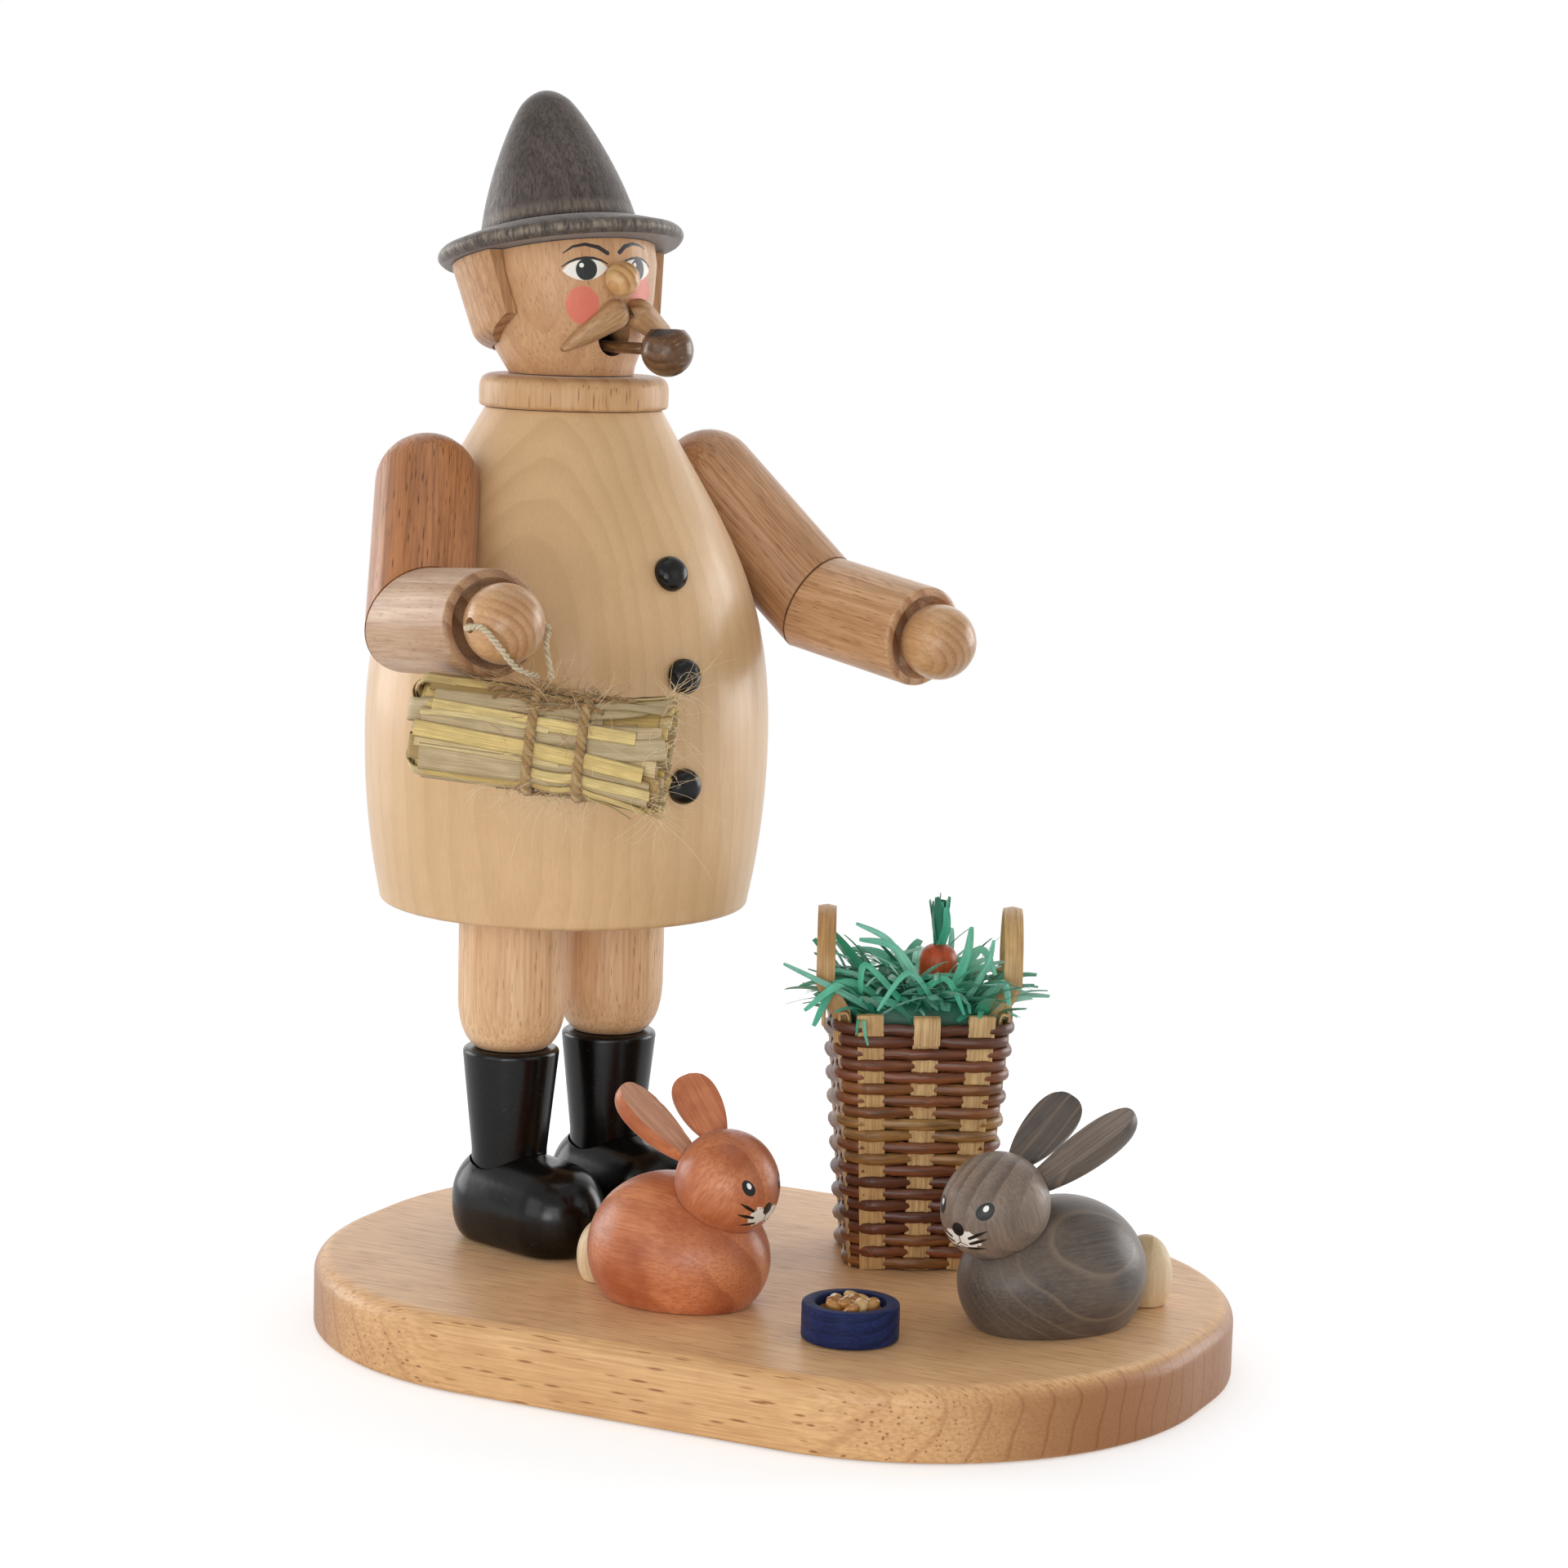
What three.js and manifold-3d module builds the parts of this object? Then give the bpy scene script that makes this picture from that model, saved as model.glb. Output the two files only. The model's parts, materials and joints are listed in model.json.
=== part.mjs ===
// Incense smoker: a turned wooden rabbit keeper on an oval plate. Millimetres, +Z up.
// The origin is the middle of the plate's underside, with +X along the plate's long axis.
import * as THREE from 'three';
import { mergeVertices } from 'three/addons/utils/BufferGeometryUtils.js';
import Module from 'manifold-3d';

const wasm = await Module();
wasm.setup();

// Clearances
const GLUE_LINE = 0.15;
const FIT_GAP = 0.3;

// Plate
const PLATE_LENGTH = 150;
const PLATE_WIDTH = 105;
const PLATE_THICKNESS = 11.6;
const PLATE_END_ROUNDNESS = 0.92;
const PLATE_TOP_ROUND = 3;
const PLATE_FOOT_ROUND = 0.7;

// Where the keeper stands, and which way the feet, the body and the head face
const KEEPER_X = -42;
const KEEPER_Y = 5;
const FEET_FACING = 72;
const BODY_FACING = 62.5;
const HEAD_FACING = 64;
const HEAD_TILT = 12.5;

// Shoes, boot shafts and legs
const LEG_SPREAD = 11.1;
const SHOE_WIDTH = 17;
const SHOE_HEEL = 9.7;
const SHOE_TOE = 19.6;
const SHOE_HEIGHT = 15.2;
const SHOE_CROWN = 8.5;
const SHOE_RIDGE = 2.4;
const SHOE_TOE_DROP = 1.2;
const SHOE_FOOT_ROUND = 2.6;
const SHOE_FOOT_HEIGHT = 6;
const SHOE_SEAT_DEPTH = 4;
const SHAFT_TOP_RADIUS = 7.9;
const SHAFT_FOOT_RADIUS = 6.2;
const SHAFT_LENGTH = 21;
const SHAFT_RIM_CHAMFER = 0.6;
const LEG_RADIUS = 8.9;
const LEG_END_RADIUS = 5.9;
const LEG_LENGTH = 24.6;
const LEG_TAPER_LENGTH = 9;
const LEG_TAPER_PULL = 2;
const LEG_PEG_RADIUS = 3.2;
const LEG_PEG_LENGTH = 6;
const SOCKET_DEPTH_SPARE = 0.5;

// Seat that carries the coat, with the metal plate for the incense cone
const SEAT_RADIUS = 25;
const SEAT_FLANGE = 6;
const SPIGOT_RADIUS = 21.6;
const SPIGOT_HEIGHT = 5;
const SEAT_RECESS = 1.1;
const CONE_PLATE_RADIUS = 11;
const CONE_PLATE_THICKNESS = 0.8;
const CONE_PLATE_LIP = 1.4;
const NAIL_HEAD_RADIUS = 2;
const NAIL_HEAD_THICKNESS = 0.7;
const NAIL_RADIUS = 0.7;
const NAIL_LENGTH = 5;

// Coat
const COAT_HEIGHT = 81;
const COAT_HEM_RADIUS = 30.4;
const COAT_HEM_ROUND = 1.2;
const COAT_BELLY_RADIUS = 33.1;
const COAT_BELLY_HEIGHT = 28;
const COAT_BELLY_PULL = 26;
const COAT_NECK_RADIUS = 14.4;
const COAT_NECK_PULL_OUT = 9.9;
const COAT_NECK_PULL_DOWN = 18;
const CHAMBER_RADIUS = 22;
const CHAMBER_STRAIGHT = 42;
const CHAMBER_CONE = 20;
const SMOKE_BORE_RADIUS = 4.5;
const BUTTON_HEIGHTS = [56.3, 40.6, 23.3];
const BUTTON_NAMES = ['top', 'middle', 'bottom'];
const BUTTON_RADIUS = 2.85;
const BUTTON_BULGE = 2.3;

// Collar
const COLLAR_RADIUS = 15.4;
const COLLAR_HEIGHT = 5.3;
const COLLAR_ROUND = 2.4;

// Head and hair
const HEAD_HEIGHT = 19.2;
const HEAD_CHIN_RADIUS = 9.9;
const HEAD_JAW_RADIUS = 13.4;
const HEAD_JAW_HEIGHT = 8;
const HEAD_BROW_RADIUS = 15.2;
const HEAD_PEG_RADIUS = 5;
const HEAD_PEG_LENGTH = 4;
const HEAD_CHIN_DROP = 3;
const HEAD_CHIN_TUCK = 1;
const HEAD_BROW_STRAIGHT = 3;
const HEAD_BORE_RADIUS = 4;
const HEAD_BORE_TOP = 8.5;
const MOUTH_RADIUS = 3.1;
const MOUTH_HEIGHT = 4.1;
const MOUTH_SIDE = 0.4;
const HAIR_TOP_RADIUS = 17.9;
const HAIR_LOW_RADIUS = 15.9;
const HAIR_LOW_HEIGHT = 9;
const HAIR_HEM_HEIGHT = 5.2;
const HAIR_HEM_TUCK = 0.4;
const HAIR_FRONT = 4.6;
const HAIR_NAPE = -3.5;
const NOSE_RADIUS = 2.8;
const NOSE_HEIGHT = 12.5;
const NOSE_STAND = 1.3;
const MOUSTACHE_LENGTH = 12.8;
const MOUSTACHE_RADIUS = 2.5;
const MOUSTACHE_TIP_RADIUS = 0.6;
const MOUSTACHE_TIP_LENGTH = 0.5;
const MOUSTACHE_HEIGHT = 8.4;
const MOUSTACHE_SIDE = 1.7;
const MOUSTACHE_APART = 0.8;
const MOUSTACHE_STAND = 0.7;
const MOUSTACHE_RIGHT = { droop: 29, sweep: 30 };
const MOUSTACHE_LEFT = { droop: 31, sweep: 12 };

// Pipe
const PIPE_BALL_RADIUS = 4.2;
const PIPE_BALL_RIM = 3.3;
const PIPE_BORE_RADIUS = 2;
const PIPE_BORE_DEPTH = 4.2;
const PIPE_REACH = 12.6;
const PIPE_DROP = 4.6;
const PIPE_STEM_RADIUS = 0.95;
const PIPE_STEM_INSIDE = 5;
const PIPE_SIDE = 0.5;

// Hat
const BRIM_RADIUS = 20.5;
const BRIM_THICKNESS = 2.6;
const BRIM_RISE = 1.6;
const GROOVE_WIDTH = 1.6;
const GROOVE_UNDERCUT = 0.3;
const GROOVE_HEIGHT = 0.5;
const CROWN_RADIUS = 12.7;
const CROWN_HEIGHT = 22.8;
const CROWN_WALL_PULL = 8;
const CROWN_WALL_LEAN = 1.5;
const CROWN_TIP_PULL = 5;
const CROWN_TIP_RADIUS = 4;

// Arms, from the shoulder: out to the side, forward and up, for the left arm
const SHOULDER_HEIGHT = 69;
const SHOULDER_OUT = 6.2;
const UPPER_ARM_RADIUS = 8.3;
const UPPER_ARM_OUT = 11.2;
const UPPER_ARM_FORWARD = 16.3;
const UPPER_ARM_DROP = 19.6;
const FOREARM_RADIUS = 8.2;
const FOREARM_OUT = 2.5;
const FOREARM_FORWARD = 25.1;
const FOREARM_RISE_LEFT = -3.3;
const FOREARM_RISE_RIGHT = 2.2;
const CUFF_CHAMFER = 0.8;
const CUFF_DISH_RADIUS = 6.9;
const CUFF_DISH_FLOOR_RADIUS = 5.5;
const CUFF_DISH_DEPTH = 3;
const HAND_RADIUS = 6.1;
const HAND_REACH = 3.5;
const HAND_BORE_RADIUS = 1.2;
const SHOULDER_DOWEL_RADIUS = 2.5;
const SHOULDER_DOWEL_IN_COAT = 6;
const SHOULDER_DOWEL_IN_ARM = 5;

// Straw bundle on its twine, placed from the right hand
const BUNDLE_LENGTH = 39.5;
const BUNDLE_THICKNESS = 14;
const BUNDLE_HEIGHT = 15;
const BUNDLE_WAIST = 0.7;
const BUNDLE_CORNER = 5.4;
const BUNDLE_SIDE = 5.8;
const BUNDLE_FORWARD = 5;
const BUNDLE_BELOW = 17.2;
const BUNDLE_TURN = 49.5;
const BUNDLE_DIP = 7;
const TIE_PLACES = [-2.7, 4.9];
const TIE_NAMES = ['left', 'right'];
const TIE_RADIUS = 0.65;
const TIE_DRAW_IN = 2.2;
const TWINE_RADIUS = 0.5;
const TWINE_STAND = 0.8;
const TWINE_KNOT_WIDTH = 1.4;

// Rabbits
const RABBIT_GIRTH_RADIUS = 12.4;
const RABBIT_HAUNCH = 2;
const RABBIT_AXIS_HEIGHT = 7.2;
const RABBIT_HEAD_RADIUS = 8.1;
const RABBIT_HEAD_BACK = 8;
const RABBIT_EAR_RADIUS = 3;
const RABBIT_EAR_ROOT_RADIUS = 1.7;
const RABBIT_EAR_FLAT = 0.7;
const RABBIT_EAR_SUNK = 1.5;
const RABBIT_EAR_WIDEST = 0.62;
const RABBIT_EAR_SWELL = 0.3;
const RABBIT_TAIL_RADIUS = 4.3;
const RABBIT_TAIL_SUNK = 2.2;
const BROWN_RABBIT = {
  place: [-4.7, -22.7],
  facing: 79,
  rump: 13.5,
  chest: 17.5,
  headForward: 8.8,
  headHeight: 20.1,
  headLength: 8.8,
  headNod: 40,
  tailBack: 15.4,
  tailHeight: 12,
  earLeft: { root: [3, 5.1, 6.8], tip: [5.8, 13.3, 13.4], flat: [-6, -5, 6] },
  earRight: { root: [-3, 6.8, 4.7], tip: [-5.7, 16.8, 13.3], flat: [0, -6.5, 7.6] },
};
const GRAY_RABBIT = {
  place: [50.8, -5.2],
  facing: -27,
  rump: 14.3,
  chest: 18.1,
  headForward: 11.2,
  headHeight: 20.1,
  headLength: 9.5,
  headNod: 22,
  tailBack: 20,
  tailHeight: 13.2,
  earLeft: { root: [3, 6.1, 3.7], tip: [6, 21.6, 13], flat: [0, -5.1, 8.5] },
  earRight: { root: [-3, 7.2, 6.2], tip: [-5.8, 19.6, 13.1], flat: [6, -4, 6] },
};

// Feed bowl and grains
const BOWL_X = 28;
const BOWL_Y = -29.4;
const BOWL_RADIUS = 7.5;
const BOWL_HEIGHT = 5.6;
const BOWL_BORE_RADIUS = 5.5;
const BOWL_FLOOR = 1.6;
const BOWL_CHAMFER = 0.4;
const GRAIN_LENGTH = 2.9;
const GRAIN_WIDTH = 2.1;
const GRAIN_HEIGHT = 1.7;
const GRAIN_COUNT = 8;
const GRAIN_FIRST_REACH = 0.3;
const GRAIN_TURN = 137.5;

// Basket
const BASKET_X = 15.6;
const BASKET_Y = 20.7;
const BASKET_FACING = 30;
const BASKET_RIM_WIDTH = 28.8;
const BASKET_FOOT_WIDTH = 22.6;
const BASKET_HEIGHT = 41.4;
const BASKET_CORNER = 4.4;
const BASKET_WALL = 2.6;
const BASKET_FLOOR = 2.4;
const STAKE_WIDTH = 4;
const STAKE_SPACING = 9;
const STAKE_PROUD = 0.6;
const STAKE_FOLD = 0.8;
const HANDLE_SPAN = 18;
const HANDLE_RISE = 16;
const HANDLE_WIDTH = 3;
const HANDLE_THICKNESS = 1.1;
const HANDLE_SET_DEPTH = 6;
const HANDLE_OUT = 0.8;
const HANDLE_TURN = -5;

// Grass and carrot in the basket
const GRASS_MOUND = 8.6;
const GRASS_GAP = 0.6;
const GRASS_CREST = 0.94;
const GRASS_FULLNESS = 0.8;
const GRASS_FOOT_ROUND = 0.3;
const GRASS_CREST_ROUND = 0.9;
const CARROT_SIDE = 3.2;
const CARROT_RADIUS = 3.1;
const CARROT_LENGTH = 24;
const CARROT_TIP_RADIUS = 0.4;
const CARROT_ABOVE_RIM = 10.4;
const LEAF_HEIGHT = 8.4;
const LEAF_RADIUS = 0.9;
const LEAF_COUNT = 4;
const LEAF_SPREAD = 16;

// Facet counts
const ROUND_LARGE = 28;
const ROUND_MEDIUM = 18;
const ROUND_SMALL = 12;
const ROUND_TINY = 10;
const ROUND_CORD = 8;
const GRAIN_SIDES = 6;
const LEAF_SIDES = 5;
const PLATE_CORNER_STEPS = 9;
const CORNER_STEPS = 3;
const CURVE_STEPS = 3;
const CREST_STEPS = 4;
const CHEEK_STEPS = 5;
const CHEST_STEPS = 8;
const HANDLE_STEPS = 10;
const TWINE_STEPS = 24;
const WELD_DISTANCE = 1e-4;

const rad = THREE.MathUtils.degToRad;
const v2 = (x, y) => new THREE.Vector2(x, y);
const v3 = (x, y, z) => new THREE.Vector3(x, y, z);
const evenly = (steps) => Array.from({ length: steps + 1 }, (_, i) => i / steps);

// Joins shared corners, drops empty triangles and turns the faces outwards
function weld(geometry) {
  const bare = geometry.clone();
  bare.deleteAttribute('normal');
  bare.deleteAttribute('uv');
  const merged = mergeVertices(bare, WELD_DISTANCE);
  const place = merged.attributes.position;
  const corner = (i) => v3().fromBufferAttribute(place, i);
  const triangles = [];
  let volume = 0;
  for (let i = 0; i < merged.index.count; i += 3) {
    const [a, b, c] = [0, 1, 2].map((k) => merged.index.getX(i + k));
    if (a === b || b === c || c === a) continue;
    volume += corner(a).dot(corner(b).cross(corner(c)));
    triangles.push([a, b, c]);
  }
  const outward = volume > 0 ? triangles : triangles.map(([a, b, c]) => [a, c, b]);
  merged.setIndex(outward.flat());
  return merged;
}

// Solid for cutting and joining, from a closed geometry
function solidOf(geometry) {
  const closed = weld(geometry);
  return new wasm.Manifold(new wasm.Mesh({
    numProp: 3,
    vertProperties: new Float32Array(closed.attributes.position.array),
    triVerts: new Uint32Array(closed.index.array),
  }));
}

// Geometry from a solid that was cut or joined
function geometryOf(solid) {
  const mesh = solid.getMesh();
  const geometry = new THREE.BufferGeometry();
  geometry.setAttribute('position', new THREE.BufferAttribute(mesh.vertProperties, 3));
  geometry.setIndex(new THREE.BufferAttribute(mesh.triVerts, 1));
  geometry.computeVertexNormals();
  return geometry;
}

// Turned solid about Z from a profile of [radius, height] pairs
function turned(profile, sides) {
  const points = profile.map(([radius, height]) => v2(radius, height));
  return weld(new THREE.LatheGeometry(points, sides).rotateX(Math.PI / 2));
}

// Points of a profile curve as [radius, height] pairs
function along(curve, steps = CURVE_STEPS) {
  return curve.getPoints(steps).map((point) => [point.x, point.y]);
}

// Quarter round from one profile point to another, bulging at the corner between them
function rounded(from, corner, to, steps = CURVE_STEPS) {
  return along(new THREE.QuadraticBezierCurve(v2(...from), v2(...corner), v2(...to)), steps);
}

// Solid through a row of closed rings, with a flat cap on the first and the last
function loft(rings) {
  const count = rings[0].length;
  const middle = (ring) => ring.reduce((sum, p) => sum.add(p), v3()).divideScalar(count);
  const corners = [...rings.flat(), middle(rings[0]), middle(rings.at(-1))];
  const first = corners.length - 2;
  const last = corners.length - 1;
  const index = [];
  for (let j = 0; j < count; j += 1) {
    const k = (j + 1) % count;
    for (let i = 0; i + 1 < rings.length; i += 1) {
      const low = i * count;
      const high = low + count;
      index.push(low + j, low + k, high + k, low + j, high + k, high + j);
    }
    const top = (rings.length - 1) * count;
    index.push(first, k, j, last, top + j, top + k);
  }
  const geometry = new THREE.BufferGeometry().setFromPoints(corners);
  geometry.setIndex(index);
  return weld(geometry);
}

// Ring of points round a rectangle with round corners, at one height
function roundedRing(halfX, halfY, radius, z, stepsPerCorner = CORNER_STEPS) {
  const signs = [[1, 1], [-1, 1], [-1, -1], [1, -1]];
  return signs.flatMap(([sx, sy], quarter) => {
    const cx = sx * (halfX - radius);
    const cy = sy * (halfY - radius);
    return Array.from({ length: stepsPerCorner + 1 }, (_, i) => {
      const angle = (quarter + i / stepsPerCorner) * Math.PI / 2;
      return v3(cx + radius * Math.cos(angle), cy + radius * Math.sin(angle), z);
    });
  });
}

// Ball stretched along its axes
function ball(radiusX, radiusY, radiusZ, around) {
  const sphere = new THREE.SphereGeometry(1, around, Math.round(around / 2));
  return weld(sphere.rotateX(Math.PI / 2).scale(radiusX, radiusY, radiusZ));
}

// Turns a geometry built along +Z to point along a direction, then moves it to a place
function aimed(geometry, direction, place) {
  const turn = new THREE.Quaternion().setFromUnitVectors(v3(0, 0, 1), direction.clone().normalize());
  return geometry.clone().applyQuaternion(turn).translate(place.x, place.y, place.z);
}

// Large block whose face passes through a place and whose body lies along a direction from it
function halfSpace(place, direction) {
  const size = 4 * PLATE_LENGTH;
  return solidOf(aimed(new THREE.BoxGeometry(size, size, size).translate(0, 0, size / 2), direction, place));
}

// Round tube along a smooth line through points
function tube(points, radius, steps, sides) {
  const section = new THREE.Shape();
  section.absarc(0, 0, radius, 0, 2 * Math.PI);
  const extrudePath = new THREE.CatmullRomCurve3(points);
  const settings = { steps, curveSegments: sides / 2, bevelEnabled: false, extrudePath };
  return weld(new THREE.ExtrudeGeometry(section, settings));
}

// Finishes
function finish(color, roughness, metalness = 0) {
  return () => new THREE.MeshStandardMaterial({ color, roughness, metalness });
}

const BEECH = finish('#cf9d6b', 0.5);
const BEECH_DARK = finish('#bd8450', 0.45);
const LINDEN = finish('#e0b988', 0.5);
const BLACK_LACQUER = finish('#0d0b0b', 0.15);
const HAT_STAIN = finish('#4c4844', 0.6);
const NOSE_WOOD = finish('#d9a65a', 0.4);
const PIPE_WOOD = finish('#4a2d1a', 0.35);
const STEEL = finish('#b9bbbd', 0.35, 1);
const STRAW = finish('#b9ab67', 0.8);
const JUTE = finish('#a8865a', 0.9);
const TWINE = finish('#d8c6a4', 0.9);
const RABBIT_BROWN = finish('#9c4f2c', 0.4);
const RABBIT_GRAY = finish('#57504b', 0.5);
const PALE_WOOD = finish('#e2c899', 0.5);
const BOWL_BLUE = finish('#1d2f6f', 0.5);
const GRAIN = finish('#c98a3c', 0.3);
const WICKER = finish('#7a4527', 0.6);
const CANE = finish('#c79a5f', 0.5);
const GRASS = finish('#1f8a6a', 0.7);
const CARROT_ORANGE = finish('#c8531b', 0.5);

// Named piece in a group
function piece(group, name, geometry, material) {
  const mesh = new THREE.Mesh(geometry, material());
  mesh.name = name;
  group.add(mesh);
  return mesh;
}

// Group at a place, turned about Z
function standing(parent, x, y, z, facing) {
  const group = new THREE.Group();
  group.position.set(x, y, z);
  group.rotation.z = rad(facing);
  parent.add(group);
  return group;
}

// Heights of the stack of pieces, from the plate up
const PLATE_TOP = PLATE_THICKNESS;
const SHAFT_FOOT_Z = PLATE_TOP + SHOE_HEIGHT - SHOE_SEAT_DEPTH;
const SHAFT_TOP_Z = SHAFT_FOOT_Z + SHAFT_LENGTH;
const SEAT_Z = SHAFT_TOP_Z + LEG_LENGTH;
const FLANGE_TOP_Z = SEAT_Z + SEAT_FLANGE;
const SPIGOT_TOP_Z = FLANGE_TOP_Z + SPIGOT_HEIGHT;
const COAT_Z = SEAT_Z - SEAT_RECESS;
const COLLAR_Z = COAT_Z + COAT_HEIGHT + GLUE_LINE;
const COLLAR_TOP_Z = COLLAR_Z + COLLAR_HEIGHT;

const smoker = new THREE.Group();

// Oval plate, rounded along its upper edge
function plate() {
  const ring = (inset, z) => roundedRing(
    PLATE_LENGTH / 2 - inset,
    PLATE_WIDTH / 2 - inset,
    PLATE_END_ROUNDNESS * PLATE_WIDTH / 2 - inset,
    z,
    PLATE_CORNER_STEPS,
  );
  const shoulder = PLATE_THICKNESS - PLATE_TOP_ROUND;
  const topRound = evenly(CORNER_STEPS).map((share) => {
    const angle = share * Math.PI / 2;
    return ring(PLATE_TOP_ROUND * (1 - Math.cos(angle)), shoulder + PLATE_TOP_ROUND * Math.sin(angle));
  });
  return loft([ring(PLATE_FOOT_ROUND, 0), ring(0, PLATE_FOOT_ROUND), ...topRound]);
}

piece(smoker, 'base_plate', plate(), BEECH);

// Shoe with a round heel and toe, a domed upper and a bored seat for the boot shaft
function shoe() {
  const half = SHOE_WIDTH / 2;
  const middle = (SHOE_HEEL - SHOE_TOE) / 2;
  const length = (SHOE_HEEL + SHOE_TOE) / 2;
  const ring = (inset, height) => roundedRing(half - inset, length - inset, half - inset, 0).map((p) => {
    const y = p.y + middle;
    const toward = THREE.MathUtils.clamp(-y / SHOE_TOE, 0, 1);
    const drop = SHOE_TOE_DROP * toward * height / SHOE_HEIGHT;
    return v3(p.x, y, height - drop);
  });
  const side = SHOE_HEIGHT - SHOE_CROWN;
  const crown = evenly(CREST_STEPS).map((share) => {
    const angle = share * Math.PI / 2;
    return ring((half - SHOE_RIDGE / 2) * (1 - Math.cos(angle)), side + SHOE_CROWN * Math.sin(angle));
  });
  const foot = evenly(CORNER_STEPS).slice(0, -1).map((share) => {
    const angle = share * Math.PI / 2;
    return ring(SHOE_FOOT_ROUND * (1 - Math.sin(angle)), SHOE_FOOT_HEIGHT * (1 - Math.cos(angle)));
  });
  const block = solidOf(loft([...foot, ...crown]));
  const seat = new THREE.CylinderGeometry(
    SHAFT_FOOT_RADIUS + FIT_GAP,
    SHAFT_FOOT_RADIUS + FIT_GAP,
    2 * SHOE_SEAT_DEPTH,
    ROUND_MEDIUM,
  );
  const bore = solidOf(seat.rotateX(Math.PI / 2).translate(0, 0, SHOE_HEIGHT));
  return geometryOf(block.subtract(bore));
}

// Boot shaft, wider at its top, with a socket for the leg's peg
function bootShaft() {
  const foot = GLUE_LINE;
  const socketFloor = SHAFT_LENGTH - LEG_PEG_LENGTH - SOCKET_DEPTH_SPARE;
  const socketRadius = LEG_PEG_RADIUS + FIT_GAP;
  return turned([
    [0, foot],
    [SHAFT_FOOT_RADIUS, foot],
    [SHAFT_FOOT_RADIUS, SHOE_SEAT_DEPTH],
    [SHAFT_TOP_RADIUS, SHAFT_LENGTH - SHAFT_RIM_CHAMFER],
    [SHAFT_TOP_RADIUS - SHAFT_RIM_CHAMFER, SHAFT_LENGTH],
    [socketRadius, SHAFT_LENGTH],
    [socketRadius, socketFloor],
    [0, socketFloor],
  ], ROUND_MEDIUM);
}

// Leg with a rounded lower end and a peg at each end
function leg() {
  const foot = GLUE_LINE;
  const head = LEG_LENGTH - GLUE_LINE;
  const taper = rounded(
    [LEG_END_RADIUS, foot],
    [LEG_RADIUS, foot + LEG_TAPER_PULL],
    [LEG_RADIUS, LEG_TAPER_LENGTH],
  );
  return turned([
    [0, -LEG_PEG_LENGTH],
    [LEG_PEG_RADIUS, -LEG_PEG_LENGTH],
    [LEG_PEG_RADIUS, foot],
    ...taper,
    [LEG_RADIUS, head],
    [LEG_PEG_RADIUS, head],
    [LEG_PEG_RADIUS, LEG_LENGTH + SEAT_FLANGE - SOCKET_DEPTH_SPARE],
    [0, LEG_LENGTH + SEAT_FLANGE - SOCKET_DEPTH_SPARE],
  ], ROUND_MEDIUM);
}

const feet = standing(smoker, KEEPER_X, KEEPER_Y, 0, FEET_FACING);
for (const [name, side] of [['left', 1], ['right', -1]]) {
  const x = side * LEG_SPREAD;
  piece(feet, `shoe_${name}`, shoe(), BLACK_LACQUER).position.set(x, 0, PLATE_TOP + GLUE_LINE);
  piece(feet, `boot_shaft_${name}`, bootShaft(), BLACK_LACQUER).position.set(x, 0, SHAFT_FOOT_Z + GLUE_LINE);
  piece(feet, `leg_${name}`, leg(), BEECH).position.set(x, 0, SHAFT_TOP_Z + GLUE_LINE);
}

// Seat disc on the legs: the coat rests on its flange and is guided by its spigot
function seatDisc() {
  const nailDepth = NAIL_LENGTH + SOCKET_DEPTH_SPARE;
  const nailBore = NAIL_RADIUS + FIT_GAP;
  const disc = solidOf(turned([
    [0, 0],
    [SEAT_RADIUS, 0],
    [SEAT_RADIUS, SEAT_FLANGE],
    [SPIGOT_RADIUS, SEAT_FLANGE],
    [SPIGOT_RADIUS, SEAT_FLANGE + SPIGOT_HEIGHT],
    [nailBore, SEAT_FLANGE + SPIGOT_HEIGHT],
    [nailBore, SEAT_FLANGE + SPIGOT_HEIGHT - nailDepth],
    [0, SEAT_FLANGE + SPIGOT_HEIGHT - nailDepth],
  ], ROUND_LARGE));
  const socketRadius = LEG_PEG_RADIUS + FIT_GAP;
  const socketDepth = SEAT_FLANGE + FIT_GAP;
  const socket = new THREE.CylinderGeometry(socketRadius, socketRadius, 2 * socketDepth, ROUND_SMALL);
  socket.rotateX(Math.PI / 2);
  const bores = [1, -1].map((side) => solidOf(socket.clone().translate(side * LEG_SPREAD, 0, 0)));
  return geometryOf(disc.subtract(bores[0]).subtract(bores[1]));
}

// Dished metal plate that the incense cone stands on
function conePlate() {
  const hole = NAIL_RADIUS + FIT_GAP;
  const rimInner = CONE_PLATE_RADIUS - CONE_PLATE_THICKNESS;
  return turned([
    [hole, 0],
    [CONE_PLATE_RADIUS - CONE_PLATE_LIP, 0],
    [CONE_PLATE_RADIUS, CONE_PLATE_LIP],
    [CONE_PLATE_RADIUS, CONE_PLATE_LIP + CONE_PLATE_THICKNESS],
    [rimInner, CONE_PLATE_LIP + CONE_PLATE_THICKNESS],
    [rimInner - CONE_PLATE_LIP, CONE_PLATE_THICKNESS],
    [hole, CONE_PLATE_THICKNESS],
    [hole, 0],
  ], ROUND_MEDIUM);
}

// Nail that holds the metal plate to the seat
function plateNail() {
  return turned([
    [0, -NAIL_LENGTH],
    [NAIL_RADIUS, -NAIL_LENGTH + 2 * NAIL_RADIUS],
    [NAIL_RADIUS, 0],
    [NAIL_HEAD_RADIUS, 0],
    [NAIL_HEAD_RADIUS, NAIL_HEAD_THICKNESS / 2],
    [NAIL_HEAD_RADIUS / 2, NAIL_HEAD_THICKNESS],
    [0, NAIL_HEAD_THICKNESS],
  ], ROUND_TINY);
}

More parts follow.
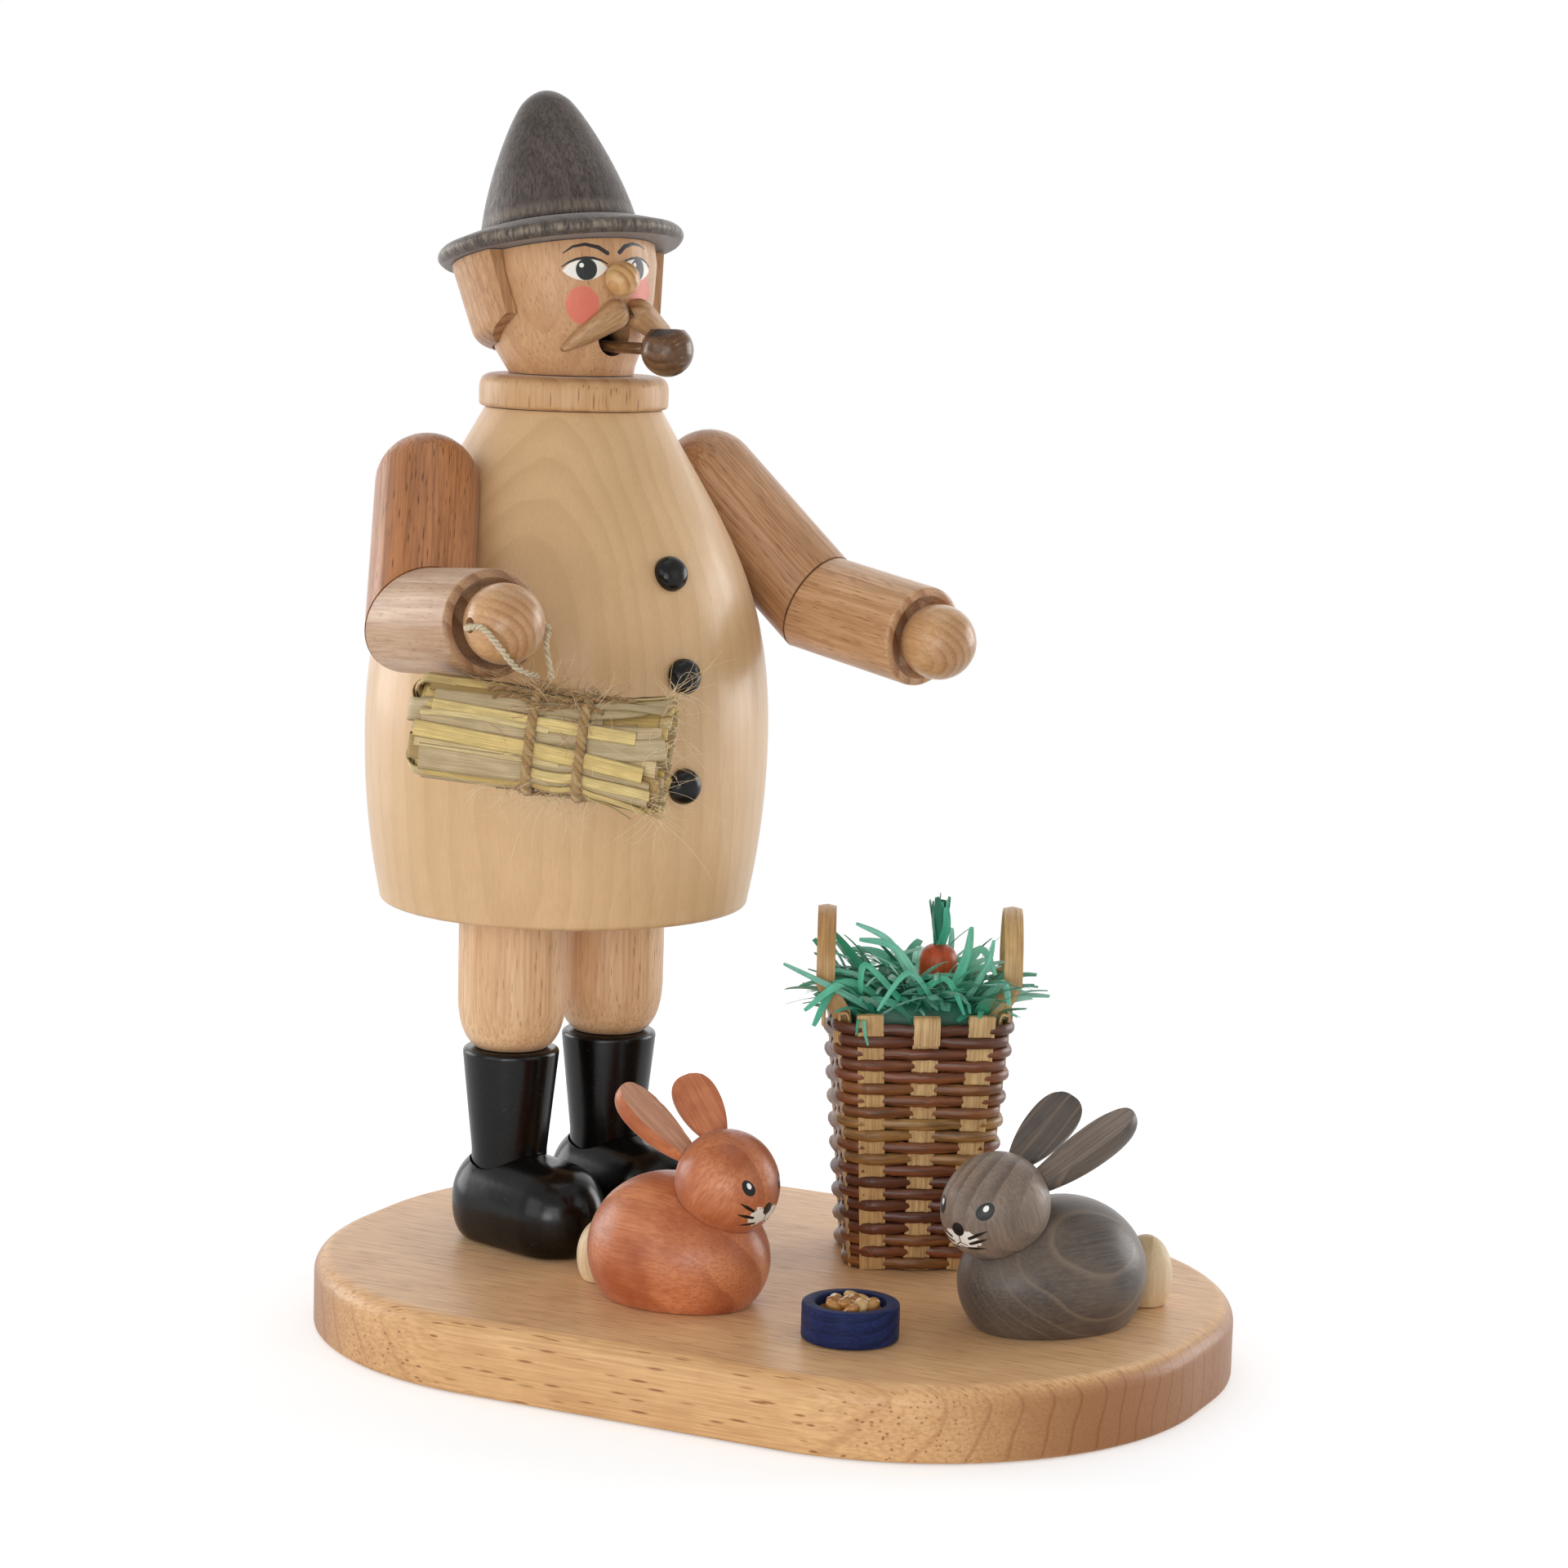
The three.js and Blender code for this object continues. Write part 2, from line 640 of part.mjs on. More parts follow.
const CONE_PLATE_Z = SPIGOT_TOP_Z + GLUE_LINE;
const NAIL_Z = CONE_PLATE_Z + CONE_PLATE_THICKNESS + GLUE_LINE;
piece(feet, 'seat_disc', seatDisc(), BEECH).position.z = SEAT_Z + GLUE_LINE;
piece(feet, 'cone_plate', conePlate(), STEEL).position.z = CONE_PLATE_Z + GLUE_LINE;
piece(feet, 'plate_nail', plateNail(), STEEL).position.z = NAIL_Z + GLUE_LINE;

// Outer line of the coat from the hem to the neck
function coatOutline(grow) {
  const hemRound = rounded(
    [COAT_HEM_RADIUS - COAT_HEM_ROUND + grow, 0],
    [COAT_HEM_RADIUS + grow, 0],
    [COAT_HEM_RADIUS + grow, COAT_HEM_ROUND],
    CORNER_STEPS,
  );
  const skirt = rounded(
    [COAT_HEM_RADIUS + grow, COAT_HEM_ROUND],
    [COAT_BELLY_RADIUS + grow, COAT_BELLY_HEIGHT / 2],
    [COAT_BELLY_RADIUS + grow, COAT_BELLY_HEIGHT],
  );
  const chest = along(new THREE.CubicBezierCurve(
    v2(COAT_BELLY_RADIUS + grow, COAT_BELLY_HEIGHT),
    v2(COAT_BELLY_RADIUS + grow, COAT_BELLY_HEIGHT + COAT_BELLY_PULL),
    v2(COAT_NECK_RADIUS + COAT_NECK_PULL_OUT + grow, COAT_HEIGHT - COAT_NECK_PULL_DOWN),
    v2(COAT_NECK_RADIUS + grow, COAT_HEIGHT),
  ), CHEST_STEPS);
  return [...hemRound, ...skirt.slice(1), ...chest.slice(1)];
}

// Coat radius at a height above its hem
function coatRadiusAt(height) {
  const outline = coatOutline(0);
  const upper = outline.findIndex(([, z]) => z >= height);
  const [r0, z0] = outline[upper - 1];
  const [r1, z1] = outline[upper];
  return THREE.MathUtils.mapLinear(height, z0, z1, r0, r1);
}

// How far the coat's surface leans back at a height, from upright
function coatLeanAt(height) {
  const step = 1;
  return Math.atan2(coatRadiusAt(height - step) - coatRadiusAt(height + step), 2 * step);
}

const SHOULDER_RADIUS = coatRadiusAt(SHOULDER_HEIGHT);

// Dowel that joins an arm to the coat, along the side direction
function shoulderDowel(side, grow) {
  const start = SHOULDER_RADIUS - SHOULDER_DOWEL_IN_COAT - grow;
  const end = SHOULDER_RADIUS + SHOULDER_DOWEL_IN_ARM + grow;
  const radius = SHOULDER_DOWEL_RADIUS + grow;
  const rod = new THREE.CylinderGeometry(radius, radius, end - start, ROUND_TINY);
  return weld(rod.rotateZ(Math.PI / 2).translate(side * (start + end) / 2, 0, SHOULDER_HEIGHT));
}

// Hollow coat: a recess for the seat's flange, the smoke chamber and the bore through the neck
function coat() {
  const recessRadius = SEAT_RADIUS + FIT_GAP;
  const recessTop = FLANGE_TOP_Z - COAT_Z + 2 * GLUE_LINE + FIT_GAP;
  const chamberTop = recessTop + CHAMBER_STRAIGHT;
  const shell = solidOf(turned([
    [recessRadius, 0],
    ...coatOutline(0),
    [SMOKE_BORE_RADIUS, COAT_HEIGHT],
    [SMOKE_BORE_RADIUS, chamberTop + CHAMBER_CONE],
    [CHAMBER_RADIUS, chamberTop],
    [CHAMBER_RADIUS, recessTop],
    [recessRadius, recessTop],
    [recessRadius, 0],
  ], ROUND_LARGE));
  const bores = [1, -1].map((side) => solidOf(shoulderDowel(side, FIT_GAP)));
  return geometryOf(shell.subtract(bores[0]).subtract(bores[1]));
}

const body = standing(smoker, KEEPER_X, KEEPER_Y, COAT_Z, BODY_FACING);
piece(body, 'coat_body', coat(), LINDEN);

// Domed button with a flat back, standing out along +Z
function button() {
  const dome = rounded([BUTTON_RADIUS, 0], [BUTTON_RADIUS, BUTTON_BULGE], [0, BUTTON_BULGE]);
  return turned([[0, 0], ...dome], ROUND_SMALL);
}

BUTTON_HEIGHTS.forEach((height, i) => {
  const lean = coatLeanAt(height);
  const outward = v3(0, -Math.cos(lean), Math.sin(lean));
  const seat = v3(0, -coatRadiusAt(height), height).addScaledVector(outward, FIT_GAP);
  piece(body, `button_${BUTTON_NAMES[i]}`, aimed(button(), outward, seat), BLACK_LACQUER);
});

// Collar ring between the coat and the head
function collar() {
  const edge = rounded(
    [COLLAR_RADIUS, COLLAR_HEIGHT - COLLAR_ROUND],
    [COLLAR_RADIUS, COLLAR_HEIGHT],
    [COLLAR_RADIUS - COLLAR_ROUND, COLLAR_HEIGHT],
  );
  return turned([
    [SMOKE_BORE_RADIUS, 0],
    [COLLAR_RADIUS - COLLAR_ROUND / 3, 0],
    [COLLAR_RADIUS, COLLAR_ROUND / 3],
    ...edge,
    [SMOKE_BORE_RADIUS, COLLAR_HEIGHT],
    [SMOKE_BORE_RADIUS, 0],
  ], ROUND_MEDIUM);
}

piece(body, 'collar', collar(), BEECH).position.z = COLLAR_Z - COAT_Z;

// Head, hair, face and hat share one axis that leans back from the collar
const neck = standing(body, 0, 0, COLLAR_TOP_Z - COAT_Z + GLUE_LINE, HEAD_FACING - BODY_FACING);
const headGroup = new THREE.Group();
headGroup.rotation.x = rad(-HEAD_TILT);
neck.add(headGroup);

// Outer line of the head, widened by a clearance for the pieces that fit round it
function headOutline(grow) {
  const cheek = along(new THREE.SplineCurve([
    v2(HEAD_CHIN_RADIUS + grow, 0),
    v2(HEAD_JAW_RADIUS + grow, HEAD_JAW_HEIGHT),
    v2(HEAD_BROW_RADIUS + grow, HEAD_HEIGHT - HEAD_BROW_STRAIGHT),
  ]), CHEEK_STEPS);
  const chin = [HEAD_CHIN_RADIUS - HEAD_CHIN_TUCK + grow, -HEAD_CHIN_DROP];
  return [chin, ...cheek, [HEAD_BROW_RADIUS + grow, HEAD_HEIGHT]];
}

// Plain solid of the head's outside, for cutting the pieces that sit on it
function headForm(grow) {
  const outline = headOutline(grow);
  return solidOf(turned([[0, outline[0][1]], ...outline, [0, outline.at(-1)[1]]], ROUND_MEDIUM));
}

// Head radius at a height
function headRadiusAt(height) {
  const outline = headOutline(0);
  const upper = outline.findIndex(([, z]) => z >= height);
  const [r0, z0] = outline[upper - 1];
  const [r1, z1] = outline[upper];
  return THREE.MathUtils.mapLinear(height, z0, z1, r0, r1);
}

// Head with a peg for the hat, the smoke bore from below and the mouth drilled into it
function head() {
  const low = -HEAD_CHIN_DROP;
  const block = solidOf(turned([
    [HEAD_BORE_RADIUS, low],
    ...headOutline(0),
    [HEAD_PEG_RADIUS, HEAD_HEIGHT],
    [HEAD_PEG_RADIUS, HEAD_HEIGHT + HEAD_PEG_LENGTH],
    [0, HEAD_HEIGHT + HEAD_PEG_LENGTH],
    [0, HEAD_BORE_TOP],
    [HEAD_BORE_RADIUS, HEAD_BORE_TOP - HEAD_BORE_RADIUS / 2],
    [HEAD_BORE_RADIUS, low],
  ], ROUND_MEDIUM));
  const mouthDepth = HEAD_BROW_RADIUS + FIT_GAP;
  const mouth = new THREE.CylinderGeometry(MOUTH_RADIUS, MOUTH_RADIUS, mouthDepth, ROUND_SMALL);
  mouth.translate(MOUTH_SIDE, -mouthDepth / 2, MOUTH_HEIGHT);
  const tilt = rad(HEAD_TILT);
  const below = halfSpace(v3(), v3(0, Math.sin(tilt), -Math.cos(tilt)));
  return geometryOf(block.subtract(solidOf(mouth)).subtract(below));
}

piece(headGroup, 'head', head(), BEECH);

// Hair: a turned cup round the back of the head, open at the face
function hair() {
  const top = HEAD_HEIGHT;
  const hem = rounded(
    [HEAD_CHIN_RADIUS, HAIR_HEM_HEIGHT],
    [HAIR_LOW_RADIUS - HAIR_HEM_TUCK, HAIR_HEM_HEIGHT],
    [HAIR_LOW_RADIUS, HAIR_LOW_HEIGHT],
  );
  const cup = solidOf(turned([[0, HAIR_HEM_HEIGHT], ...hem, [HAIR_TOP_RADIUS, top], [0, top]], ROUND_MEDIUM));
  const rise = HAIR_LOW_HEIGHT - HAIR_HEM_HEIGHT;
  const run = HAIR_FRONT - HAIR_NAPE;
  const face = halfSpace(v3(0, -HAIR_FRONT, 0), v3(0, -1, 0));
  const nape = halfSpace(v3(0, -HAIR_FRONT, HAIR_LOW_HEIGHT), v3(0, -rise, -run));
  return geometryOf(cup.subtract(headForm(FIT_GAP)).subtract(face).subtract(nape));
}

piece(headGroup, 'hair_band', hair(), BEECH_DARK);

// Hat with a flat brim, a shallow groove at the crown's foot and a blind hole for the head's peg
function hat() {
  const brimTop = BRIM_THICKNESS;
  const edge = BRIM_THICKNESS / 2;
  const foot = brimTop + BRIM_RISE;
  const crown = along(new THREE.CubicBezierCurve(
    v2(CROWN_RADIUS, foot + GROOVE_HEIGHT),
    v2(CROWN_RADIUS - CROWN_WALL_LEAN, foot + CROWN_WALL_PULL),
    v2(CROWN_TIP_RADIUS + CROWN_TIP_PULL / 2, foot + CROWN_HEIGHT - CROWN_TIP_PULL),
    v2(CROWN_TIP_RADIUS, foot + CROWN_HEIGHT - CROWN_TIP_RADIUS / 2),
  ), CHEEK_STEPS);
  const tip = rounded(
    [CROWN_TIP_RADIUS, foot + CROWN_HEIGHT - CROWN_TIP_RADIUS / 2],
    [CROWN_TIP_RADIUS / 2, foot + CROWN_HEIGHT],
    [0, foot + CROWN_HEIGHT],
  );
  const boreRadius = HEAD_PEG_RADIUS + FIT_GAP;
  const boreDepth = HEAD_PEG_LENGTH + SOCKET_DEPTH_SPARE;
  return turned([
    [0, boreDepth],
    [boreRadius, boreDepth],
    [boreRadius, 0],
    [BRIM_RADIUS - edge / 2, 0],
    [BRIM_RADIUS, edge],
    [BRIM_RADIUS - edge / 2, brimTop],
    [CROWN_RADIUS + GROOVE_WIDTH, foot],
    [CROWN_RADIUS - GROOVE_UNDERCUT, foot],
    ...crown,
    ...tip.slice(1),
  ], ROUND_LARGE);
}

piece(headGroup, 'hat', hat(), HAT_STAIN).position.z = HEAD_HEIGHT + GLUE_LINE;

// Nose ball on the face, widened by a clearance
function noseForm(grow) {
  const radius = NOSE_RADIUS + grow;
  const forward = headRadiusAt(NOSE_HEIGHT) + NOSE_STAND;
  return solidOf(ball(radius, radius, radius, ROUND_SMALL).translate(0, -forward, NOSE_HEIGHT));
}

piece(headGroup, 'nose', geometryOf(noseForm(0).subtract(headForm(FIT_GAP))), NOSE_WOOD);

// One half of the moustache: a tapered sliver that follows the cheek down to its tip
function moustache(side, { droop, sweep }) {
  const butt = rounded([0, 0], [MOUSTACHE_RADIUS, 0], [MOUSTACHE_RADIUS, MOUSTACHE_RADIUS], CORNER_STEPS);
  const tip = [MOUSTACHE_TIP_RADIUS, MOUSTACHE_LENGTH - MOUSTACHE_TIP_LENGTH];
  const sliver = turned([...butt, tip, [0, MOUSTACHE_LENGTH]], ROUND_TINY);
  const level = v3(side * Math.cos(rad(sweep)), Math.sin(rad(sweep)), 0);
  const direction = level.multiplyScalar(Math.cos(rad(droop))).setZ(-Math.sin(rad(droop)));
  const start = v3(
    MOUSTACHE_SIDE + side * MOUSTACHE_APART / 2,
    -headRadiusAt(MOUSTACHE_HEIGHT) - MOUSTACHE_STAND,
    MOUSTACHE_HEIGHT,
  );
  const middle = halfSpace(v3(MOUSTACHE_SIDE + side * FIT_GAP / 2, 0, 0), v3(-side, 0, 0));
  const solid = solidOf(aimed(sliver, direction, start)).subtract(headForm(FIT_GAP)).subtract(middle);
  return geometryOf(solid.subtract(noseForm(FIT_GAP)));
}

piece(headGroup, 'moustache_left', moustache(1, MOUSTACHE_LEFT), BEECH_DARK);
piece(headGroup, 'moustache_right', moustache(-1, MOUSTACHE_RIGHT), BEECH_DARK);

// Pipe: a ball bored from above on a stem that rests in the mouth
const MOUTH_FRONT = headRadiusAt(MOUTH_HEIGHT);
const PIPE_BALL_PLACE = v3(MOUTH_SIDE + PIPE_SIDE, -MOUTH_FRONT - PIPE_REACH, MOUTH_HEIGHT - PIPE_DROP);
const PIPE_MOUTH_HEIGHT = MOUTH_HEIGHT - MOUTH_RADIUS + PIPE_STEM_RADIUS + FIT_GAP;
const PIPE_MOUTH_PLACE = v3(MOUTH_SIDE, -MOUTH_FRONT, PIPE_MOUTH_HEIGHT);

function pipeBall() {
  const start = Math.acos(PIPE_BALL_RIM / PIPE_BALL_RADIUS);
  const skin = evenly(CHEEK_STEPS).map((share) => {
    const angle = Math.PI - (Math.PI - start) * share;
    return [PIPE_BALL_RADIUS * Math.sin(angle), PIPE_BALL_RADIUS * Math.cos(angle)];
  });
  const floor = PIPE_BALL_RIM - PIPE_BORE_DEPTH;
  const bore = [[PIPE_BORE_RADIUS, PIPE_BALL_RIM], [PIPE_BORE_RADIUS, floor], [0, floor]];
  return turned([...skin, ...bore], ROUND_SMALL);
}

function pipeStem() {
  const direction = v3().subVectors(PIPE_BALL_PLACE, PIPE_MOUTH_PLACE).normalize();
  const reach = PIPE_BALL_PLACE.distanceTo(PIPE_MOUTH_PLACE) - PIPE_BALL_RADIUS - FIT_GAP;
  const start = PIPE_MOUTH_PLACE.clone().addScaledVector(direction, -PIPE_STEM_INSIDE);
  const rod = turned([
    [0, 0],
    [PIPE_STEM_RADIUS, 0],
    [PIPE_STEM_RADIUS, reach + PIPE_STEM_INSIDE],
    [0, reach + PIPE_STEM_INSIDE],
  ], ROUND_TINY);
  return aimed(rod, direction, start);
}

const pipe = new THREE.Group();
pipe.position.copy(PIPE_BALL_PLACE);
pipe.rotation.x = rad(HEAD_TILT);
headGroup.add(pipe);
piece(pipe, 'pipe_bowl', pipeBall(), PIPE_WOOD);
piece(headGroup, 'pipe_stem', pipeStem(), PIPE_WOOD);

// Arm joints in the body's frame: shoulder, elbow, wrist and hand
function armPoints(side) {
  const shoulder = v3(side * (SHOULDER_RADIUS + SHOULDER_OUT), 0, SHOULDER_HEIGHT);
  const elbow = shoulder.clone().add(v3(side * UPPER_ARM_OUT, -UPPER_ARM_FORWARD, -UPPER_ARM_DROP));
  const rise = side > 0 ? FOREARM_RISE_LEFT : FOREARM_RISE_RIGHT;
  const wrist = elbow.clone().add(v3(side * FOREARM_OUT, -FOREARM_FORWARD, rise));
  const upperWay = v3().subVectors(elbow, shoulder).normalize();
  const foreWay = v3().subVectors(wrist, elbow).normalize();
  const hand = wrist.clone().addScaledVector(foreWay, HAND_REACH);
  const mitre = v3().addVectors(upperWay, foreWay).normalize();
  return { shoulder, elbow, wrist, hand, upperWay, foreWay, mitre };
}

// Coat's outside, grown by the fit gap, for the hollow in the arm that lies against it
const coatForm = solidOf(turned([[0, 0], ...coatOutline(FIT_GAP), [0, COAT_HEIGHT]], ROUND_LARGE));

// Upper arm: domed at the shoulder, hollowed to the coat and mitred at the elbow
function upperArm(side) {
  const { shoulder, elbow, upperWay, mitre } = armPoints(side);
  const length = shoulder.distanceTo(elbow);
  const radius = UPPER_ARM_RADIUS;
  const dome = rounded([0, -radius], [radius, -radius], [radius, 0]);
  const rod = turned([...dome, [radius, length + radius], [0, length + radius]], ROUND_MEDIUM);
  const cut = halfSpace(elbow.clone().addScaledVector(mitre, -FIT_GAP / 2), mitre);
  const dowelBore = solidOf(shoulderDowel(side, FIT_GAP));
  const solid = solidOf(aimed(rod, upperWay, shoulder)).subtract(cut);
  return geometryOf(solid.subtract(coatForm).subtract(dowelBore));
}

// Forearm: mitred at the elbow, with a chamfered cuff hollowed for the hand
function forearm(side) {
  const { elbow, wrist, foreWay, mitre } = armPoints(side);
  const length = elbow.distanceTo(wrist);
  const rod = turned([
    [0, -FOREARM_RADIUS],
    [FOREARM_RADIUS, -FOREARM_RADIUS],
    [FOREARM_RADIUS, length - CUFF_CHAMFER],
    [FOREARM_RADIUS - CUFF_CHAMFER, length],
    [CUFF_DISH_RADIUS, length],
    [CUFF_DISH_FLOOR_RADIUS, length - CUFF_DISH_DEPTH],
    [0, length - CUFF_DISH_DEPTH],
  ], ROUND_MEDIUM);
  const cut = halfSpace(elbow.clone().addScaledVector(mitre, FIT_GAP / 2), mitre.clone().negate());
  return geometryOf(solidOf(aimed(rod, foreWay, elbow)).subtract(cut).subtract(coatForm));
}

// Hand ball, flat where it is glued into the cuff; the right one is bored for the twine
function hand(side) {
  const { wrist, hand: centre, foreWay } = armPoints(side);
  const floor = wrist.clone().addScaledVector(foreWay, FIT_GAP - CUFF_DISH_DEPTH);
  const cut = halfSpace(floor, foreWay.clone().negate());
  const knob = solidOf(ball(HAND_RADIUS, HAND_RADIUS, HAND_RADIUS, ROUND_MEDIUM).translate(...centre.toArray()));
  const flat = knob.subtract(cut);
  if (side > 0) return geometryOf(flat);
  const bore = new THREE.CylinderGeometry(HAND_BORE_RADIUS, HAND_BORE_RADIUS, 3 * HAND_RADIUS, ROUND_TINY);
  return geometryOf(flat.subtract(solidOf(bore.rotateZ(Math.PI / 2).translate(...centre.toArray()))));
}

for (const [name, side] of [['left', 1], ['right', -1]]) {
  piece(body, `upper_arm_${name}`, upperArm(side), BEECH_DARK);
  piece(body, `forearm_${name}`, forearm(side), BEECH);
  piece(body, `hand_${name}`, hand(side), BEECH_DARK);
  piece(body, `shoulder_dowel_${name}`, shoulderDowel(side, 0), BEECH);
}

// Straw bundle with its two ties, in a group under the right hand
const rightHand = armPoints(-1).hand;
const bundlePlace = rightHand.clone().add(v3(BUNDLE_SIDE, -BUNDLE_FORWARD, -BUNDLE_BELOW));
const bundleGroup = standing(body, bundlePlace.x, bundlePlace.y, bundlePlace.z, BUNDLE_TURN - 90);
const bundleTilt = new THREE.Group();
bundleTilt.rotation.y = rad(BUNDLE_DIP);
bundleGroup.add(bundleTilt);

// Bundle along X with an oval section, drawn in under each tie
function bundle() {
  const half = BUNDLE_LENGTH / 2;
  const [first, second] = TIE_PLACES;
  const stations = [
    -half,
    (first - TIE_DRAW_IN - half) / 2,
    ...TIE_PLACES.flatMap((tie) => [tie - TIE_DRAW_IN, tie, tie + TIE_DRAW_IN]),
    (second + TIE_DRAW_IN + half) / 2,
    half,
  ];
  return loft(stations.map((x) => {
    const inset = TIE_PLACES.includes(x) ? BUNDLE_WAIST : 0;
    const halfY = BUNDLE_THICKNESS / 2 - inset;
    const halfZ = BUNDLE_HEIGHT / 2 - inset;
    return roundedRing(halfY, halfZ, BUNDLE_CORNER - inset, 0).map((p) => v3(x, p.x, p.y));
  }));
}

// Jute tie round the bundle
function tie(x) {
  const clear = FIT_GAP + TIE_RADIUS;
  const halfY = BUNDLE_THICKNESS / 2 - BUNDLE_WAIST + clear;
  const halfZ = BUNDLE_HEIGHT / 2 - BUNDLE_WAIST + clear;
  const path = roundedRing(halfY, halfZ, BUNDLE_CORNER - BUNDLE_WAIST + clear, 0);
  const sides = ROUND_CORD;
  const ringAt = (p) => {
    const outward = v3(p.x, p.y, 0).normalize();
    return Array.from({ length: sides }, (_, i) => {
      const angle = 2 * Math.PI * i / sides;
      const reach = TIE_RADIUS * Math.cos(angle);
      return v3(x + TIE_RADIUS * Math.sin(angle), p.x + outward.x * reach, p.y + outward.y * reach);
    });
  };
  const corners = path.map(ringAt).flat();
  const index = [];
  path.forEach((_, i) => {
    const low = i * sides;
    const high = ((i + 1) % path.length) * sides;
    for (let j = 0; j < sides; j += 1) {
      const k = (j + 1) % sides;
      index.push(low + j, low + k, high + k, low + j, high + k, high + j);
    }
  });
  const geometry = new THREE.BufferGeometry().setFromPoints(corners);
  geometry.setIndex(index);
  return weld(geometry);
}

piece(bundleTilt, 'straw_bundle', bundle(), STRAW);
TIE_PLACES.forEach((x, i) => piece(bundleTilt, `bundle_tie_${TIE_NAMES[i]}`, tie(x), JUTE));

// Twine from the left tie up through the hand's bore and back down to the tie
function hangerTwine() {
  const top = BUNDLE_HEIGHT / 2 - BUNDLE_WAIST + 2 * TIE_RADIUS + 2 * FIT_GAP + TWINE_RADIUS;
  const turn = new THREE.Euler(0, rad(BUNDLE_DIP), rad(BUNDLE_TURN - 90), 'ZYX');
  const onTie = (dx) => v3(TIE_PLACES[0] + dx, 0, top).applyEuler(turn).add(bundlePlace);
  const roundHand = HAND_RADIUS + TWINE_RADIUS + TWINE_STAND;
  const beside = (x, y, z) => v3(x, y, z).setLength(roundHand).add(rightHand);
  const inBore = (share) => v3(share * HAND_RADIUS, 0, 0).add(rightHand);
  return tube([
    onTie(-TWINE_KNOT_WIDTH / 2),
    beside(-0.4, -4, -5.8),
    beside(-4.2, -5.1, -2.4),
    beside(-6.3, -3.8, 0),
    beside(-9, -1.5, -0.3),
    inBore(-0.8),
    inBore(0),
    inBore(0.8),
    beside(9, -1, -1),
    beside(4, -1, -2),
    onTie(TWINE_KNOT_WIDTH),
  ], TWINE_RADIUS, TWINE_STEPS, ROUND_CORD);
}

piece(body, 'hanger_twine', hangerTwine(), TWINE);

// Egg of revolution along +Z, with its own length on each side of its widest ring
function egg(radius, front, back) {
  const profile = evenly(ROUND_MEDIUM / 2).map((share) => {
    const angle = Math.PI * (1 - share);
    const reach = Math.cos(angle) > 0 ? front : back;
    return [radius * Math.sin(angle), reach * Math.cos(angle)];
  });
  return turned(profile, ROUND_MEDIUM);
}

// Rabbit head, nose forward and down, in the rabbit's frame
function rabbitHead(rabbit, grow) {
  const nod = rad(rabbit.headNod);
  const ahead = v3(0, -Math.cos(nod), -Math.sin(nod));
  const form = egg(RABBIT_HEAD_RADIUS + grow, rabbit.headLength + grow, RABBIT_HEAD_BACK + grow);
  return aimed(form, ahead, v3(0, -rabbit.headForward, rabbit.headHeight));
}

// Rabbit body turned about its length and cut flat underneath
function rabbitBodyForm(rabbit, grow) {
  const form = egg(RABBIT_GIRTH_RADIUS + grow, rabbit.chest + grow, rabbit.rump + grow);
  const lying = solidOf(aimed(form, v3(0, -1, 0), v3(0, RABBIT_HAUNCH, RABBIT_AXIS_HEIGHT)));
  return lying.subtract(halfSpace(v3(0, 0, -grow), v3(0, 0, -1)));
}

function rabbitBody(rabbit) {
  return geometryOf(rabbitBodyForm(rabbit, 0).subtract(solidOf(rabbitHead(rabbit, FIT_GAP))));
}

// Ear: a round-ended spindle with a flat face to the front, rooted on the head
function rabbitEar(rabbit, { root, tip, flat }) {
  const headCentre = v3(0, -rabbit.headForward, rabbit.headHeight);
  const rootPlace = v3(...root).add(headCentre);
  const tipPlace = v3(...tip).add(headCentre);
  const way = v3().subVectors(tipPlace, rootPlace).normalize();
  const start = rootPlace.clone().addScaledVector(way, -RABBIT_EAR_SUNK);
  const length = start.distanceTo(tipPlace);
  const widest = RABBIT_EAR_WIDEST * length;
  const stem = rounded(
    [RABBIT_EAR_ROOT_RADIUS, 0],
    [RABBIT_EAR_RADIUS, RABBIT_EAR_SWELL * length],
    [RABBIT_EAR_RADIUS, widest],
    CORNER_STEPS,
  );
  const end = rounded([RABBIT_EAR_RADIUS, widest], [RABBIT_EAR_RADIUS, length], [0, length]);
  const spindle = solidOf(aimed(turned([[0, 0], ...stem, ...end.slice(1)], ROUND_TINY), way, start));
  const facing = v3(...flat).projectOnPlane(way).normalize();
  const shaving = halfSpace(start.clone().addScaledVector(facing, RABBIT_EAR_FLAT), facing);
  return geometryOf(spindle.subtract(shaving).subtract(solidOf(rabbitHead(rabbit, FIT_GAP))));
}

// Tail: an egg standing on the plate against the rump
function rabbitTail(rabbit) {
  const half = rabbit.tailHeight / 2;
  const form = ball(RABBIT_TAIL_RADIUS, RABBIT_TAIL_RADIUS, half, ROUND_SMALL);
  const standingEgg = solidOf(form.translate(0, rabbit.tailBack, half - RABBIT_TAIL_SUNK));
  const flat = standingEgg.subtract(halfSpace(v3(), v3(0, 0, -1)));
  return geometryOf(flat.subtract(rabbitBodyForm(rabbit, FIT_GAP)));
}

